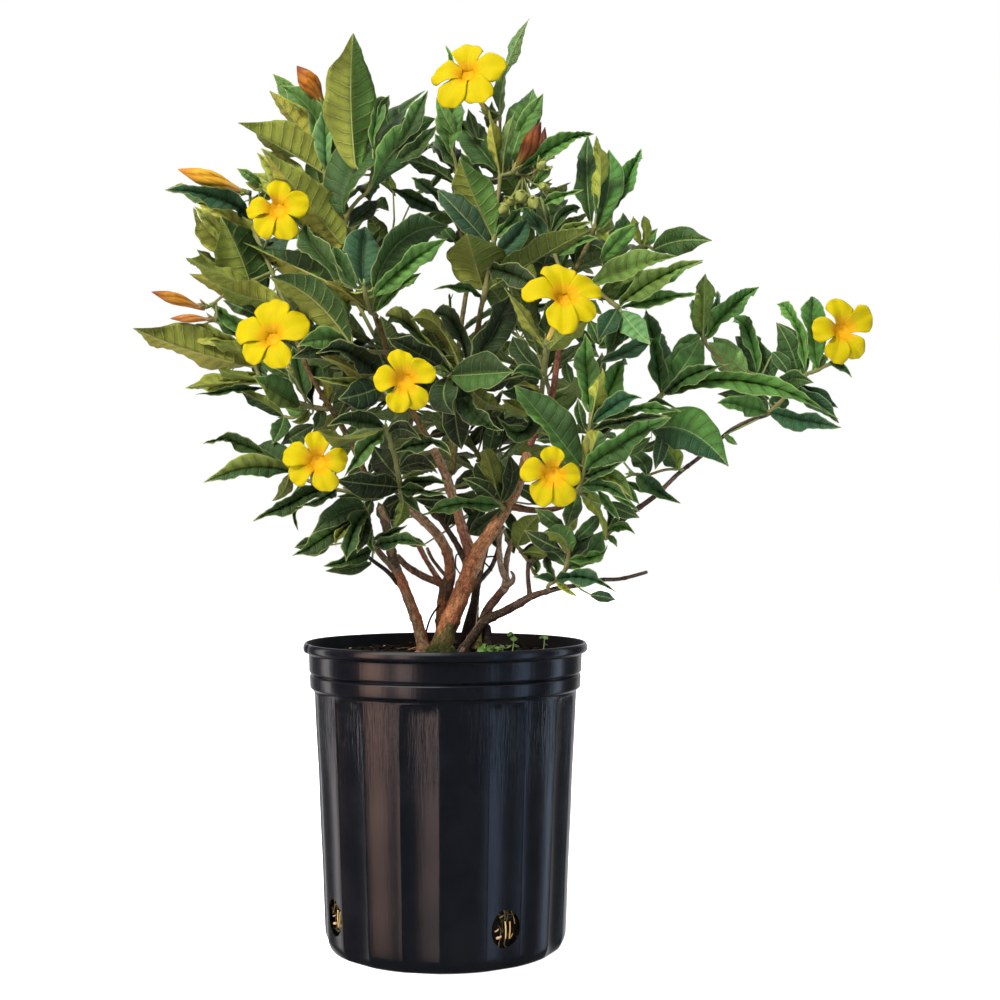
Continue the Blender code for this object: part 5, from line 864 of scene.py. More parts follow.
def plan_plant():
    """Work out every twig, stalk and leaf, clear of one another."""
    crowd = Crowd()
    stem_runs, stem_points = {}, []
    for name, runs in STEMS.items():
        stem_runs[name] = [spline(run_points(r), 1) for r in runs]
        for r in runs:
            fine = spline(run_points(r), 8)
            stem_points.append(fine)
        for pts in stem_runs[name]:
            crowd.add(name, *tube_mesh(pts, 6, 0.0003))
    twigs = {}
    for name, runs in list(TWIGS.items()) + list(BACK_TWIGS.items()):
        kept = []
        for k, run in enumerate(runs):
            pts = run_points(run)
            kept.append(trim_run(pts, stem_points) if k == 0 else pts)
        twigs[name] = kept
        for pts in kept:
            crowd.add(name, *tube_mesh(pts, 5, 0.0003))
    flowers = {}
    for name, spec in FLOWERS.items():
        verts, faces = flower_mesh(spec)
        flowers[name] = (verts, faces)
        crowd.add(name, verts, faces)
    buds = {}
    for name, spec in BUDS.items():
        verts, faces = bud_mesh(spec)
        buds[name] = (verts, faces)
        crowd.add(name, verts, faces)
    # stalks with their calyx cones
    stalks = []
    for name, spec in FLOWERS.items():
        centre, face, foot, _ = flower_frame(spec)
        shoot = spec[5]
        start = shake(nearest_on(twigs[shoot], foot), name)
        way = tube_way(centre, face, foot, 1.0)
        low = foot + way * 0.0035
        pts = stalk_points(low, start)
        cup = [(low + way * 0.002, 0.0012), (low, 0.0024), (foot + way * 0.0006, 0.0028)]
        stalks.append((name, shoot, pts, cup))
    for name, spec in BUDS.items():
        a, b = place(*spec[0]), place(*spec[1])
        shoot = spec[3]
        way = (b - a).normalized()
        start = shake(nearest_on(twigs[shoot], a), name)
        low = a - way * 0.003
        pts = stalk_points(low, start, 0.0013, 0.001)
        cup = [(low - way * 0.002, 0.0012), (low, 0.0022), (a - way * 0.0006, 0.0026)]
        stalks.append((name, shoot, pts, cup))
    for name, shoot, pts, cup in stalks:
        crowd.add(shoot, *tube_mesh(pts, 4, 0.0002))
        crowd.add(shoot, *tube_mesh(cup, 5, 0.0002))

    leaves, dropped = [], []
    blades = Crowd()

    def try_leaf(leaf, small):
        rings = (0.05, 0.36, 0.70) if small else (0.05, 0.24, 0.5, 0.78)
        whole = leaf_mesh(leaf, rings, 0.0004, LEAF_THICK + 0.0005)
        hit = crowd.clash(*whole, skip=(leaf.shoot,))
        if hit:
            return None
        blade = leaf_mesh(leaf, rings[1:], 0.0004, LEAF_THICK + 0.0005, blade_only=True)
        if blades.clash(*blade):
            return None
        return rings, whole, blade

    def keep(leaf, got):
        rings, whole, blade = got
        crowd.add(leaf.shoot, *whole)
        blades.add(leaf.name, *blade)
        leaf.rings = rings
        leaves.append(leaf)

    for row in LEAVES.strip().splitlines():
        f = row.split()
        name, shoot = f[0], f[1]
        bu, bv, mu, mv, tu, tv, wl, wr = (float(x) for x in f[2:10])
        side, tones = f[10], f[11]
        runs = twigs[shoot]
        probe = place(bu, bv, unplace(runs[0][-1][0])[2])
        near = nearest_on(runs, probe, picture_distance)
        y0 = unplace(near)[2]
        lp = math.hypot(mu - bu, mv - bv) + math.hypot(tu - mu, tv - mv)
        lp *= (1385.0 + y0) / FOCAL
        want = min(max(lp * 1.06, 78.0), lp * 1.32)
        dz = math.sqrt(max(want * want - lp * lp, (0.22 * lp) ** 2))
        rise = (bv - tv) / max(1.0, math.hypot(tu - bu, tv - bv))
        if side == "U":
            sign = -1.0 if rise > -0.2 else 1.0
        else:
            sign = 1.0 if rise > 0.55 else -1.0
        if len(f) > 12:
            dz, sign = abs(float(f[12])), math.copysign(1.0, float(f[12]))
        bulge = (-0.07 if side == "T" else 0.07) * lp
        done = False
        for db in (0.0, -5.0, 5.0, -10.0, 10.0):
            for step in (0.0, 10.0, -10.0, 20.0, -20.0, 32.0, -32.0, 45.0, -45.0, 60.0, -60.0):
                yb = y0 + db
                yt = y0 + db + dz * sign + step
                ym = y0 + db + dz * sign * 0.45 + step * 0.55 + bulge
                base, mid, tip = place(bu, bv, yb), place(mu, mv, ym), place(tu, tv, yt)
                k = (1385.0 + ym) / FOCAL / 1000.0
                attach = shake(nearest_on(runs, base), name)
                leaf = Leaf(name, shoot, attach, base, mid, tip, wl * k, wr * k, side, tones)
                got = try_leaf(leaf, leaf.length < 0.055)
                if got:
                    keep(leaf, got)
                    done = True
                    break
            if done:
                break
        if not done:
            dropped.append(name)
    # leaves behind: whorls of three or four along the back twigs
    rng = random.Random(41)
    serial = 0
    hub = Vector((-0.01, 0.0, 0.45))
    jobs = [(n, r, True) for n, rr in BACK_TWIGS.items() for r in rr]
    for shoot, run, _ in jobs:
        pts = spline(run_points(run), 6)
        travelled, last = 0.0, pts[0][0]
        gap, turn = 0.030, rng.uniform(0, 6.28)
        for i in range(1, len(pts)):
            travelled += (pts[i][0] - last).length
            last = pts[i][0]
            if travelled < gap:
                continue
            travelled = 0.0
            node = pts[i][0]
            axis = (pts[min(i + 1, len(pts) - 1)][0] - pts[i - 1][0]).normalized()
            count = 4 if i < len(pts) - 3 else 5
            turn += 0.7
            for k in range(count):
                for attempt in range(9):
                    phi = turn + 2 * math.pi * k / count + rng.uniform(-0.4, 0.4)
                    ref = Vector((0, 0, 1)) if abs(axis.z) < 0.9 else Vector((1, 0, 0))
                    s = axis.cross(ref).normalized()
                    q = axis.cross(s)
                    radial = s * math.cos(phi) + q * math.sin(phi)
                    out = (node - hub)
                    out.z *= 0.3
                    out.normalize()
                    way = (radial + axis * rng.uniform(0.2, 0.7) + out * 0.35
                           + Vector((0, 0, 0.25))).normalized()
                    length = rng.uniform(0.070, 0.108) * (1.0 - 0.06 * attempt)
                    base = node + way * rng.uniform(0.004, 0.009)
                    mid = base + way * (0.5 * length)
                    droop = Vector((0, 0, -1)) * length * rng.uniform(0.10, 0.26)
                    tip = base + way * (0.96 * length) + droop
                    up = (Vector((0, 0, 1)) + axis * 0.5 - way * 0.2).normalized()
                    look = -(up - way * up.dot(way)).normalized()
                    half = length * rng.uniform(0.155, 0.185)
                    serial += 1
                    leaf = Leaf("Z%d" % serial, shoot, shake(node, serial), base, mid, tip, half * 0.93,
                                half * 0.93, "T", rng.choice("DDGGBHO"), look)
                    lft, rgt, _, _ = leaf.halves(0.5)
                    c = leaf.centre(0.5)
                    if not hidden_ok([base, mid, tip, c + lft * leaf.width, c + rgt * leaf.width]):
                        continue
                    got = try_leaf(leaf, True)
                    if got:
                        keep(leaf, got)
                        break
    return stem_runs, twigs, flowers, buds, stalks, leaves, dropped

# ------------------------------------------------------------ mesh building
class Piece:
    """Vertices, faces, materials and per-vertex values of one visible piece."""

    def __init__(self, name, mats):
        self.name, self.mats = name, mats
        self.verts, self.tone, self.vein = [], [], []
        self.faces = {}          # corners per face -> list of (index array, material index)
        self.count = 0

    def add(self, verts, faces, mat=0, tone=(0.5, 0.5, 0.5), vein=(0.0, 0.0, 0.0), flat=False):
        """verts (n,3); faces a list of index arrays, one per face size."""
        verts = np.asarray(verts, float).reshape(-1, 3)
        n = len(verts)
        self.verts.append(verts)
        self.tone.append(np.broadcast_to(np.asarray(tone, float), (n, 3)))
        self.vein.append(np.broadcast_to(np.asarray(vein, float), (n, 3)))
        for f in faces:
            f = np.asarray(f, int)
            if len(f) == 0:
                continue
            self.faces.setdefault(f.shape[1], []).append((f + self.count, mat, flat))
        self.count += n

    def mesh(self):
        verts = np.concatenate(self.verts)
        loops, starts, mats, smooth = [], [], [], []
        at = 0
        for k, groups in self.faces.items():
            for f, mat, flat in groups:
                loops.append(f.reshape(-1))
                starts.append(at + np.arange(len(f)) * k)
                mats.append(np.full(len(f), mat))
                smooth.append(np.full(len(f), not flat))
                at += f.size
        loops, starts = np.concatenate(loops), np.concatenate(starts)
        mats, smooth = np.concatenate(mats), np.concatenate(smooth)
        mesh = bpy.data.meshes.new(self.name)
        mesh.vertices.add(len(verts))
        mesh.vertices.foreach_set("co", verts.astype(np.float32).reshape(-1))
        mesh.loops.add(len(loops))
        mesh.loops.foreach_set("vertex_index", loops.astype(np.int32))
        mesh.polygons.add(len(starts))
        mesh.polygons.foreach_set("loop_start", starts.astype(np.int32))
        mesh.polygons.foreach_set("material_index", mats.astype(np.int32))
        mesh.polygons.foreach_set("use_smooth", smooth)
        for m in self.mats:
            mesh.materials.append(m)
        mesh.update(calc_edges=True)
        mesh.validate()
        tone = np.concatenate(self.tone)
        attr = mesh.attributes.new("tone", "FLOAT_COLOR", "POINT")
        rgba = np.concatenate([tone, np.ones((len(tone), 1))], axis=1)
        attr.data.foreach_set("color", rgba.astype(np.float32).reshape(-1))
        attr = mesh.attributes.new("vein", "FLOAT_VECTOR", "POINT")
        attr.data.foreach_set("vector", np.concatenate(self.vein).astype(np.float32).reshape(-1))
        return mesh

    def show(self, node):
        obj = bpy.data.objects.new(self.name, self.mesh())
        bpy.context.scene.collection.objects.link(obj)
        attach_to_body(obj, "root")
        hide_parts(node)
        return obj


def vec(p):
    return np.array((p[0], p[1], p[2]), float)


def unit(a):
    n = np.linalg.norm(a, axis=-1, keepdims=True)
    return a / np.maximum(n, 1e-12)


def grid(rows, cols, wrap=False, flip=False, first=0):
    """Quads of a grid of rows x cols vertices, optionally closed round the columns."""
    c = cols if wrap else cols - 1
    i, k = np.meshgrid(np.arange(rows - 1), np.arange(c), indexing="ij")
    a = i * cols + k
    b = i * cols + (k + 1) % cols
    q = np.stack([a, b, b + cols, a + cols], axis=-1).reshape(-1, 4) + first
    return q[:, ::-1] if flip else q


def smooth_path(points, step, ends=None):
    """(position, radius) points as evenly spaced arrays along a smooth curve."""
    fine = spline(points, 10) if len(points) > 2 else spline([points[0], (points[0][0].lerp(points[-1][0], 0.5), (points[0][1] + points[-1][1]) / 2), points[-1]], 10)
    p = np.array([vec(q[0]) for q in fine])
    r = np.array([q[1] for q in fine])
    s = np.concatenate([[0.0], np.cumsum(np.linalg.norm(np.diff(p, axis=0), axis=1))])
    keep = np.concatenate([[True], np.diff(s) > 1e-7])
    p, r, s = p[keep], r[keep], s[keep]
    n = max(2, int(math.ceil(s[-1] / step)) + 1)
    t = np.linspace(0.0, s[-1], n)
    return (np.stack([np.interp(t, s, p[:, k]) for k in range(3)], axis=1),
            np.interp(t, s, r), t)


def tube_frames(p, ref=(0.31, -0.87, 0.11)):
    """Side and up vectors along a path, carried along without twist."""
    d = np.empty_like(p)
    d[1:-1] = p[2:] - p[:-2]
    d[0], d[-1] = p[1] - p[0], p[-1] - p[-2]
    d = unit(d)
    side = np.empty_like(p)
    cur = np.array(ref, float)
    for i in range(len(p)):
        cur = cur - d[i] * cur.dot(d[i])
        if np.linalg.norm(cur) < 1e-6:
            cur = np.cross(d[i], (0.2, 0.5, 0.8))
        cur = cur / np.linalg.norm(cur)
        side[i] = cur
    return d, side, np.cross(d, side)


def tube(p, r, sides, shape=None, lift=None, cap=(0.6, 0.6)):
    """Closed tube; shape(i, ang) scales the radius, lift adds metres to it."""
    n = len(p)
    d, side, up = tube_frames(p)
    ang = 2 * np.pi * np.arange(sides) / sides
    rad = np.broadcast_to(np.asarray(r, float)[:, None], (n, sides)).copy()
    if shape is not None:
        rad = rad * shape
    if lift is not None:
        rad = rad + lift
    ring = (side[:, None, :] * np.cos(ang)[None, :, None]
            + up[:, None, :] * np.sin(ang)[None, :, None])
    body = p[:, None, :] + ring * rad[:, :, None]
    # rounded ends: one smaller ring pushed out, then a centre point
    rows = []
    if cap[0]:
        rows.append(p[0][None, :] - d[0] * r[0] * cap[0] * 0.7 + ring[0] * rad[0][:, None] * 0.62)
    rows.extend(body)
    if cap[1]:
        rows.append(p[-1][None, :] + d[-1] * r[-1] * cap[1] * 0.7 + ring[-1] * rad[-1][:, None] * 0.62)
    rows = np.array(rows)
    m = len(rows)
    verts = rows.reshape(-1, 3)
    low = p[0] - d[0] * r[0] * cap[0]
    high = p[-1] + d[-1] * r[-1] * cap[1]
    verts = np.concatenate([verts, low[None, :], high[None, :]])
    quads = grid(m, sides, wrap=True)
    k = np.arange(sides)
    tris = np.concatenate([
        np.stack([(k + 1) % sides, k, np.full(sides, m * sides)], axis=1),
        np.stack([(m - 1) * sides + k, (m - 1) * sides + (k + 1) % sides,
                  np.full(sides, m * sides + 1)], axis=1)])
    return verts, [quads, tris]


def smoothstep(a, b, x):
    t = np.clip((np.asarray(x, float) - a) / (b - a), 0.0, 1.0)
    return t * t * (3.0 - 2.0 * t)


# ------------------------------------------------------------ materials
class Nodes:
    """A material built from nodes."""

    def __init__(self, name):
        self.mat = bpy.data.materials.new(name)
        self.mat.use_nodes = True
        self.tree = self.mat.node_tree
        self.tree.nodes.clear()
        self.out = self.tree.nodes.new("ShaderNodeOutputMaterial")
        self.bsdf = self.tree.nodes.new("ShaderNodeBsdfPrincipled")
        self.tree.links.new(self.bsdf.outputs[0], self.out.inputs[0])

    def put(self, socket, value):
        if isinstance(value, bpy.types.NodeSocket):
            self.tree.links.new(value, socket)
        elif value is not None:
            if hasattr(socket.default_value, "__len__") and len(socket.default_value) == 4 and len(value) == 3:
                value = (*value, 1.0)
            socket.default_value = value

    def set(self, **values):
        for key, value in values.items():
            self.put(self.bsdf.inputs[key.replace("_", " ")], value)
        return self.mat

    def coords(self):
        return self.tree.nodes.new("ShaderNodeTexCoord").outputs["Object"]

    def attr(self, name, out="Vector"):
        node = self.tree.nodes.new("ShaderNodeAttribute")
        node.attribute_name = name
        return node.outputs[out]

    def split(self, v):
        node = self.tree.nodes.new("ShaderNodeSeparateXYZ")
        self.put(node.inputs[0], v)
        return node.outputs[0], node.outputs[1], node.outputs[2]

    def join(self, x, y, z):
        node = self.tree.nodes.new("ShaderNodeCombineXYZ")
        for k, v in enumerate((x, y, z)):
            self.put(node.inputs[k], v)
        return node.outputs[0]

    def math(self, op, a, b=None, c=None, clamp=False):
        node = self.tree.nodes.new("ShaderNodeMath")
        node.operation = op
        node.use_clamp = clamp
        for k, v in enumerate((a, b, c)):
            if v is not None:
                self.put(node.inputs[k], v)
        return node.outputs[0]

    def vmath(self, op, a, b=None, scale=None):
        node = self.tree.nodes.new("ShaderNodeVectorMath")
        node.operation = op
        self.put(node.inputs[0], a)
        if b is not None:
            self.put(node.inputs[1], b)
        if scale is not None:
            self.put(node.inputs[3], scale)
        return node.outputs[0]

    def scaled(self, v, s):
        node = self.tree.nodes.new("ShaderNodeMapping")
        self.put(node.inputs[0], v)
        node.inputs["Scale"].default_value = s
        return node.outputs[0]

    def noise(self, v, scale, detail=3.0, rough=0.55, warp=0.0):
        node = self.tree.nodes.new("ShaderNodeTexNoise")
        self.put(node.inputs["Vector"], v)
        node.inputs["Scale"].default_value = scale
        node.inputs["Detail"].default_value = detail
        node.inputs["Roughness"].default_value = rough
        node.inputs["Distortion"].default_value = warp
        return node.outputs[0]

    def cells(self, v, scale, feature="F1", random_=1.0):
        node = self.tree.nodes.new("ShaderNodeTexVoronoi")
        node.feature = feature
        self.put(node.inputs["Vector"], v)
        node.inputs["Scale"].default_value = scale
        node.inputs["Randomness"].default_value = random_
        return node.outputs[0]

    def ramp(self, value, stops, smooth=False):
        node = self.tree.nodes.new("ShaderNodeValToRGB")
        if smooth:
            node.color_ramp.interpolation = "EASE"
        self.put(node.inputs[0], value)
        els = node.color_ramp.elements
        while len(els) > 1:
            els.remove(els[-1])
        for k, (pos, col) in enumerate(stops):
            el = els[0] if k == 0 else els.new(pos)
            el.position = pos
            el.color = (*col, 1.0) if len(col) == 3 else col
        return node.outputs[0]

    def step(self, value, lo, hi, out_lo=0.0, out_hi=1.0):
        node = self.tree.nodes.new("ShaderNodeMapRange")
        node.interpolation_type = "SMOOTHSTEP"
        self.put(node.inputs["Value"], value)
        node.inputs["From Min"].default_value = lo
        node.inputs["From Max"].default_value = hi
        node.inputs["To Min"].default_value = out_lo
        node.inputs["To Max"].default_value = out_hi
        return node.outputs[0]

    def mix(self, fac, a, b, mode="MIX"):
        node = self.tree.nodes.new("ShaderNodeMix")
        node.data_type = "RGBA"
        node.blend_type = mode
        node.clamp_factor = True
        self.put(node.inputs[0], fac)
        self.put(node.inputs[6], a)
        self.put(node.inputs[7], b)
        return node.outputs[2]

    def bump(self, height, distance, strength=1.0, normal=None):
        node = self.tree.nodes.new("ShaderNodeBump")
        node.inputs["Strength"].default_value = strength
        node.inputs["Distance"].default_value = distance
        self.put(node.inputs["Height"], height)
        if normal is not None:
            self.put(node.inputs["Normal"], normal)
        return node.outputs[0]


def leaf_material(name, top):
    n = Nodes(name)
    pos = n.coords()
    vx, across, edge = n.split(n.attr("vein"))
    tone = n.attr("tone", "Color")
    # distance from the nearest side vein, wavering a little
    waver = n.math("MULTIPLY", n.math("SUBTRACT", n.noise(pos, 130.0, 1.0), 0.5), 0.30)
    f = n.math("FRACT", n.math("ADD", n.math("ADD", vx, waver), 0.5))
    d = n.math("MULTIPLY", n.math("ABSOLUTE", n.math("SUBTRACT", f, 0.5)), 9.5)
    line = n.step(d, 0.20, 0.85, 1.0, 0.0)
    fade = n.step(edge, 0.5, 3.0)
    line = n.math("MULTIPLY", line, fade)
    # swell: painted shade next to each side vein and painted light on the bulge between veins
    swell = n.math("MULTIPLY", n.step(d, 0.3, 4.2, -0.17, 0.13), fade)
    rib = n.step(n.math("ABSOLUTE", across), 0.30, 0.95, 1.0, 0.0)
    margin = n.step(edge, 0.14, 0.62, 1.0, 0.0)
    net = n.cells(pos, 520.0, "DISTANCE_TO_EDGE")
    netline = n.step(net, 0.0, 0.16, 1.0, 0.0)
    blotch = n.noise(pos, 42.0, 3.0, 0.6)
    fine = n.noise(pos, 420.0, 3.0, 0.6)
    broad = n.noise(pos, 17.0, 2.0, 0.5)
    light = n.math("ADD", n.math("MULTIPLY", blotch, 0.85), n.math("MULTIPLY", fine, 0.50))
    light = n.math("ADD", n.math("ADD", light, n.math("MULTIPLY", broad, 0.65)), swell)
    col = n.vmath("SCALE", tone, scale=light)
    # painted light between the veins and painted shade along them (swell, above); on the upper side the bump also
    # sinks them deeper
    if top:
        pale = n.mix(0.45, tone, (0.28, 0.40, 0.11))
        col = n.mix(n.math("MULTIPLY", line, 0.34), col, pale)
        ribcol = n.mix(0.50, tone, (0.36, 0.46, 0.17))
        col = n.mix(n.math("MULTIPLY", rib, 0.80), col, ribcol)
        col = n.mix(n.math("MULTIPLY", margin, 0.75), col, n.mix(0.60, tone, (0.46, 0.52, 0.19)))
        col = n.mix(n.math("MULTIPLY", netline, 0.08), col, pale)
        rough = n.math("ADD", n.math("MULTIPLY", fine, 0.22), 0.27)
        h = n.math("ADD", n.math("MULTIPLY", line, -0.7), n.math("MULTIPLY", netline, -0.22))
        h = n.math("ADD", h, n.math("MULTIPLY", rib, -0.25))
        h = n.math("ADD", h, n.math("MULTIPLY", fine, 0.25))
        return n.set(Base_Color=col, Roughness=rough, Normal=n.bump(h, 0.0012, 0.95),
                     Specular_IOR_Level=0.46)
    pale = n.mix(0.52, tone, (0.40, 0.46, 0.14))
    col = n.mix(n.math("MULTIPLY", line, 0.66), col, pale)
    col = n.mix(n.math("MULTIPLY", rib, 0.80), col, n.mix(0.55, tone, (0.44, 0.48, 0.20)))
    col = n.mix(n.math("MULTIPLY", margin, 0.55), col, n.mix(0.55, tone, (0.40, 0.44, 0.18)))
    col = n.mix(n.math("MULTIPLY", netline, 0.14), col, pale)
    h = n.math("ADD", n.math("MULTIPLY", line, 0.9), n.math("MULTIPLY", netline, 0.25))
    h = n.math("ADD", h, n.math("MULTIPLY", fine, 0.25))
    return n.set(Base_Color=col, Roughness=0.56, Normal=n.bump(h, 0.0012, 0.95),
                 Specular_IOR_Level=0.25)


def twig_material(name, low, high, dots):
    n = Nodes(name)
    pos = n.coords()
    tone = n.attr("tone", "Color")
    a = n.noise(pos, 90.0, 3.0, 0.6)
    streak = n.noise(n.scaled(pos, (900.0, 900.0, 120.0)), 1.0, 2.0)
    col = n.mix(n.step(a, 0.35, 0.68), low, high)
    col = n.mix(0.5, col, tone)
    col = n.mix(n.math("MULTIPLY", n.step(streak, 0.5, 0.7), 0.35), col, dots)
    spots = n.step(n.cells(pos, 420.0), 0.10, 0.22, 1.0, 0.0)
    col = n.mix(n.math("MULTIPLY", spots, 0.4), col, dots)
    h = n.math("ADD", n.math("MULTIPLY", streak, 0.6), n.math("MULTIPLY", spots, 0.5))
    return n.set(Base_Color=col, Roughness=0.58, Normal=n.bump(h, 0.0004, 0.6),
                 Specular_IOR_Level=0.3)


def bark_material():
    n = Nodes("bark")
    pos = n.coords()
    tone = n.attr("tone", "Color")
    along, ang, rad = n.split(n.attr("vein"))
    # along and round the stem: scales drawn out lengthways
    skin = n.join(n.math("MULTIPLY", along, 0.55), ang, rad)
    big = n.noise(pos, 70.0, 4.0, 0.65)
    mid = n.noise(n.scaled(skin, (1.0, 1.0, 1.0)), 0.55, 4.0, 0.68, 0.4)
    fine = n.noise(pos, 900.0, 3.0, 0.6)
    crack = n.cells(n.join(n.math("MULTIPLY", along, 0.30), ang, rad), 0.42, "DISTANCE_TO_EDGE")
    crackline = n.step(crack, 0.0, 0.13, 1.0, 0.0)
    # painted shade in the sunk parts of the scales and painted light on the raised ones, following the same noise as
    # the bump
    painted_shade_tone = n.vmath("MULTIPLY", tone, (0.30, 0.28, 0.28))
    painted_light_tone = n.vmath("MULTIPLY", tone, (1.06, 1.12, 1.24))
    col = n.mix(n.step(mid, 0.34, 0.62), painted_shade_tone, painted_light_tone)
    col = n.mix(n.step(big, 0.40, 0.66, 0.0, 0.55), col, tone)
    col = n.mix(n.math("MULTIPLY", n.step(fine, 0.55, 0.75), 0.35), col, (0.55, 0.42, 0.30))
    col = n.mix(n.math("MULTIPLY", crackline, 0.36), col, (0.020, 0.012, 0.008))
    h = n.math("ADD", n.math("MULTIPLY", mid, 0.9), n.math("MULTIPLY", crackline, -0.6))
    h = n.math("ADD", h, n.math("MULTIPLY", fine, 0.3))
    return n.set(Base_Color=col, Roughness=0.80, Normal=n.bump(h, 0.0006, 0.7),
                 Specular_IOR_Level=0.30)


def petal_material():
    n = Nodes("petal")
    pos = n.coords()
    a, b, throat = n.split(n.attr("vein"))
    tone = n.attr("tone", "Color")
    # fine veins fan out along the lobe
    fan = n.noise(n.join(n.math("MULTIPLY", b, 16.0), n.math("MULTIPLY", a, 2.0), throat), 1.0, 3.0, 0.6)
    soft = n.noise(pos, 130.0, 2.0)
    light = n.math("ADD", n.math("MULTIPLY", soft, 0.14), 0.93)
    col = n.vmath("SCALE", tone, scale=light)
    streaks = n.math("MULTIPLY", n.step(fan, 0.52, 0.68), n.step(a, 0.15, 0.75, 0.55, 0.05))
    col = n.mix(streaks, col, n.vmath("MULTIPLY", tone, (0.90, 0.66, 0.6)))
    h = n.math("ADD", fan, n.math("MULTIPLY", soft, 0.5))
    return n.set(Base_Color=col, Roughness=0.50, Normal=n.bump(h, 0.0005, 0.35),
                 Specular_IOR_Level=0.12)


def bud_material(name, rough):
    n = Nodes(name)
    pos = n.coords()
    a, b, c = n.split(n.attr("vein"))
    tone = n.attr("tone", "Color")
    streak = n.noise(n.join(n.math("MULTIPLY", b, 26.0), n.math("MULTIPLY", a, 3.0), 0.0), 1.0, 3.0, 0.6)
    soft = n.noise(pos, 260.0, 3.0, 0.6)
    col = n.mix(n.step(streak, 0.42, 0.66), tone, n.vmath("MULTIPLY", tone, (0.55, 0.42, 0.36)))
    col = n.mix(n.math("MULTIPLY", n.step(soft, 0.55, 0.72), 0.35), col, n.vmath("MULTIPLY", tone, (1.25, 1.3, 1.2)))
    return n.set(Base_Color=col, Roughness=rough, Normal=n.bump(streak, 0.0005, 0.4),
                 Specular_IOR_Level=0.35)


def pot_material():
    n = Nodes("pot_black")
    pos = n.coords()
    x, y, z = n.split(pos)
    grain = n.noise(n.scaled(pos, (520.0, 520.0, 30.0)), 1.0, 2.0, 0.55, 0.5)
    grain2 = n.noise(n.scaled(pos, (260.0, 260.0, 16.0)), 1.0, 2.0, 0.5)
    band = n.math("MULTIPLY", n.step(z, 0.130, 0.205, 0.16, 1.0), n.step(z, 0.2262, 0.2275, 1.0, 0.25))
    pebble = n.noise(pos, 1500.0, 2.0, 0.5)
    blot = n.noise(pos, 26.0, 3.0, 0.6)
    g = n.math("ADD", n.math("MULTIPLY", grain, 0.7), n.math("MULTIPLY", grain2, 0.5))
    h = n.math("ADD", n.math("MULTIPLY", g, band), n.math("MULTIPLY", pebble, 0.05))
    col = n.mix(n.step(blot, 0.40, 0.70), (0.0026, 0.0034, 0.0058), (0.0046, 0.0055, 0.0084))
    dust = n.math("MULTIPLY", n.step(n.noise(pos, 380.0, 4.0, 0.7), 0.62, 0.78), n.step(z, 0.005, 0.06, 0.55, 0.18))
    col = n.mix(n.math("MULTIPLY", dust, 0.30), col, (0.055, 0.050, 0.045))
    specks = n.step(n.cells(pos, 95.0), 0.010, 0.022, 1.0, 0.0)
    col = n.mix(n.math("MULTIPLY", specks, 0.55), col, (0.30, 0.27, 0.22))
    rough = n.math("ADD", n.math("MULTIPLY", blot, 0.08), n.math("ADD", n.math("MULTIPLY", dust, 0.25), 0.17))
    return n.set(Base_Color=col, Roughness=rough, Normal=n.bump(h, 0.00060, 0.7),
                 Specular_IOR_Level=0.5)


def pot_inside_material():
    n = Nodes("pot_inside")
    pos = n.coords()
    blot = n.noise(pos, 60.0, 4.0, 0.6)
    col = n.mix(n.step(blot, 0.40, 0.70), (0.0030, 0.0032, 0.0038), (0.0075, 0.0072, 0.0070))
    return n.set(Base_Color=col, Roughness=0.55, Normal=n.bump(blot, 0.0006, 0.5), Specular_IOR_Level=0.16)


def soil_material():
    n = Nodes("soil")
    pos = n.coords()
    a = n.noise(pos, 230.0, 5.0, 0.7)
    bits = n.cells(pos, 330.0)
    tone = n.attr("tone", "Color")
    # painted shade: the soil is coloured near black, darker than moist soil, for the shadow in the pot under the bush
    col = n.mix(n.step(a, 0.35, 0.70), (0.004, 0.003, 0.0025), (0.020, 0.014, 0.010))
    col = n.mix(0.55, col, tone)
    col = n.mix(n.math("MULTIPLY", n.step(bits, 0.08, 0.18, 1.0, 0.0), 0.35), col, (0.06, 0.045, 0.03))
    h = n.math("ADD", a, n.math("MULTIPLY", bits, 0.6))
    return n.set(Base_Color=col, Roughness=0.95, Normal=n.bump(h, 0.0018, 0.9), Specular_IOR_Level=0.15)


def plain_tone_material(name, rough, scale=300.0, depth=0.0004):
    n = Nodes(name)
    pos = n.coords()
    tone = n.attr("tone", "Color")
    a = n.noise(pos, scale, 4.0, 0.65)
    light = n.math("ADD", n.math("MULTIPLY", a, 1.1), 0.45)
    col = n.vmath("SCALE", tone, scale=light)
    return n.set(Base_Color=col, Roughness=rough, Normal=n.bump(a, depth, 0.7), Specular_IOR_Level=0.25)


# ------------------------------------------------------------ colour
def lin(r, g, b):
    """Linear colour from 0-255 display values."""
    out = []
    for c in (r, g, b):
        c = c / 255.0
        out.append(c / 12.92 if c <= 0.04045 else ((c + 0.055) / 1.055) ** 2.4)
    return np.array(out)


# leaf tones as the leaves look on the picture, so light and shade are partly painted in: K is painted shade, near
# black for leaves that lie in shadow, and Y and O carry a painted glow of light shining through from behind
TONES = {
    "D": np.array((0.021, 0.052, 0.013)), "G": np.array((0.052, 0.124, 0.024)),
    "L": np.array((0.160, 0.265, 0.080)), "O": np.array((0.138, 0.165, 0.026)),
    "Y": np.array((0.245, 0.245, 0.038)), "B": np.array((0.0145, 0.046, 0.0205)),
    "M": np.array((0.080, 0.160, 0.056)), "H": np.array((0.088, 0.132, 0.024)), "K": np.array((0.010, 0.021, 0.007)),
}
RIB = np.array((0.20, 0.25, 0.09))
TWIG_GREEN = np.array((0.135, 0.150, 0.045))
TWIG_BROWN = np.array((0.150, 0.085, 0.045))


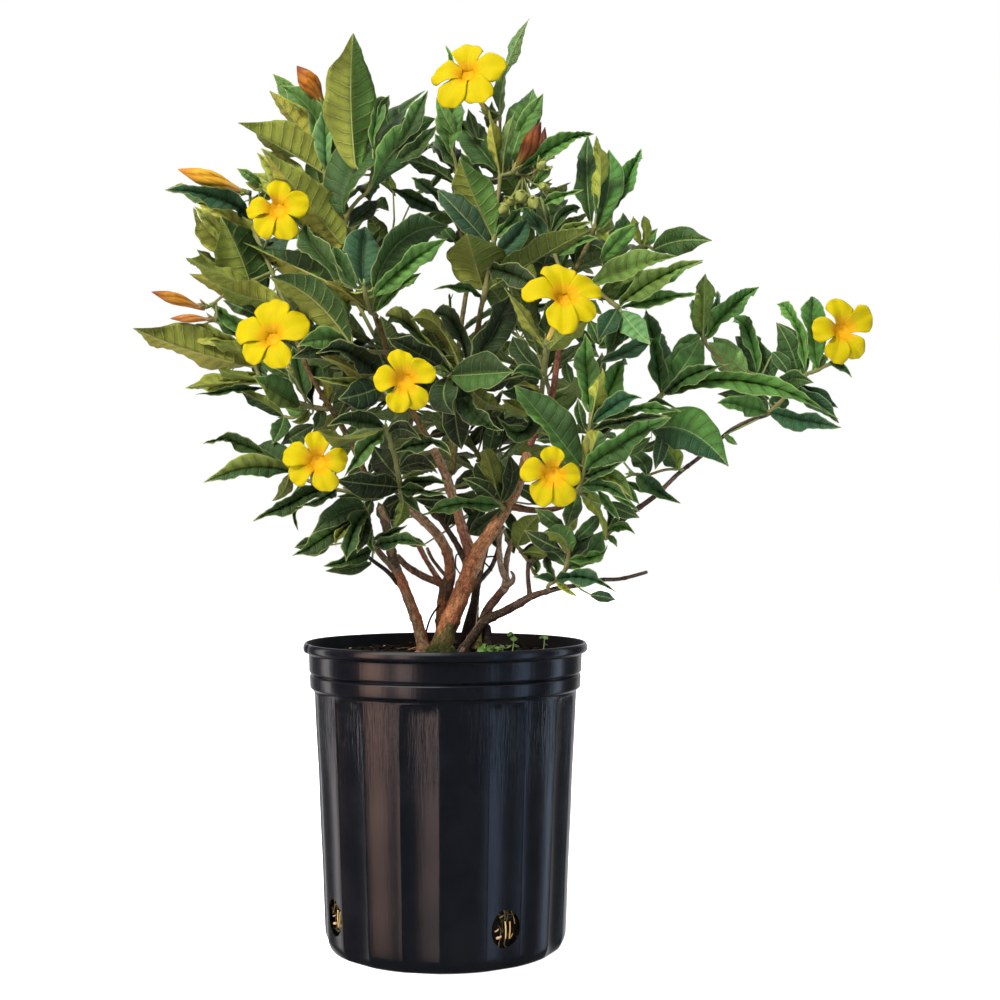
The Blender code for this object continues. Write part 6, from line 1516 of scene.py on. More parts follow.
# ------------------------------------------------------------ leaves
def width_at(t):
    body = np.sin(np.pi * np.clip(t, 0, 1) ** 0.92) ** 0.85
    taper = np.where(t < 0.72, 1.0, 1.0 - 0.45 * (np.clip(t - 0.72, 0, 1) / 0.28) ** 0.8)
    return np.nan_to_num(body) * taper


def leaf_curve(leaf, t):
    """Centre line, tangent, right and top vectors at parameters t (any shape)."""
    base, ctrl, tip = vec(leaf.base), vec(leaf.ctrl), vec(leaf.tip)
    t = np.asarray(t, float)[..., None]
    c = base * (1 - t) ** 2 + ctrl * (2 * t * (1 - t)) + tip * t ** 2
    tangent = unit((ctrl - base) * (1 - t) + (tip - ctrl) * t)
    look = unit(c - vec(EYE)) if leaf.look is None else np.broadcast_to(vec(leaf.look), c.shape)
    right = np.cross(look, tangent)
    weak = np.linalg.norm(right, axis=-1, keepdims=True) < 0.05
    right = unit(np.where(weak, np.cross((1.0, 0.0, 0.0), tangent), right))
    away = unit(np.cross(tangent, right))
    return c, tangent, right, away * (-1.0 if leaf.side == "T" else 1.0)


def fine_leaf(piece, leaf, start, full):
    rng = random.Random("leaf " + leaf.name)
    veins = int(max(5, min(12, round(leaf.length / 0.0092))))
    if full:
        rows = veins * 4 + 1
        s = np.array((-1.0, -0.8, -0.52, -0.22, 0.0, 0.22, 0.52, 0.8, 1.0))
    else:
        rows = veins * 2 + 1
        s = np.array((-1.0, -0.62, -0.25, 0.0, 0.25, 0.62, 1.0))
    cols = len(s)
    u, s = np.meshgrid(np.linspace(0.0, 1.0, rows), s, indexing="ij")
    ab = np.abs(s)
    t = 0.02 + 0.972 * np.clip(u + 0.085 * 4 * u * (1 - u) * ab ** 1.3, 0, 1)
    c, tangent, right, top = leaf_curve(leaf, t)
    w = leaf.width * width_at(t)
    lobes = rng.uniform(3.2, 5.2)
    for side in (-1, 1):
        q1, q2 = rng.uniform(0, 6.28), rng.uniform(0, 6.28)
        notch = 0.050 * np.sin(2 * np.pi * 0.7 * lobes * t + q1) + 0.007 * np.sin(2 * np.pi * 1.6 * lobes * t + q2)
        w = w * (1 + np.where(s * side > 0, notch, 0.0))
    sgn = np.sign(s)[..., None]
    ang = np.where(s < 0, leaf.al, leaf.ar)[..., None]
    mid = (ab < 1e-6)[..., None]
    out = np.where(mid, 0.0, right * sgn * np.cos(ang) + top * np.sin(ang))
    nrm = np.where(mid, top, top * np.cos(ang) - right * sgn * np.sin(ang))
    scale = min(1.0, leaf.length / 0.09)
    bow = rng.uniform(0.08, 0.16) * w * 4 * ab * (1 - ab)
    lump = 0.00085 * np.minimum(1.0, w / 0.010) * (0.5 - 0.5 * np.cos(2 * np.pi * u * veins)) \
        * np.sin(np.pi * np.minimum(ab, 1.0)) ** 1.4 * 1.2
    amp = rng.uniform(0.0018, 0.0040) * scale
    wave = np.zeros_like(t)
    for side in (-1, 1):
        f1, p1, p2 = rng.uniform(1.3, 2.3), rng.uniform(0, 6.28), rng.uniform(0, 6.28)
        here = np.sin(2 * np.pi * f1 * t + p1) + 0.25 * np.sin(2 * np.pi * 2.4 * f1 * t + p2)
        wave += np.where(s * side > 0, here, 0.0)
    wave *= amp * ab ** 1.8 * np.minimum(1.0, w / 0.008)
    ripple = -0.00055 * scale * ab ** 3 * np.cos(2 * np.pi * u * veins) * np.minimum(1.0, w / 0.008)
    p = c + out * (w * ab)[..., None] + nrm * (bow + lump + wave + ripple)[..., None]
    curl = rng.uniform(-0.01, 0.05) * leaf.length
    p = p - top * (curl * (np.clip(t - 0.72, 0, 1) / 0.28) ** 2)[..., None]
    half = (0.00022 * (1 - 0.5 * ab))[..., None]
    hi = p + nrm * half - np.where(mid, top * 0.00025 * scale, 0.0)
    lo = p - nrm * half
    vein = np.stack([u * veins, ab * w * 1000.0, (1 - ab) * w * 1000.0], axis=-1)
    # tone of each half, with painted light and shade where the fold turns one half to the light and the other away,
    # and a little change from leaf to leaf
    a, b = TONES[leaf.tones[0]], TONES[leaf.tones[-1]]
    fac = np.clip(s * 4.5 * 0.5 + 0.5, 0, 1)[..., None]
    vary_and_painted_light = np.array((1 + rng.uniform(-0.08, 0.08), 1.0, 1 + rng.uniform(-0.10, 0.10))) * rng.uniform(0.80, 1.24)
    # painted shade on the back leaves
    if leaf.name[0] == "Z":
        vary_and_painted_light = vary_and_painted_light * 0.82
    # painted light on the outside of the bush and a painted patch of sun at the upper left, painted shade in the
    # middle of the bush, darker at the lower left, greener on the right
    across, down, _ = unplace(Vector(leaf_curve(leaf, np.array([0.5]))[0][0]))
    heart_shade = 1.0 - float(smoothstep(0.5, 1.3, math.hypot((across - 420.0) / 105.0, (down - 415.0) / 95.0)))
    fresh = float(smoothstep(540.0, 620.0, across))
    low = float(smoothstep(425.0, 495.0, down) * (1.0 - smoothstep(330.0, 385.0, across)))
    painted_sun = math.exp(-((across - 190.0) / 95.0) ** 2 - ((down - 205.0) / 55.0) ** 2)
    vary_and_painted_light = vary_and_painted_light * (1.26 - 0.60 * heart_shade) * (1.0 - 0.30 * low) * (1.0 + 0.32 * painted_sun)
    vary_and_painted_light = np.clip(vary_and_painted_light * np.array((1.0 - 0.14 * fresh, 1.0 + 0.05 * fresh, 1.0)), 0.4, 1.55)
    # painted light and shade along the blade: darker at its foot, lighter towards the tip
    tone = (a * (1 - fac) + b * fac) * vary_and_painted_light * (0.92 + 0.16 * t)[..., None]
    if leaf.side == "T":
        hi_tone, lo_tone = tone, tone * 0.95 + np.array((0.034, 0.044, 0.012))
    else:
        hi_tone, lo_tone = tone * np.array((0.45, 0.58, 0.50)), tone
    n = rows * cols
    flip = leaf.side != "T"
    quads_hi = grid(rows, cols, flip=flip)
    quads_lo = grid(rows, cols, flip=not flip, first=n)
    edge = ([k for k in range(cols)] + [i * cols + cols - 1 for i in range(1, rows)]
            + [(rows - 1) * cols + k for k in range(cols - 2, -1, -1)]
            + [i * cols for i in range(rows - 2, 0, -1)])
    edge = np.array(edge)
    nxt = np.roll(edge, -1)
    rim = np.stack([nxt, edge, edge + n, nxt + n], axis=1)
    if flip:
        rim = rim[:, ::-1]
    verts = np.concatenate([hi.reshape(-1, 3), lo.reshape(-1, 3)])
    tones = np.concatenate([hi_tone.reshape(-1, 3), lo_tone.reshape(-1, 3)])
    veins_all = np.concatenate([vein.reshape(-1, 3)] * 2)
    first = piece.count
    piece.add(verts, [quads_hi], 0, np.clip(tones, 0.002, 1), veins_all)
    for f, m in ((quads_lo, 1), (rim, 1)):
        piece.faces.setdefault(4, []).append((f + first, m, False))
    # petiole, running on as the midrib under the blade
    k = 9 if full else 6
    tt = np.linspace(0.05, 0.93, k)
    cc, _, _, tp = leaf_curve(leaf, tt)
    lift = curl * (np.clip(tt - 0.72, 0, 1) / 0.28) ** 2
    rib_r = np.interp(tt, (0.0, 0.3, 0.93), (0.00085, 0.00060, 0.00022)) * (0.75 + 0.25 * scale)
    under = cc - tp * (lift + 0.00022 + rib_r * 0.35)[:, None]
    base = vec(leaf.base)
    gap = np.linalg.norm(base - start)
    sag = np.array((0, 0, -1.0)) * min(0.0012, gap * 0.08)
    stem = [start, start + (base - start) * 0.35 + sag * 0.8, start + (base - start) * 0.7 + sag]
    path = np.concatenate([np.array(stem), under])
    rad = np.concatenate([[0.00125, 0.00095, 0.00092], rib_r])
    v, f = tube(path, rad, 6 if full else 5, cap=(0.0, 0.8))
    rib_tone = RIB * 0.72 + TONES[leaf.tones[0]] * 0.55
    piece.add(v, f, 2, rib_tone * vary_and_painted_light)


# Small leaves that only fill the bush: foot and tip across and down, half width, tones, place (front or back)
EXTRA = (
    (296, 205, 252, 172, 10, "O", "f"), (262, 340, 208, 302, 8, "G", "f"), (262, 318, 222, 300, 8, "D", "f"),
    (256, 352, 172, 327, 9, "YO", "f"), (292, 378, 258, 360, 7, "D", "f"), (262, 372, 184, 388, 8, "O", "f"),
    (315, 425, 280, 445, 8, "D", "f"), (312, 415, 284, 408, 7, "G", "f"), (312, 120, 272, 73, 10, "GL", "b"),
    (312, 185, 262, 148, 12, "O", "f"), (286, 194, 256, 152, 8, "O", "f"), (228, 240, 194, 206, 7, "O", "f"), (395, 150, 428, 90, 9, "LG", "f"), (455, 135, 436, 96, 8, "G", "f"),
    (392, 165, 438, 124, 8, "G", "f"), (378, 130, 390, 94, 6, "D", "f"), (478, 140, 468, 108, 6, "D", "f"),
    (498, 150, 492, 100, 6, "D", "f"), (512, 150, 544, 92, 12, "G", "f"),
    (492, 195, 455, 148, 7, "D", "b"), (530, 190, 553, 165, 5, "G", "f"), (600, 262, 640, 222, 10, "G", "f"),
    (606, 258, 628, 225, 9, "GL", "f"), (640, 255, 658, 228, 6, "G", "f"), (598, 300, 645, 268, 12, "H", "f"),
    (612, 300, 704, 262, 9, "G", "f"), (596, 352, 566, 325, 8, "B", "b"), (600, 362, 655, 338, 9, "B", "f"),
    (598, 348, 640, 318, 10, "D", "f"), (572, 385, 566, 360, 7, "D", "b"), (600, 380, 602, 352, 6, "D", "f"),
    (668, 385, 700, 338, 14, "G", "f"), (745, 372, 712, 336, 12, "GL", "f"), (798, 372, 776, 322, 11, "D", "f"),
    (788, 386, 840, 424, 9, "B", "f"), (768, 402, 717, 394, 9, "D", "f"), (724, 434, 738, 445, 4, "G", "f"),
    (664, 428, 655, 470, 8, "B", "f"), (585, 430, 578, 398, 6, "D", "f"), (600, 478, 640, 512, 5, "G", "f"),
    (612, 480, 652, 492, 5, "D", "f"), (598, 490, 620, 520, 5, "G", "f"), (565, 530, 535, 508, 9, "D", "f"),
    (575, 540, 602, 512, 8, "D", "f"), (545, 505, 515, 485, 9, "K", "b"), (562, 550, 524, 530, 9, "K", "f"),
    (520, 535, 505, 508, 6, "D", "f"), (485, 505, 468, 538, 8, "K", "b"), (480, 468, 452, 490, 8, "K", "b"),
    (485, 425, 470, 450, 7, "D", "b"), (450, 500, 412, 498, 9, "K", "b"), (455, 500, 444, 530, 6, "K", "b"),
    (405, 495, 378, 510, 9, "K", "b"), (400, 500, 392, 528, 6, "K", "b"), (385, 498, 335, 496, 5, "D", "f"),
    (380, 450, 368, 476, 6, "K", "b"), (365, 465, 345, 480, 5, "D", "b"), (450, 430, 428, 437, 6, "K", "b"),
    (510, 378, 484, 392, 8, "K", "b"), (372, 563, 325, 571, 8, "D", "f"),
    (262, 238, 190, 198, 12, "YO", "f"), (232, 205, 166, 188, 7, "D", "f"), (262, 186, 236, 168, 5, "G", "f"),
    (268, 192, 244, 182, 5, "O", "f"), (600, 345, 588, 318, 8, "D", "f"), (672, 352, 702, 332, 8, "G", "f"),
    (772, 352, 790, 376, 8, "D", "f"), (770, 398, 722, 400, 8, "D", "f"), (795, 384, 838, 408, 8, "B", "f"),
    (608, 478, 640, 505, 6, "G", "f"), (590, 595, 616, 600, 6, "B", "f"), (430, 505, 455, 520, 7, "K", "b"),
    (475, 515, 463, 500, 8, "K", "b"), (372, 500, 364, 520, 7, "K", "f"), (425, 545, 400, 538, 6, "D", "b"),
    (455, 242, 442, 226, 7, "D", "b"), (330, 545, 300, 550, 8, "D", "f"), (540, 545, 522, 552, 5, "K", "f"),
    (660, 440, 640, 452, 5, "D", "f"), (512, 545, 520, 520, 6, "K", "b"), (388, 522, 378, 502, 8, "K", "b"),
    (458, 524, 424, 506, 9, "K", "b"), (500, 550, 485, 526, 6, "K", "b"), (514, 554, 505, 526, 6, "K", "b"),
    (562, 440, 535, 441, 5, "K", "f"), (592, 452, 582, 434, 5, "D", "f"), (604, 504, 640, 518, 8, "D", "f"),
    (620, 456, 652, 436, 7, "D", "f"), (545, 552, 518, 552, 8, "K", "b"), (322, 540, 294, 548, 7, "D", "f"),
)
# leaves at the back that would close the openings of the crown
OPEN = ("Z102", "Z95", "Z87", "Z83", "Z108", "Z103")


# tones of the fine leaves that differ from the plain list
REPAINT = {"L26b": "M", "L1": "H", "L5b": "D", "Q1": "DO", "Q9a": "D", "Q9b": "DG", "Q6": "D", "A6": "M",
           "X8": "G", "X12": "GD", "X14": "D", "A9": "GD", "T3": "GD", "A1": "OG", "A19": "ML", "E5": "OH", "Q7": "M", "H10b": "G",
           "T2": "YL", "M12": "D", "S2": "H", "S20": "H", "R2": "H"}
BEHIND = {"G2": -0.020, "T2": -0.014, "D3": 0.034, "B2": 0.112, "A23": 0.034, "A2": 0.040, "V8": 0.088, "V13": 0.062}


def extra_leaves(twigs):
    spots = []
    for shoot, runs in twigs.items():
        for run in runs:
            for (p, _), (q, _) in zip(run, run[1:]):
                for k in range(6):
                    at = p.lerp(q, k / 6.0)
                    spots.append((shoot, at, unplace(at)))
    out = []
    for k, (u0, v0, u1, v1, w, tones, where) in enumerate(EXTRA):
        rng = random.Random("extra %d" % k)
        back = where == "b"
        best = min((x for x in spots if x[0].startswith("back") == back),
                   key=lambda x: math.hypot(x[2][0] - u0, x[2][1] - v0))
        shoot, at, (_, _, depth) = best
        d0 = depth + rng.uniform(2, 10)
        d1 = d0 + rng.uniform(-12, 22)
        base, tip = place(u0, v0, d0), place(u1, v1, d1)
        n = Vector((-(v1 - v0), u1 - u0)).normalized() * rng.uniform(-0.06, 0.06) * math.hypot(u1 - u0, v1 - v0)
        mid = place((u0 + u1) / 2 + n[0], (v0 + v1) / 2 + n[1], (d0 + d1) / 2 - 4)
        half = w * (base.y - EYE.y) / FOCAL
        name = "X%d" % k
        out.append(Leaf(name, shoot, at, base, mid, tip, half * rng.uniform(0.8, 1.0), half * rng.uniform(0.8, 1.0),
                        "T", tones))
    return out


def middle_leaves(twigs):
    """Leaves that lean into the middle from both sides, so that the bush is full from its sides too."""
    rng, out = random.Random("middle"), []
    for shoot in ("back_left", "back_right", "back_low"):
        for run in twigs[shoot]:
            gone = 0.0
            for (p, _), (q, _) in zip(run, run[1:]):
                gone += (q - p).length
                if gone < 0.011:
                    continue
                gone = 0.0
                way = Vector((rng.uniform(-0.8, 0.8), -1.0, rng.uniform(-0.15, 0.75))).normalized()
                size = rng.uniform(0.058, 0.088)
                base = p + way * 0.010
                tip = base + way * size + Vector((0, 0, -0.15 * size))
                mid = base + way * (0.52 * size) + Vector((0, 0, 0.05 * size))
                half = size * rng.uniform(0.17, 0.22)
                wide = way.cross(Vector((0, 0, 1))).normalized() * half * 1.15
                if not hidden_ok([base, mid + wide, mid - wide, tip]) or unplace(tip)[2] < 2.0:
                    continue
                look = Vector((rng.uniform(-0.3, 0.3), 0.45, -1.0)).normalized()
                out.append(Leaf("XB%d" % len(out), shoot, p, base, mid, tip, half, half * rng.uniform(0.8, 1.0),
                                "T", rng.choice(("D", "D", "K", "G", "B")), look))
    for shoot, runs in twigs.items():
        if shoot.startswith("back"):
            continue
        for run in runs:
            gone = 0.0
            for (p, _), (q, _) in zip(run, run[1:]):
                gone += (q - p).length
                if gone < 0.013:
                    continue
                gone = 0.0
                way = Vector((rng.uniform(-0.7, 0.7), 1.0, rng.uniform(-0.1, 0.9))).normalized()
                size = rng.uniform(0.050, 0.082)
                base = p + way * 0.010
                tip = base + way * size + Vector((0, 0, -0.12 * size))
                mid = base + way * (0.52 * size) + Vector((0, 0, 0.05 * size))
                half = size * rng.uniform(0.17, 0.22)
                wide = way.cross(Vector((0, 0, 1))).normalized() * half * 1.3
                if not hidden_ok([base, mid + wide, mid - wide, tip + wide * 0.5, tip - wide * 0.5]):
                    continue
                if unplace(tip)[2] < 8.0 or unplace(tip)[2] > 95.0:
                    continue
                look = Vector((rng.uniform(-0.3, 0.3), -0.35, -1.0)).normalized()
                out.append(Leaf("XF%d" % len(out), shoot, p, base, mid, tip, half, half * rng.uniform(0.8, 1.0),
                                "T", rng.choice(("D", "D", "K", "G", "B")), look))
    return out


def small_blade(piece, start, way, face, length, width, mat, tone, thick=0.0005, curve=0.0, rows=7):
    """A little closed blade: sepal, bract or seedling leaf."""
    way, face = unit(np.asarray(way, float)), np.asarray(face, float)
    face = unit(face - way * face.dot(way))
    side = np.cross(way, face)
    t = np.linspace(0.0, 1.0, rows)
    s = np.array((-1.0, -0.5, 0.0, 0.5, 1.0))
    t, s = np.meshgrid(t, s, indexing="ij")
    w = width * (0.30 + 0.70 * np.sin(np.pi * np.clip(t * 0.86 + 0.12, 0, 1)) ** 0.8) * (1 - 0.80 * t ** 4)
    p = (start + way * (length * t)[..., None] + side * (w * s)[..., None]
         + face * (curve * t ** 2 - 0.22 * w * np.abs(s) ** 2)[..., None])
    hi, lo = p + face * thick * 0.5, p - face * thick * 0.5
    n = t.size
    edge = ([k for k in range(5)] + [i * 5 + 4 for i in range(1, rows)]
            + [(rows - 1) * 5 + k for k in range(3, -1, -1)] + [i * 5 for i in range(rows - 2, 0, -1)])
    edge = np.array(edge)
    nxt = np.roll(edge, -1)
    faces = np.concatenate([grid(rows, 5), grid(rows, 5, flip=True, first=n),
                            np.stack([nxt, edge, edge + n, nxt + n], axis=1)])
    vein = np.stack([t * 4, np.abs(s) * w * 1000, (1 - np.abs(s)) * w * 1000], axis=-1).reshape(-1, 3)
    piece.add(np.concatenate([hi.reshape(-1, 3), lo.reshape(-1, 3)]), [faces], mat, tone,
              np.concatenate([vein, vein]))


# ------------------------------------------------------------ twigs and stalks
def closest(paths, point):
    """Nearest point on dense paths: (distance, point, path index, row)."""
    best = None
    for k, p in enumerate(paths):
        d = np.linalg.norm(p - point, axis=1)
        i = int(d.argmin())
        if best is None or d[i] < best[0]:
            best = (float(d[i]), p[i], k, i)
    return best


def make_shoot(shoot, runs, leaves, stalks, stem_paths, mats):
    node = shoot if shoot.startswith("back") else "shoot_" + shoot
    piece = Piece("leafy_" + shoot, mats)
    full = not shoot.startswith("back")
    paths, radii = [], []
    for k, run in enumerate(runs):
        pts = list(run)
        p0 = vec(pts[0][0])
        if k == 0:
            d, q, _, _ = closest(stem_paths, p0)
            if 0.0005 < d < 0.016:
                pts = [(Vector(q), pts[0][1])] + pts
        else:
            d, q, _, _ = closest(paths, p0)
            if d > 0.0005:
                pts = [(Vector(q), pts[0][1])] + pts
        p, r, s = smooth_path(pts, 0.0022)
        paths.append(p)
        radii.append((r, s))
    marks = [[] for _ in runs]
    starts = {}
    for leaf in leaves:
        d, q, k, i = closest(paths, vec(leaf.attach))
        marks[k].append(radii[k][1][i])
        starts[leaf.name] = q
    rng = random.Random("twig " + shoot)
    for k, p in enumerate(paths):
        r, s = radii[k]
        swell = np.ones_like(r)
        for m in marks[k]:
            swell = np.maximum(swell, 1.0 + 0.38 * np.exp(-((s - m) / 0.0021) ** 2))
        ang = 2 * np.pi * np.arange(10) / 10
        ridge = 1.0 + 0.04 * np.cos(2 * ang + rng.uniform(0, 6))[None, :]
        tone = TWIG_GREEN * (1 - smoothstep(0.0, 0.05, 0.03 - s)[:, None] * 0) + 0 * s[:, None]
        low = np.exp(-s / 0.035)[:, None] if k == 0 else 0.0 * s[:, None]
        tone = tone * (1 - low) + TWIG_BROWN * low
        v, f = tube(p, r, 10, shape=swell[:, None] * ridge, cap=(0.4, 0.8))
        rows = np.concatenate([[0], np.arange(len(p)), [len(p) - 1]])
        tone = np.concatenate([np.repeat(tone[rows], 10, axis=0), tone[:1], tone[-1:]])
        piece.add(v, f, 2, tone)
        # bud scales at the end of the twig
        d_end = unit(p[-1] - p[-2])
        side = unit(np.cross(d_end, (0.3, 0.2, 0.9)))
        for j in range(3):
            a = 2.1 * j + rng.uniform(0, 1)
            o = side * math.cos(a) + np.cross(d_end, side) * math.sin(a)
            small_blade(piece, p[-1] - d_end * 0.001, d_end + o * 0.35, -o, rng.uniform(0.005, 0.010),
                        rng.uniform(0.0010, 0.0016), 0, TONES["G"] * 1.3, 0.0004, -0.0006)
    for leaf in leaves:
        fine_leaf(piece, leaf, starts[leaf.name], full and leaf.name[:2] != "XF")
    for name, _, pts, cup in stalks:
        d, q, _, _ = closest(paths, vec(pts[0][0]))
        line = [(Vector(q), 0.0013)] + [(pts[1][0], 0.00115)] + [(pts[2][0], 0.0013)] + list(cup[1:])
        p, r, s = smooth_path(line, 0.0016)
        flower = name.startswith("flower")
        tone = (TWIG_GREEN * 1.1) if flower else TWIG_GREEN * 0.9
        v, f = tube(p, r, 8, cap=(0.3, 0.5))
        piece.add(v, f, 2, tone)
        way = unit(p[-1] - p[-3])
        add_sepals(piece, p[-1] - way * 0.0012, way, name)
    if shoot == "a4":
        add_green_buds(piece, paths)
    piece.show(node)
    return paths


def add_sepals(piece, at, way, name):
    rng = random.Random("sepal " + name)
    side = unit(np.cross(way, (0.2, 0.9, 0.3)))
    up = np.cross(way, side)
    flower = name.startswith("flower")
    young = name.startswith("green")
    length = 0.0088 if flower else 0.0120 if young else 0.0095
    for k in range(5):
        a = 2 * math.pi * k / 5 + rng.uniform(-0.2, 0.2)
        o = side * math.cos(a) + up * math.sin(a)
        tone = np.array((0.17, 0.21, 0.045)) if k % 2 else np.array((0.13, 0.19, 0.040))
        if name in ("bud_amber_upper", "bud_amber_lower"):
            tone = lin(112, 42, 46)
        if name.startswith("bud_red"):
            tone = lin(120, 92, 52)
        if young:
            tone = np.array((0.26, 0.33, 0.085)) if k % 2 else np.array((0.18, 0.25, 0.055))
        small_blade(piece, at + o * 0.0012, way + o * (rng.uniform(0.55, 0.75) if young else rng.uniform(0.22, 0.40)), o,
                    length * rng.uniform(0.85, 1.1), 0.0030 if young else 0.0017, 0, tone * rng.uniform(0.85, 1.15),
                    0.0005, rng.uniform(0.0002, 0.0014))


def spindle(t):
    return np.interp(t, (0.0, 0.04, 0.12, 0.25, 0.42, 0.58, 0.72, 0.84, 0.93, 1.0),
                     (0.10, 0.26, 0.36, 0.52, 0.86, 1.0, 0.86, 0.56, 0.28, 0.05))


YOUNG = ((504, 208, -56, 6.6), (510, 201, -50, 5.6), (521, 196, -52, 7.2), (533, 202, -50, 7.4),
         (543.5, 187, -38, 5.6), (541, 166, -46, 5.2))


def add_green_buds(piece, paths):
    """A cluster of young round buds on short stalks."""
    hub = vec(place(519, 184, -34))
    d, q, _, _ = closest(paths, hub)
    for k, (u, v, depth, rad) in enumerate(YOUNG):
        c = vec(place(u, v, depth))
        r = rad * 0.00086
        mid = (q + c) / 2 + np.array((0, 0, -0.002))
        p, rr, s = smooth_path([(Vector(q), 0.0011), (Vector(mid), 0.0009), (Vector(c), 0.0010)], 0.0016)
        v_, f_ = tube(p, rr, 8, cap=(0.3, 0.3))
        piece.add(v_, f_, 2, TWIG_GREEN)
        way = unit(p[-1] - p[-3])
        a0, b0 = c - way * r * 0.9, c + way * r * 1.5
        t = np.linspace(0.0, 1.0, 14)
        line = a0 + (b0 - a0) * t[:, None]
        radius = r * np.interp(t, (0.0, 0.1, 0.3, 0.5, 0.68, 0.84, 1.0), (0.34, 0.68, 0.94, 0.96, 0.76, 0.42, 0.08))
        ang = 2 * np.pi * np.arange(20) / 20
        shape = 1.0 - 0.10 * (1 - np.abs(np.sin(2.5 * (ang[None, :] + 1.6 * t[:, None])))) ** 2
        v_, f_ = tube(line, radius, 20, shape=shape, cap=(0.1, 0.1))
        piece.add(v_, f_, 2, np.array((0.235, 0.275, 0.050)))
        add_sepals(piece, c - way * r * 0.9, way, "green %d" % k)


# ------------------------------------------------------------ flowers and buds
YELLOW = np.array((0.372, 0.306, 0.0008))
YELLOW_EDGE = np.array((0.400, 0.322, 0.0022))
THROAT = np.array((0.46, 0.262, 0.004))
TUBE = np.array((0.46, 0.28, 0.050))


def ring_solid(rows):
    """Closed surface through rings of equal size, fanned shut at both ends."""
    rows = np.array(rows)
    m, n = rows.shape[0], rows.shape[1]
    verts = np.concatenate([rows.reshape(-1, 3), rows[0].mean(0)[None], rows[-1].mean(0)[None]])
    k = np.arange(n)
    tris = np.concatenate([np.stack([(k + 1) % n, k, np.full(n, m * n)], axis=1),
                           np.stack([(m - 1) * n + k, (m - 1) * n + (k + 1) % n,
                                     np.full(n, m * n + 1)], axis=1)])
    return verts, [grid(m, n, wrap=True), tris]


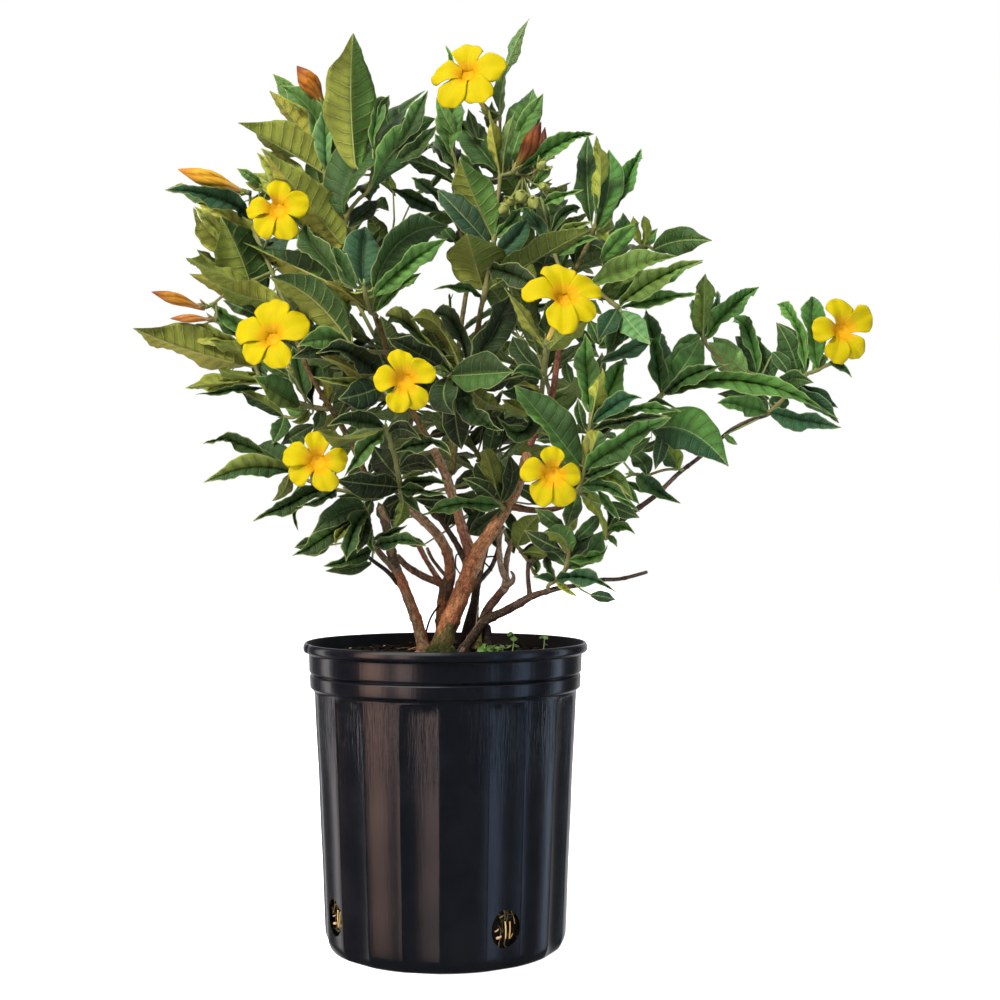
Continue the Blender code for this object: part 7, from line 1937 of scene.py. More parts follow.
def make_flower(name, spec, mats):
    rng = random.Random("petals " + name)
    piece = Piece(name.replace("flower", "corolla"), mats)
    (cu, cv), depth, face_, calyx, petals, shoot = spec
    centre, face, foot, petals = flower_frame(spec)
    if name == "flower_1":
        centre = centre + Vector((-0.0022, 0.0, 0.0062))
    ends = [petal_point(centre, face, cu, cv, ang, length) - centre for ang, length in petals]
    side = ends[0] - face * ends[0].dot(face)
    side.normalize()
    up = face.cross(side)
    C, F, S, U = vec(centre), vec(face), vec(side), vec(up)
    # funnel: inside from the bottom of the throat to the mouth, over the lip, outside to the calyx
    n = 60
    ang = 2 * np.pi * np.arange(n) / n
    inner = [(0.365, 0.0008), (0.362, 0.0018), (0.350, 0.0028), (0.325, 0.0036), (0.285, 0.0044),
             (0.24, 0.0054), (0.19, 0.0066), (0.15, 0.0076), (0.132, 0.0081)]
    inner = [(0.132 + (t - 0.132) * 0.5, rad) for t, rad in inner]
    outer = [(0.134, 0.0085), (0.150, 0.0084), (0.17, 0.0080), (0.20, 0.0075), (0.28, 0.0066),
             (0.36, 0.0059), (0.45, 0.0051), (0.53, 0.0041), (0.60, 0.0030), (0.68, 0.0023),
             (0.78, 0.0020), (0.88, 0.0019), (0.95, 0.0020), (1.0, 0.0021)]
    rows, tones, veins = [], [], []
    for j, (t, rad) in enumerate(inner + outer):
        inside_ = j < len(inner)
        c = vec(tube_axis(centre, face, foot, t))
        w = vec(tube_way(centre, face, foot, t))
        s = unit(S - w * S.dot(w))
        q = np.cross(s, w) * -1.0
        if q.dot(U) < 0:
            q = -q
        flute = 1.0 + (0.05 if inside_ else 0.045) * np.cos(5 * ang + 0.4)
        rows.append(c + (s * np.cos(ang)[:, None] + q * np.sin(ang)[:, None]) * (rad * flute)[:, None])
        if inside_:
            k = smoothstep(0.25, 0.15, t)
            tone = np.array((0.58, 0.300, 0.008)) * (1 - k) + np.array((0.53, 0.280, 0.005)) * k
        else:
            k = smoothstep(0.05, 0.42, t)
            tone = YELLOW * (1 - k) + TUBE * k
            k2 = smoothstep(0.62, 1.0, t)
            tone = tone * (1 - k2) + np.array((0.52, 0.42, 0.10)) * k2
        tones.append(np.repeat(tone[None], n, 0))
        veins.append(np.stack([np.full(n, 0.2 + t), 3.0 * np.cos(ang), 3.0 * np.sin(ang)], axis=1))
    v, f = ring_solid(rows)
    tones = np.concatenate(tones + [tones[0][:1], tones[-1][:1]])
    veins = np.concatenate(veins + [veins[0][:1], veins[-1][:1]])
    piece.add(v, f, 0, tones, veins)
    # five lobes, each lying over the next like a pinwheel
    angles = []
    for e in ends:
        angles.append((math.atan2(e.dot(up), e.dot(side)), e))
    angles.sort(key=lambda x: x[0])
    na, nb = 26, 21
    a, b = np.meshgrid(np.linspace(0, 1, na), np.linspace(-1, 1, nb), indexing="ij")
    for k, (theta, e) in enumerate(angles):
        gap_r = (angles[(k + 1) % 5][0] - theta) % (2 * math.pi)
        gap_l = (theta - angles[k - 1][0]) % (2 * math.pi)
        length = (e - face * e.dot(face)).length
        way = unit(vec(e - face * e.dot(face)))
        cross = np.cross(F, way)
        rin = 0.0050
        wide = min(0.47, 0.43 * (min(gap_l, gap_r) / 1.256) ** 0.4) * length * rng.uniform(0.94, 1.05)
        skew = rng.uniform(0.03, 0.09)
        corner, point = rng.uniform(-0.38, 0.38), rng.uniform(0.09, 0.20)
        end = 1.0 - point * np.abs(b - corner) ** 1.5 - 0.13 * np.abs(b) ** 7 + 0.4 * skew * b * (1 - 0.5 * b ** 4) \
            + 0.006 * np.cos(2.2 * np.pi * b + rng.uniform(-1, 1))
        along = rin + (length - rin) * a * end
        half = wide * np.interp(a, (0, 0.2, 0.42, 0.62, 0.78, 0.90, 1.0),
                                (0.42, 0.55, 0.75, 0.92, 1.0, 0.99, 0.90))
        across = half * b + 0.035 * length * a
        rho = np.hypot(along, across)
        dip = -0.0082 * np.exp(-np.clip(rho - rin, 0, 1) / 0.0042)
        curl = -rng.uniform(0.08, 0.14) * length * np.clip((a - 0.45) / 0.55, 0, 1) ** 2
        cup = 0.0016 * b ** 2 * np.sin(np.pi * a)
        lap = 0.0013 * b * np.sin(np.pi * np.clip(a * 1.25, 0, 1))
        p1, p2 = rng.uniform(0, 6.28), rng.uniform(0, 6.28)
        ruffle = 0.0009 * np.sin(2.2 * np.pi * b + p1) * a ** 2 + 0.0009 * np.abs(b) ** 3 * np.sin(7 * a + p2)
        crease = -0.0005 * np.exp(-(b / 0.10) ** 2) * (1 - a) + 0.00018 * np.cos(9 * np.pi * b) * a * (1 - a) * 4
        z = dip + curl + cup + lap + ruffle + crease
        p = (C + way * along[..., None] + cross * across[..., None] + F * z[..., None])
        # normals of the sheet give it its thickness
        du = np.gradient(p, axis=0)
        dv = np.gradient(p, axis=1)
        nrm = unit(np.cross(du, dv))
        if nrm[na // 2, nb // 2].dot(F) < 0:
            nrm = -nrm
        th = 0.00030 * (1 - 0.5 * np.maximum(np.abs(b) ** 4, a ** 6))[..., None]
        hi, lo = p + nrm * th, p - nrm * th
        blend = smoothstep(0.0092, 0.0150, rho)[..., None]
        edge = (np.maximum(np.abs(b) ** 6, a ** 8))[..., None]
        base = YELLOW * (1 - 0.6 * edge) + YELLOW_EDGE * 0.6 * edge
        tone_hi = THROAT * (1 - blend) + base * blend
        tone_lo = YELLOW * np.array((0.95, 0.90, 1.4)) * blend + TUBE * (1 - blend)
        cnt = na * nb
        e_ = ([j for j in range(nb)] + [i * nb + nb - 1 for i in range(1, na)]
              + [(na - 1) * nb + j for j in range(nb - 2, -1, -1)] + [i * nb for i in range(na - 2, 0, -1)])
        e_ = np.array(e_)
        nx = np.roll(e_, -1)
        faces = np.concatenate([grid(na, nb), grid(na, nb, flip=True, first=cnt),
                                np.stack([nx, e_, e_ + cnt, nx + cnt], axis=1)])
        vein = np.stack([a, b * 0.9, np.full_like(a, k * 3.0)], axis=-1).reshape(-1, 3)
        piece.add(np.concatenate([hi.reshape(-1, 3), lo.reshape(-1, 3)]), [faces], 0,
                  np.concatenate([tone_hi.reshape(-1, 3), np.broadcast_to(tone_lo, tone_hi.shape).reshape(-1, 3)]),
                  np.concatenate([vein, vein]))
    piece.show(name)


BUD_TONES = {
    # foot, belly, tip and furrow colours
    "bud_orange_top": (lin(130, 92, 24), lin(158, 98, 16), lin(122, 62, 18), lin(88, 46, 10)),
    "bud_yellow_left": (lin(186, 150, 92), lin(202, 156, 34), lin(204, 134, 30), lin(156, 96, 36)),
    "bud_amber_upper": (lin(156, 116, 66), lin(174, 120, 32), lin(136, 76, 26), lin(98, 50, 24)),
    "bud_amber_lower": (lin(176, 136, 92), lin(190, 130, 62), lin(166, 98, 48), lin(124, 70, 40)),
    "bud_red_tall": (lin(106, 102, 40), lin(118, 62, 20), lin(88, 34, 18), lin(56, 22, 12)),
    "bud_red_slim": (lin(96, 86, 46), lin(104, 58, 34), lin(86, 36, 26), lin(56, 24, 18)),
}


def make_bud(name, spec, mats):
    piece = Piece("closed_" + name, mats)
    base, tip, width, shoot = spec
    a, b = vec(place(*base)), vec(place(*tip))
    if name in ("bud_amber_upper", "bud_yellow_left"):
        down = 0.0034 if name == "bud_amber_upper" else 0.0016
        a, b, width = a - np.array((0, 0, down)), b - np.array((0, 0, down * 0.7)), width * 1.28
    r = width * 0.5 * (a[1] - EYE.y) / FOCAL
    n, m = 40, 48
    t = np.linspace(0.0, 1.0, n)
    ang = 2 * np.pi * np.arange(m) / m
    line = a + (b - a) * t[:, None]
    bend = np.cross(unit(b - a), (0.0, -1.0, 0.1)) * 0.02 * np.linalg.norm(b - a)
    line = line + bend * (np.sin(np.pi * t))[:, None]
    turn = 2.5 * (ang[None, :] + 2.4 * t[:, None] ** 1.3)
    furrow = (1 - np.abs(np.sin(turn))) ** 2.2
    shape = 1.0 - 0.20 * furrow * np.clip(t * 3, 0, 1)[:, None] * np.clip((1.02 - t) * 6, 0, 1)[:, None]
    shape = shape * (1 + 0.03 * np.sin(3 * ang[None, :] + 9 * t[:, None]))
    v, f = tube(line, r * spindle(t), m, shape=shape, cap=(0.3, 0.5))
    c0, c1, c2, c3 = BUD_TONES[name]
    k1 = smoothstep(0.05, 0.45, t)[:, None, None]
    k2 = smoothstep(0.62, 0.98, t)[:, None, None]
    tone = (c0 * (1 - k1) + c1 * k1) * (1 - k2) + c2 * k2
    fur = furrow[..., None] * 0.75
    tone = np.broadcast_to(tone, (n, m, 3)) * (1 - fur) + c3 * fur
    rows = np.concatenate([[0], np.arange(n), [n - 1]])
    tones = np.concatenate([tone[rows].reshape(-1, 3), tone[0, :1], tone[-1, :1]])
    tt = np.broadcast_to(t[:, None], (n, m))
    vein = np.stack([tt, np.broadcast_to(np.cos(ang), (n, m)), np.broadcast_to(np.sin(ang), (n, m))], axis=-1)
    veins = np.concatenate([vein[rows].reshape(-1, 3), vein[0, :1], vein[-1, :1]])
    piece.add(v, f, 0, tones, veins)
    piece.show(name)


# ------------------------------------------------------------ woody stems
RUST, AMBER, WINE = lin(156, 98, 64), lin(180, 122, 80), lin(130, 80, 60)
GREY, DARK, OLIVE = lin(122, 104, 84), lin(78, 60, 46), lin(104, 98, 52)
PALE, MOSSY, BROWN = lin(176, 156, 112), lin(96, 86, 48), lin(112, 78, 56)


def stem_tone(name, k, u, v, noise_):
    """Main colour of the bark at a place on the picture, and how much it changes."""
    if name == "trunk_main":
        if k == 3:
            return BROWN
        if k == 4:
            return DARK
        if v > 622:
            return MOSSY if noise_ > -0.1 else RUST
        if k == 1:
            low_, high_ = (AMBER if noise_ > -0.25 else RUST), lin(168, 124, 86)
            return low_ + (high_ - low_) * float(smoothstep(545, 500, v))
        if k == 2:
            low_, high_ = (WINE if noise_ < 0.2 else RUST), lin(164, 126, 94)
            return low_ + (high_ - low_) * float(smoothstep(545, 480, v))
        return RUST if noise_ < 0.30 else AMBER
    if name == "stem_left_outer":
        if v < 572:
            return lin(122, 100, 76) if noise_ < 0.2 else lin(84, 72, 54)
        return RUST if noise_ < 0.22 else lin(140, 112, 82)
    if name in ("stem_second", "stem_right_twin", "stem_back") and v > 619 and noise_ > -0.2:
        return MOSSY
    if name == "stem_second":
        if k == 0:
            if v > 600:
                return lin(150, 98, 60)
            if v > 577:
                return lin(84, 60, 44) if noise_ < 0.2 else lin(126, 88, 60)
            low_, high_ = lin(142, 90, 60), lin(162, 126, 94)
            return low_ + (high_ - low_) * float(smoothstep(560, 525, v))
        return WINE if k == 2 else lin(112, 82, 62)
    if name == "stem_right_twin":
        if v > 612:
            return DARK * 0.7 if noise_ < 0.15 else GREY
        return lin(96, 68, 52) if v > 590 else lin(160, 136, 112)
    if name == "stem_low_right":
        if v > 606:
            return DARK * 0.45 if noise_ < 0.2 else GREY * 0.6
        return DARK * 0.9 if noise_ > 0 else lin(76, 60, 50)
    if name == "stem_long_right":
        return lin(74, 56, 50) if noise_ < 0.1 else lin(112, 92, 78)
    if name == "stem_back":
        return DARK * 0.6 if v > 612 else lin(108, 90, 70) if noise_ > -0.1 else DARK
    if name.startswith("stem_upper_left") or name == "stem_far_left":
        return lin(112, 92, 52)
    if name == "stem_upper_right":
        return lin(134, 86, 62) if v > 330 else lin(110, 104, 56)
    return lin(104, 94, 52)


FEET = ("trunk_main", "stem_left_outer", "stem_second", "stem_back", "stem_right_twin", "stem_low_right")
THIN_BITS = {
    # dry twigs and straws caught in the crown: across, down, depth mm, radius mm
    "trunk_main": [[(468, 557, -8, 0.8), (461, 554, -8, 0.7), (456.5, 555, -8, 0.7), (455.5, 561, -8, 0.7),
                    (455.6, 566.5, -8, 0.9), (457.5, 570, -8, 0.6), (459.8, 573.5, -8, 0.6)],
                   [(474, 641, -27, 0.6), (476, 625, -27, 0.5), (479, 601, -25, 0.4)]],
    "stem_low_right": [[(489, 647, -24, 6.0), (487, 636, -28, 5.0), (487, 627, -32, 3.6)]],
    "stem_right_twin": [[(503, 584, -7, 2.4), (508, 585, -9, 2.7), (512.5, 581, -9, 2.5), (513.5, 575.5, -7, 1.5),
                         (511, 571.5, -5, 0.9)]],
    "stem_back": [[(466, 647, 10, 7.0), (468, 630, 10, 5.6), (472, 610, 14, 3.8), (476, 592, 19, 2.6)],
                  [(486, 557, 20, 0.8), (494, 556.5, 19, 0.7), (503, 558, 18, 0.6)],
                  [(484, 562, 22, 0.8), (490, 568, 22, 0.7), (492, 571, 22, 0.5)]],
    "stem_left_outer": [[(398, 584, -24, 2.2), (388, 572, -27, 2.0), (372, 560, -33, 1.7), (364, 553, -36, 1.5)]],
    "stem_second": [[(424, 640, -4, 0.9), (429, 622, -4, 0.9), (434, 612, -3, 0.9), (440, 605, 0, 0.9)]],
}


def make_stem(name, runs, all_paths, mats):
    piece = Piece("bark_" + name, mats)
    mine = []
    for k, run in enumerate(runs):
        pts = list(run)
        if k:
            d, q, _, _ = closest(mine, vec(pts[0][0]))
            if d > 0.0008:
                pts = [(Vector(q), pts[0][1])] + pts
        p, r, s = smooth_path(pts, 0.0015)
        mine.append(p)
        rng = random.Random("bark %s %d" % (name, k))
        sides = int(max(12, min(28, round(2 * math.pi * r.max() / 0.0015))))
        ang = 2 * np.pi * np.arange(sides) / sides
        d, side, up = tube_frames(p)
        foot = name in FEET and k == 0
        factor = np.ones((len(p), sides))
        if k:
            factor *= (1 + 0.42 * np.exp(-s / (1.1 * r[0])))[:, None]
        if foot:
            flare = np.exp(-np.clip(s - 0.002, 0, 1) / 0.009)[:, None]
            factor *= 1 + flare * (0.22 + 0.16 * np.cos(3 * ang + rng.uniform(0, 6))[None, :])
        # leaf scars and swollen joints along the stem
        at = rng.uniform(0.006, 0.014)
        turn = rng.uniform(0, 6)
        while at < s[-1] - 0.004:
            bump = np.exp(-((s - at) / (0.0011 + 0.10 * r.mean())) ** 2)
            face = 0.06 + 0.16 * np.exp(-(((ang - turn + np.pi) % (2 * np.pi) - np.pi) / 0.55) ** 2) \
                + 0.16 * np.exp(-(((ang - turn) % (2 * np.pi) - np.pi) / 0.55) ** 2)
            factor *= 1 + bump[:, None] * face[None, :] * min(1.0, 0.0035 / r.mean() + 0.25)
            at += rng.uniform(0.011, 0.021)
            turn += 1.57
        ring = (side[:, None, :] * np.cos(ang)[None, :, None] + up[:, None, :] * np.sin(ang)[None, :, None])
        surf = p[:, None, :] + ring * r[:, None, None]
        lift = np.zeros((len(p), sides))
        tone = np.zeros((len(p), sides, 3))
        seed = Vector((rng.uniform(-50, 50), rng.uniform(-50, 50), rng.uniform(-50, 50)))
        # stems whose upper parts get painted light on their right side
        painted_sun = name in ("trunk_main", "stem_second", "stem_right_twin") and k < 3
        for i in range(len(p)):
            u_, v_, _ = unplace(Vector(p[i]))
            for j in range(sides):
                x = Vector((s[i] * 1000.0 * 0.35, ring[i, j, 0] * r[i] * 1000, ring[i, j, 1] * r[i] * 1000))
                y = Vector((x.x, x.y, ring[i, j, 2] * r[i] * 1000 + x.z)) + seed
                n1 = noise.noise(y * 0.42)
                n2 = noise.noise(y * 1.15)
                n3 = noise.noise(y * 0.13)
                lift[i, j] = r[i] * (0.085 * n1 + 0.05 * n2)
                c = stem_tone(name, k, u_, v_, n3 * 1.6)
                # painted light: pale tan on the side facing right, on the upper parts
                if painted_sun and v_ < 575.0:
                    c = c + (lin(204, 182, 150) - c) * (0.60 * float(smoothstep(0.30, 0.92, ring[i, j, 0])))
                # painted light and shade that follow the lift: lighter where the bark is raised, darker in its dips
                tone[i, j] = c * (1.0 + 0.45 * n1 + 0.25 * n2)
        foot_r = r * 1.0
        v, f = tube(p, foot_r, sides, shape=factor, lift=lift, cap=(0.2, 0.5))
        rows = np.concatenate([[0], np.arange(len(p)), [len(p) - 1]])
        along = np.broadcast_to((s * 1000)[:, None], (len(p), sides))
        vein = np.stack([along, r[:, None] * 1000 * np.cos(ang)[None, :], r[:, None] * 1000 * np.sin(ang)[None, :]],
                        axis=-1) + vec(seed)
        tones = np.concatenate([tone[rows].reshape(-1, 3), tone[0, :1], tone[-1, :1]])
        veins = np.concatenate([vein[rows].reshape(-1, 3), vein[0, :1], vein[-1, :1]])
        piece.add(v, f, 0, np.clip(tones, 0.004, 1), veins)
    for row in THIN_BITS.get(name, []):
        p, r, s = smooth_path([(place(u, v, y), q / 1000.0) for u, v, y, q in row], 0.0012)
        v, f = tube(p, r, 8, cap=(0.5, 0.8))
        straw = row[0][3] < 0.7
        colour = lin(186, 160, 120) if straw else lin(46, 38, 34)
        if name == "stem_right_twin":
            colour = lin(168, 146, 118)
        piece.add(v, f, 0, colour, (3.0, 1.0, 2.0))
    piece.show(name)
    return mine


# ------------------------------------------------------------ pot
def rounded(points, n=4):
    """Profile with its corners rounded: (radius, height, cut)."""
    out = []
    for i, (r, z, cut) in enumerate(points):
        p = np.array((r, z))
        if cut <= 0 or i in (0, len(points) - 1):
            out.append(p)
            continue
        a, b = np.array(points[i - 1][:2]), np.array(points[i + 1][:2])
        ca = min(cut, 0.45 * np.linalg.norm(a - p))
        cb = min(cut, 0.45 * np.linalg.norm(b - p))
        p0, p2 = p + (a - p) / np.linalg.norm(a - p) * ca, p + (b - p) / np.linalg.norm(b - p) * cb
        for k in range(n + 1):
            t = k / n
            out.append(p0 * (1 - t) ** 2 + p * (2 * t * (1 - t)) + p2 * t ** 2)
    return out


def dense(points, step):
    out = [points[0]]
    for a, b in zip(points, points[1:]):
        h = step(0.5 * (a[1] + b[1]))
        n = max(1, int(math.ceil(np.linalg.norm(b - a) / h)))
        out += [a + (b - a) * (k / n) for k in range(1, n + 1)]
    return out


def finish_mesh(obj, angle=None):
    bm = bmesh.new()
    bm.from_mesh(obj.data)
    bmesh.ops.recalc_face_normals(bm, faces=bm.faces)
    bm.to_mesh(obj.data)
    bm.free()
    if angle:
        obj.data.shade_smooth()
        obj.data.set_sharp_from_angle(angle=math.radians(angle))


def make_pot(mats):
    outer = rounded([(0.0006, 0.0014, 0), (0.0870, 0.0014, 0.0012), (0.0905, 0.0, 0.0012),
                     (0.1034, 0.0, 0.0030), (0.1078, 0.0090, 0.0035), (0.1136, 0.1476, 0.010),
                     (0.1166, 0.2060, 0.010), (0.1174, 0.2262, 0.0006), (0.1181, 0.2293, 0.0010),
                     (0.1209, 0.2304, 0.0014), (0.1214, 0.2415, 0.0014), (0.1191, 0.2430, 0.0009),
                     (0.1218, 0.2446, 0.0012), (0.1223, 0.2608, 0.0010), (0.1238, 0.2616, 0.0008),
                     (0.1268, 0.2624, 0.0018), (0.1274, 0.2668, 0.0026), (0.1258, 0.2706, 0.0020),
                     (0.1236, 0.2703, 0.0014), (0.1222, 0.2660, 0.0020), (0.1201, 0.2590, 0.0010)])
    outer = dense(outer, lambda z: 0.0005 if 0.2235 < z < 0.2275 else (0.0075 if z < 0.2235 else 0.0045))
    inner = dense([np.array(p) for p in ((0.1201, 0.2590), (0.1197, 0.2450), (0.1160, 0.2275),
                                         (0.1146, 0.2060), (0.1114, 0.1476), (0.1070, 0.0240),
                                         (0.1048, 0.0120), (0.0990, 0.0030), (0.0006, 0.0030))],
                  lambda z: 0.012 if z > 0.004 else 0.03)[1:]
    cols = []
    for k in range(FLUTES):
        for x in (-9.1, -6.0, -2.0, 2.0, 6.0, 9.1, 9.6, 10.1, 11.2, 12.6, 14.2, 16.0, 18.0,
                  20.0, 21.8, 23.4, 24.8, 25.9, 26.4):
            a = x - 18.0
            deg = (FLUTE_START + 360.0 / FLUTES * k + x + 180.0) % 360.0 - 180.0
            deg -= 2.9 * math.exp(-((deg + 7.0) / 14.0) ** 2)     # the moulding isn't quite even
            cols.append((math.radians(-90.0 + deg), a))
    ang = np.array([c[0] for c in cols])
    off = np.abs(np.array([c[1] for c in cols]))
    hollow = np.clip(1 - (off / 8.5) ** 2, 0, 1)
    top = 0.2264 - 0.0016 * (np.clip(off, 0, 8.5) / 8.5) ** 3
    rows = []
    for i, (r, z) in enumerate(list(outer) + list(inner)):
        inside_ = i >= len(outer)
        if inside_:
            share = np.full(len(ang), 1.0) * float(np.interp(z, (0.0031, 0.0120, 0.2060, 0.2275), (0.3, 1, 1, 0)))
            if r < 0.09:
                share = share * 0
        else:
            share = smoothstep(0.0002, -0.0017, z - top) * float(np.interp(z, (0.0, 0.009), (0.35, 1.0)))
            if r < 0.098:
                share = share * 0
        rr = r - FLUTE_DEPTH * hollow * share
        if z > 0.2612:
            turned = (np.degrees(ang) + 90.0 + 180.0) % 360.0 - 180.0
            rr = rr - 0.0012 * np.exp(-((turned + 71.0) / 2.4) ** 2)
        wob = np.array([noise.noise(Vector((math.cos(a) * 2.2, math.sin(a) * 2.2, z * 22.0))) for a in ang])
        if r > 0.1:
            rr = rr + 0.00030 * wob * float(np.interp(z, (0.0, 0.02, 0.20, 0.27), (0.2, 1.0, 1.0, 0.35)))
        dz = 0.00035 * np.array([noise.noise(Vector((math.cos(a) * 1.3, math.sin(a) * 1.3, 7.0))) for a in ang]) \
            if z > 0.25 else 0.0
        rows.append(np.stack([rr * np.cos(ang), rr * np.sin(ang), z + dz + 0 * ang], axis=1))
    v, f = ring_solid(rows)
    piece = Piece("grower_pot", mats)
    piece.add(v, f, 0)
    obj = piece.show("nursery_pot")
    finish_mesh(obj)
    cutters = []
    for k, deg in enumerate(HOLE_ANGLES):
        a = math.radians(-90.0 + deg)
        bm = bmesh.new()
        bmesh.ops.create_cone(bm, cap_ends=True, segments=44, radius1=0.5, radius2=0.5, depth=0.022)
        turn = (Matrix.Translation((0.110 * math.cos(a), 0.110 * math.sin(a), HOLE_Z))
                @ Matrix.Rotation(a, 4, "Z") @ Matrix.Rotation(math.pi / 2, 4, "Y")
                @ Matrix.Diagonal((HOLE_H, HOLE_W, 1.0, 1.0)))
        bmesh.ops.transform(bm, matrix=turn, verts=bm.verts)
        bmesh.ops.recalc_face_normals(bm, faces=bm.faces)
        mesh = bpy.data.meshes.new("cut")
        bm.to_mesh(mesh)
        bm.free()
        cut = bpy.data.objects.new("cut%d" % k, mesh)
        bpy.context.scene.collection.objects.link(cut)
        mod = obj.modifiers.new("hole%d" % k, "BOOLEAN")
        mod.operation, mod.solver, mod.object = "DIFFERENCE", "EXACT", cut
        cutters.append(cut)
    bpy.context.view_layer.update()
    deps = bpy.context.evaluated_depsgraph_get()
    new = bpy.data.meshes.new_from_object(obj.evaluated_get(deps))
    obj.modifiers.clear()
    obj.data = new
    for cut in cutters:
        bpy.data.objects.remove(cut, do_unlink=True)
    finish_mesh(obj, 40)
    for face in obj.data.polygons:
        c, m = face.center, face.normal
        if c.z > 0.004 and (c.x * m.x + c.y * m.y) < -0.35 * math.hypot(c.x, c.y):
            face.material_index = 1
    return obj


def make_soil(mats):
    piece = Piece("potting_mix", mats)
    rng = random.Random(7)
    m = 132
    ang = 2 * np.pi * np.arange(m) / m
    rows = []
    side = [(0.0006, 0.0040), (0.0900, 0.0040), (0.0955, 0.0052), (0.1008, 0.0135), (0.1030, 0.0230),
            (0.1034, 0.0290), (0.1037, 0.0360), (0.1040, 0.0430), (0.1045, 0.0540), (0.1078, 0.1476),
            (0.1107, 0.2060), (0.1126, 0.2285), (0.1166, 0.2450), (0.1171, 0.2545)]
    for r, z in side:
        lump = np.array([noise.noise(Vector((math.cos(a) * 9, math.sin(a) * 9, z * 90))) for a in ang])
        rr = r + (0.0009 * lump - 0.0006 if r > 0.1 else 0.0)
        rows.append(np.stack([rr * np.cos(ang), rr * np.sin(ang), z + 0 * ang], axis=1))
    for r in np.linspace(0.1168, 0.0015, 46):
        h = SOIL_EDGE + (SOIL_TOP - SOIL_EDGE) * float(smoothstep(0.1168, 0.060, r))
        lump = np.array([noise.noise(Vector((r * math.cos(a) * 60, r * math.sin(a) * 60, 3.0)))
                         + 0.6 * noise.noise(Vector((r * math.cos(a) * 190, r * math.sin(a) * 190, 9.0)))
                         for a in ang])
        rows.append(np.stack([r * np.cos(ang), r * np.sin(ang), h + 0.0013 * lump], axis=1))
    v, f = ring_solid(rows)
    # painted shade: near-black soil tone for the shadow in the pot
    tone = np.array([(0.007, 0.005, 0.004)] * len(v)) * (0.7 + 0.6 * np.random.default_rng(3).random((len(v), 1)))
    piece.add(v, f, 0, tone)
    # bark chips, peat crumbs and pale grit on top
    box = np.array([(x, y, z) for x in (-1, 1) for y in (-1, 1) for z in (-1, 1)], float)
    quads = np.array([(0, 1, 3, 2), (4, 6, 7, 5), (0, 4, 5, 1), (2, 3, 7, 6), (0, 2, 6, 4), (1, 5, 7, 3)])
    for k in range(620):
        r = 0.114 * math.sqrt(rng.random())
        a = rng.uniform(0, 2 * math.pi)
        grit = rng.random() < 0.07
        size = rng.uniform(0.0008, 0.0016) if grit else rng.uniform(0.0010, 0.0042)
        dims = np.array((size, size * rng.uniform(0.35, 0.8), size * rng.uniform(0.22, 0.5)))
        if grit:
            dims = np.array((size, size * 0.9, size * 0.8))
        pts = box * dims * (1 + 0.35 * np.array([[rng.uniform(-1, 1) for _ in range(3)] for _ in range(8)]))
        turn = np.array(Matrix.Rotation(rng.uniform(0, 6.28), 3, "Z")
                        @ Matrix.Rotation(rng.uniform(-0.6, 0.6), 3, "X"))
        h = SOIL_EDGE + (SOIL_TOP - SOIL_EDGE) * float(smoothstep(0.1168, 0.060, r))
        at = np.array((r * math.cos(a), r * math.sin(a), h + dims[2] * 0.5 + rng.uniform(-0.0002, 0.0008)))
        tone = lin(196, 186, 168) if grit else rng.choice([lin(22, 18, 15), lin(18, 15, 13), lin(32, 25, 20), lin(14, 12, 11)])
        piece.add(pts @ turn.T + at, [quads], 0, tone, flat=True)
    # roots and straws that show in the drain holes
    for deg in HOLE_ANGLES:
        a = math.radians(-90.0 + deg)
        out = np.array((math.cos(a), math.sin(a), 0.0))
        across = np.array((-math.sin(a), math.cos(a), 0.0))

        def spot(x, z, r):
            return Vector(out * r + across * x + np.array((0, 0, HOLE_Z + z)))

        for x0, z0, x1, z1, rad, tone in (
                (0.0004, 0.0060, 0.0008, -0.0085, 0.00062, lin(196, 170, 116)),
                (0.0050, 0.0054, 0.0044, -0.0088, 0.00056, lin(178, 146, 88)),
                (0.0044, -0.0085, 0.0078, -0.0048, 0.00044, lin(150, 122, 80)),
                (-0.0080, -0.0070, -0.0034, -0.0060, 0.00105, lin(186, 158, 126)),
                (-0.0096, -0.0012, -0.0058, 0.0004, 0.00064, lin(160, 144, 112)),
                (-0.0050, 0.0100, -0.0010, 0.0116, 0.00050, lin(120, 102, 78))):
            p, r, s = smooth_path([(spot(x0, z0, 0.1056), rad), (spot((x0 + x1) / 2 + 0.0003, (z0 + z1) / 2, 0.1059), rad * 1.05),
                                   (spot(x1, z1, 0.1053), rad * 0.8)], 0.0012)
            v, f = tube(p, r, 8, cap=(0.5, 0.5))
            piece.add(v, f, 1, tone)
        for k in range(16):
            x0, z0 = rng.uniform(-0.012, 0.012), rng.uniform(-0.014, 0.014)
            pts = []
            d = rng.uniform(0, 6.28)
            x, z = x0, z0
            for j in range(5):
                pts.append((spot(x, z, rng.uniform(0.1040, 0.1056)), rng.uniform(0.00022, 0.00045)))
                d += rng.uniform(-0.8, 0.8)
                x = max(-0.0135, min(0.0135, x + 0.0042 * math.cos(d)))
                z = max(-0.016, min(0.016, z + 0.0042 * math.sin(d)))
            p, r, s = smooth_path(pts, 0.0013)
            v, f = tube(p, r, 6, cap=(0.4, 0.8))
            piece.add(v, f, 1, rng.choice([lin(104, 82, 56), lin(76, 58, 42), lin(128, 106, 74), lin(46, 58, 34)]))
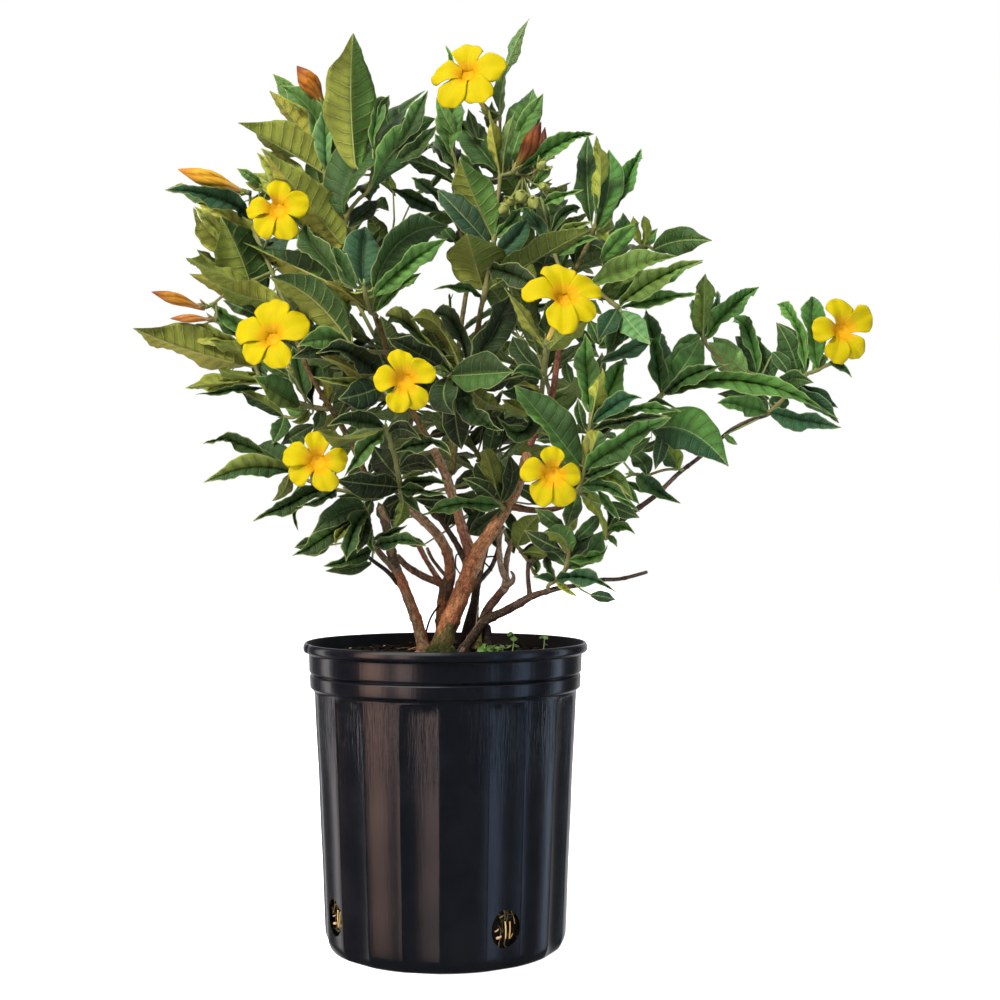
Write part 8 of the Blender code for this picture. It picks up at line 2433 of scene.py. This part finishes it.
    # a few dry straws at the foot of the stems
    for k in range(16):
        x, y = rng.uniform(-0.055, 0.06), rng.uniform(-0.03, 0.07)
        d = rng.uniform(0, 6.28)
        a0 = Vector((x, y, SOIL_TOP + 0.0015))
        b0 = a0 + Vector((math.cos(d) * 0.016, math.sin(d) * 0.016, rng.uniform(0.0, 0.004)))
        m0 = a0.lerp(b0, 0.5) + Vector((0, 0, 0.0012))
        p, r, s = smooth_path([(a0, 0.0004), (m0, 0.00045), (b0, 0.0003)], 0.002)
        v, f = tube(p, r, 6, cap=(0.4, 0.8))
        piece.add(v, f, 1, rng.choice([lin(150, 128, 92), lin(104, 84, 58)]))
    piece.show("potting_soil")


def make_moss(mats):
    piece = Piece("moss_tuft", mats)
    c = vec(place(441, 645, -38))
    rng = random.Random(11)
    n, m = 12, 30
    ang = 2 * np.pi * np.arange(m) / m
    rows = []
    for i in range(n):
        e = (math.pi / 2) * i / n
        lump = np.array([1 + 0.22 * noise.noise(Vector((math.cos(a) * 2.2, math.sin(a) * 2.2, e * 2.0))) for a in ang])
        rad = math.cos(e)
        rows.append(np.stack([c[0] + 0.0140 * rad * np.cos(ang) * lump, c[1] + 0.0070 * rad * np.sin(ang) * lump,
                              SOIL_TOP + 0.0003 + 0.0080 * math.sin(e) * lump], axis=1))
    v, f = ring_solid(rows)
    piece.add(v, f, 0, np.array((0.030, 0.034, 0.011)))
    for k in range(520):
        e, a = math.asin(rng.random() ** 0.7), rng.uniform(0, 2 * math.pi)
        nrm = unit(np.array((math.cos(a) * math.cos(e) / 1.4, math.sin(a) * math.cos(e) / 0.7, math.sin(e))))
        at = np.array((c[0] + 0.0137 * math.cos(e) * math.cos(a), c[1] + 0.0068 * math.cos(e) * math.sin(a),
                       SOIL_TOP + 0.0003 + 0.0079 * math.sin(e)))
        way = unit(nrm + np.array([rng.uniform(-0.7, 0.7) for _ in range(3)]))
        s = unit(np.cross(way, (0.3, 0.5, 0.8)))
        q = np.cross(way, s)
        h, w = rng.uniform(0.0012, 0.0026), rng.uniform(0.00025, 0.00050)
        pts = np.array([at + s * w, at - s * w * 0.5 + q * w * 0.87, at - s * w * 0.5 - q * w * 0.87, at + way * h])
        tone = rng.choice([np.array((0.075, 0.080, 0.018)), np.array((0.040, 0.060, 0.014)),
                           np.array((0.13, 0.11, 0.040)), np.array((0.030, 0.034, 0.014))])
        piece.add(pts, [np.array([(0, 2, 1), (0, 1, 3), (1, 2, 3), (2, 0, 3)])], 0, tone, flat=True)
    obj = piece.show("moss_cushion")
    finish_mesh(obj)


def round_leaf(piece, centre, normal, radius, tone, dome=0.25):
    n = 12
    ang = 2 * np.pi * np.arange(n) / n
    normal = unit(np.asarray(normal, float))
    s = unit(np.cross(normal, (0.21, 0.9, 0.35)))
    q = np.cross(normal, s)
    rows = []
    for rr, z in ((0.05, -0.0002 / radius), (0.55, -0.10 * dome - 0.0002 / radius), (0.96, -0.8 * dome - 0.0002 / radius),
                  (1.0, -0.85 * dome), (0.96, -0.8 * dome + 0.00015 / radius), (0.55, -0.10 * dome), (0.05, 0.0)):
        notch = 1.0 + 0.05 * np.cos(5 * ang + centre[0] * 900)
        rows.append(centre + (s * np.cos(ang)[:, None] + q * np.sin(ang)[:, None]) * (rr * radius * notch)[:, None]
                    + normal * (z * radius))
    v, f = ring_solid(rows)
    piece.add(v, f, 0, tone, (0.5, 2.0, 2.0))


def make_weeds(mats):
    piece = Piece("seedlings", mats)
    rng = random.Random(23)
    green = [np.array((0.058, 0.125, 0.024)), np.array((0.034, 0.084, 0.018)), np.array((0.095, 0.165, 0.040))]
    plants = []
    for u, v, depth, height, leaf_r in WEEDS:
        foot = place(u, v, depth)
        foot.z = SOIL_TOP + 0.0004
        plants.append((foot, height, leaf_r, 5 if height > 0.012 else 8))
    # more of the same along the runner, behind the rim, and a lone sprout further right
    for u, depth, height, leaf_r, count in ((487, -30, 0.009, 0.0032, 7), (497, -30, 0.008, 0.0030, 7),
                                             (480, -22, 0.010, 0.0028, 5), (502, -24, 0.007, 0.0028, 5),
                                             (543, -14, 0.013, 0.0024, 3)):
        foot = place(u, 645, depth)
        foot.z = SOIL_TOP + 0.0004
        plants.append((foot, height, leaf_r, count))
    for foot, height, leaf_r, count in plants:
        tall = height > 0.012
        stems = 1 if tall else 3
        for j in range(stems):
            lean = Vector((rng.uniform(-0.25, 0.25), rng.uniform(-0.25, 0.25), 1.0)).normalized()
            if tall:
                lean = Vector((0.10, 0.0, 1.0)).normalized()
            h = height * (1.0 if tall else rng.uniform(0.5, 1.0))
            a0, b0 = foot - Vector((0, 0, 0.001)), foot + lean * h
            m0 = a0.lerp(b0, 0.5) + Vector((0.0004, 0, 0))
            p, r, s = smooth_path([(a0, 0.00055), (m0, 0.0005), (b0, 0.0004)], 0.0014)
            v, f = tube(p, r, 6, cap=(0.3, 0.5))
            piece.add(v, f, 1, np.array((0.20, 0.26, 0.10)))
            for k in range(max(1, count // stems)):
                a = 2.4 * k + rng.uniform(0, 0.8) + j
                up = rng.uniform(0.35, 1.0)
                out = np.array((math.cos(a), math.sin(a), 0.0))
                at = vec(a0.lerp(b0, up)) + out * leaf_r * rng.uniform(0.9, 1.3) + np.array((0, 0, leaf_r * 0.3))
                nrm = unit(np.array((0, 0, 1.0)) + out * rng.uniform(0.1, 0.7) + np.array((0, -0.5, 0)))
                round_leaf(piece, at, nrm, leaf_r * rng.uniform(0.75, 1.05), rng.choice(green) * rng.uniform(0.85, 1.15))
    obj = piece.show("weed_seedlings")
    finish_mesh(obj)


# ------------------------------------------------------------ camera, floor and light
def make_camera():
    cam = bpy.data.cameras.new("camera")
    cam.sensor_width = 36.0
    cam.lens = 36.0 * FOCAL / 1000.0
    cam.shift_y = (LEVEL_V - 500.0) / 1000.0
    cam.clip_end = 100.0
    obj = bpy.data.objects.new("camera", cam)
    obj.location = EYE
    obj.rotation_euler = (math.pi / 2, 0.0, 0.0)
    bpy.context.scene.collection.objects.link(obj)
    bpy.context.scene.camera = obj


def make_floor():
    bm = bmesh.new()
    bmesh.ops.create_grid(bm, x_segments=24, y_segments=24, size=9.0)
    mesh = bpy.data.meshes.new("floor")
    bm.to_mesh(mesh)
    bm.free()
    obj = bpy.data.objects.new("floor", mesh)
    obj.location = (0, 0, -0.0004)
    bpy.context.scene.collection.objects.link(obj)
    n = Nodes("floor_white")
    a = n.noise(n.coords(), 3.0, 2.0)
    col = n.mix(a, (0.90, 0.90, 0.90), (0.94, 0.94, 0.94))
    seen = n.tree.nodes.new("ShaderNodeLightPath").outputs["Is Camera Ray"]
    n.set(Base_Color=col, Roughness=0.9, Specular_IOR_Level=0.0, Emission_Color=(1, 1, 1), Emission_Strength=seen)
    mesh.materials.append(n.mat)
    obj.visible_glossy = False


def area(name, at, to, size, power, colour=(1, 1, 1), glossy=False):
    light = bpy.data.lights.new(name, "AREA")
    light.shape = "DISK"
    light.size = size
    light.energy = power
    light.color = colour
    obj = bpy.data.objects.new(name, light)
    obj.location = at
    obj.rotation_euler = (Vector(to) - Vector(at)).to_track_quat("-Z", "Y").to_euler()
    obj.visible_glossy = glossy
    obj.visible_camera = False
    bpy.context.scene.collection.objects.link(obj)


def make_world():
    world = bpy.data.worlds.new("studio")
    bpy.context.scene.world = world
    world.use_nodes = True
    tree = world.node_tree
    tree.nodes.clear()

    def new(kind):
        return tree.nodes.new(kind)

    def math_(op, a, b=None, clamp=False):
        node = new("ShaderNodeMath")
        node.operation, node.use_clamp = op, clamp
        for k, v in enumerate((a, b)):
            if isinstance(v, bpy.types.NodeSocket):
                tree.links.new(v, node.inputs[k])
            elif v is not None:
                node.inputs[k].default_value = v
        return node.outputs[0]

    def step(value, lo, hi):
        node = new("ShaderNodeMapRange")
        node.interpolation_type = "SMOOTHSTEP"
        tree.links.new(value, node.inputs["Value"])
        node.inputs["From Min"].default_value = lo
        node.inputs["From Max"].default_value = hi
        return node.outputs[0]

    def colour(value, rgb):
        node = new("ShaderNodeVectorMath")
        node.operation = "SCALE"
        node.inputs[0].default_value = rgb
        tree.links.new(value, node.inputs[3])
        return node.outputs[0]

    def plus(a, b):
        node = new("ShaderNodeVectorMath")
        node.operation = "ADD"
        tree.links.new(a, node.inputs[0])
        tree.links.new(b, node.inputs[1])
        return node.outputs[0]

    coord = new("ShaderNodeTexCoord")
    split = new("ShaderNodeSeparateXYZ")
    tree.links.new(coord.outputs["Generated"], split.inputs[0])
    x, y, z = split.outputs
    az = math_("ARCTAN2", x, math_("MULTIPLY", y, -1.0))     # 0 towards the viewer, + to the right
    back = step(math_("ABSOLUTE", az), 2.42, 2.85)           # white wall behind the plant
    top = step(z, 0.15, 0.85)
    low = step(z, -0.40, -0.02)
    base = math_("ADD", math_("MULTIPLY", back, WORLD["back"]), WORLD["front"])
    base = math_("ADD", base, math_("MULTIPLY", top, WORLD["top"]))
    base = math_("MULTIPLY", base, math_("SUBTRACT", 1.6, math_("MULTIPLY", low, 0.6)))
    total = colour(base, (1.0, 1.0, 1.02))

    def patch(middle, half, lo, hi, rgb):
        d = math_("ABSOLUTE", math_("SUBTRACT", az, math.radians(middle)))
        a = step(d, math.radians(half), math.radians(half * 0.45))
        b = math_("MULTIPLY", step(z, lo[0], lo[1]), step(z, hi[0], hi[1]))
        return colour(math_("MULTIPLY", a, b), rgb)

    for spec in WORLD["patches"]:
        total = plus(total, patch(*spec))
    seen = new("ShaderNodeBackground")
    seen.inputs[0].default_value = (1, 1, 1, 1)
    seen.inputs[1].default_value = 1.0
    felt = new("ShaderNodeBackground")
    tree.links.new(total, felt.inputs[0])
    felt.inputs[1].default_value = 1.0
    path = new("ShaderNodeLightPath")
    mix = new("ShaderNodeMixShader")
    tree.links.new(path.outputs["Is Camera Ray"], mix.inputs[0])
    tree.links.new(felt.outputs[0], mix.inputs[1])
    tree.links.new(seen.outputs[0], mix.inputs[2])
    out = new("ShaderNodeOutputWorld")
    tree.links.new(mix.outputs[0], out.inputs[0])


WORLD = {
    "back": 0.52, "front": 0.057, "top": 0.24,
    # middle and half width in degrees, fade in and out by height, colour
    "patches": [
        (-60.0, 14.0, (-0.46, -0.12), (0.80, 0.20), (3.6, 2.2, 1.75)),
        (-33.0, 10.0, (-0.50, -0.12), (0.62, 0.15), (2.9, 2.05, 1.8)),
        (-117.0, 7.0, (-0.60, -0.20), (0.50, 0.10), (2.2, 2.1, 2.1)),
        (70.0, 9.0, (-0.60, -0.20), (0.60, 0.15), (0.80, 1.08, 1.60)),
        (42.0, 4.0, (-0.60, -0.20), (0.60, 0.15), (0.62, 0.84, 1.25)),
        (110.0, 6.0, (-0.60, -0.20), (0.60, 0.15), (1.45, 1.75, 2.3)),
        (-35.0, 48.0, (0.30, 0.55), (1.20, 0.99), (2.6, 2.5, 2.3)),
    ],
}


def main():
    scene = bpy.context.scene
    scene.view_settings.view_transform = "Standard"
    scene.view_settings.look = "None"
    scene.view_settings.exposure = 0.0
    make_camera()

    stem_runs, twigs, flowers, buds, stalks, leaves, dropped = plan_plant()
    twigs["back_left"][1] = [x for x in twigs["back_left"][1] if unplace(x[0])[1] > 248]
    leaves = [x for x in leaves if x.name not in OPEN] + extra_leaves(twigs) + middle_leaves(twigs)
    for leaf in leaves:
        if leaf.name in BEHIND:
            push = Vector((0.0, BEHIND[leaf.name], 0.0))
            leaf.tip, leaf.mid = leaf.tip + push, leaf.mid + push * 0.6
            leaf.ctrl = leaf.mid * 2.0 - (leaf.base + leaf.tip) * 0.5
    for leaf in leaves:
        leaf.width *= 1.10 if leaf.name[0] != "X" else 1.0
        if leaf.name in ("G1", "G3"):
            leaf.width, leaf.al, leaf.ar = leaf.width * (1.3 if leaf.name == "G1" else 0.95), leaf.al * 0.45, leaf.ar * 0.45
        if leaf.name == "T2":
            leaf.width *= 1.6
        leaf.tones = REPAINT.get(leaf.name, leaf.tones)
    top, under = leaf_material("leaf_upper", True), leaf_material("leaf_under", False)
    twig = twig_material("green_twig", (0.10, 0.125, 0.035), (0.20, 0.205, 0.075), (0.26, 0.22, 0.12))
    bark = bark_material()
    petal = petal_material()
    amber, red = bud_material("bud_amber", 0.45), bud_material("bud_red", 0.45)
    mats = [top, under, twig]

    stem_paths = []
    for name, rows in STEMS.items():
        if name == "stem_long_right":      # leaves the low stem's side branch, behind the leaves there
            rows = [[(528, 567, -33, 2.0), (533, 560, -22, 2.1), (546, 556, -4, 2.3), (562, 556, 10, 2.5)] + rows[0][3:]]
        runs = [run_points(r) for r in rows]
        if name in FEET:
            p0, p1 = runs[0][0][0], runs[0][1][0]
            way = (p0 - p1).normalized()
            reach = (p0.z - SOIL_TOP + 0.004) / max(0.3, -way.z)
            runs[0] = [(p0 + way * reach, runs[0][0][1] * 1.12)] + runs[0]
        stem_paths += make_stem(name, runs, stem_paths, [bark])

    for shoot, runs in twigs.items():
        make_shoot(shoot, runs, [x for x in leaves if x.shoot == shoot],
                   [x for x in stalks if x[1] == shoot], stem_paths, mats)
    for name, spec in FLOWERS.items():
        make_flower(name, spec, [petal])
    for name, spec in BUDS.items():
        make_bud(name, spec, [red if "red" in name else amber])
    make_pot([pot_material(), pot_inside_material()])
    make_soil([soil_material(), plain_tone_material("root", 0.8, 420.0)])
    make_moss([plain_tone_material("moss", 0.95, 900.0)])
    make_weeds([plain_tone_material("weed", 0.55, 260.0, 0.0002), plain_tone_material("weed_stem", 0.6)])

    make_floor()
    area("key", (-1.05, -1.55, 1.85), (0.0, 0.0, 0.45), 0.42, 62.0, (1.0, 0.98, 0.94))
    area("fill", (1.35, -1.60, 0.95), (0.0, 0.0, 0.45), 1.0, 4.2, (0.95, 0.98, 1.0))
    area("behind", (0.55, 1.75, 1.55), (0.0, 0.0, 0.5), 0.8, 24.0, (1.0, 1.0, 0.98))
    area("overhead", (0.1, 0.25, 2.1), (0.0, 0.0, 0.4), 0.9, 11.0, (1.0, 1.0, 0.98))
    make_world()


main()
tris = {}
for o in bpy.data.objects:
    if o.type == "MESH" and not o.hide_render and o.name != "floor":
        tris[o.name] = sum(len(p.vertices) - 2 for p in o.data.polygons)
print("triangles:", sum(tris.values()), "largest:", sorted(tris.items(), key=lambda kv: -kv[1])[:6])
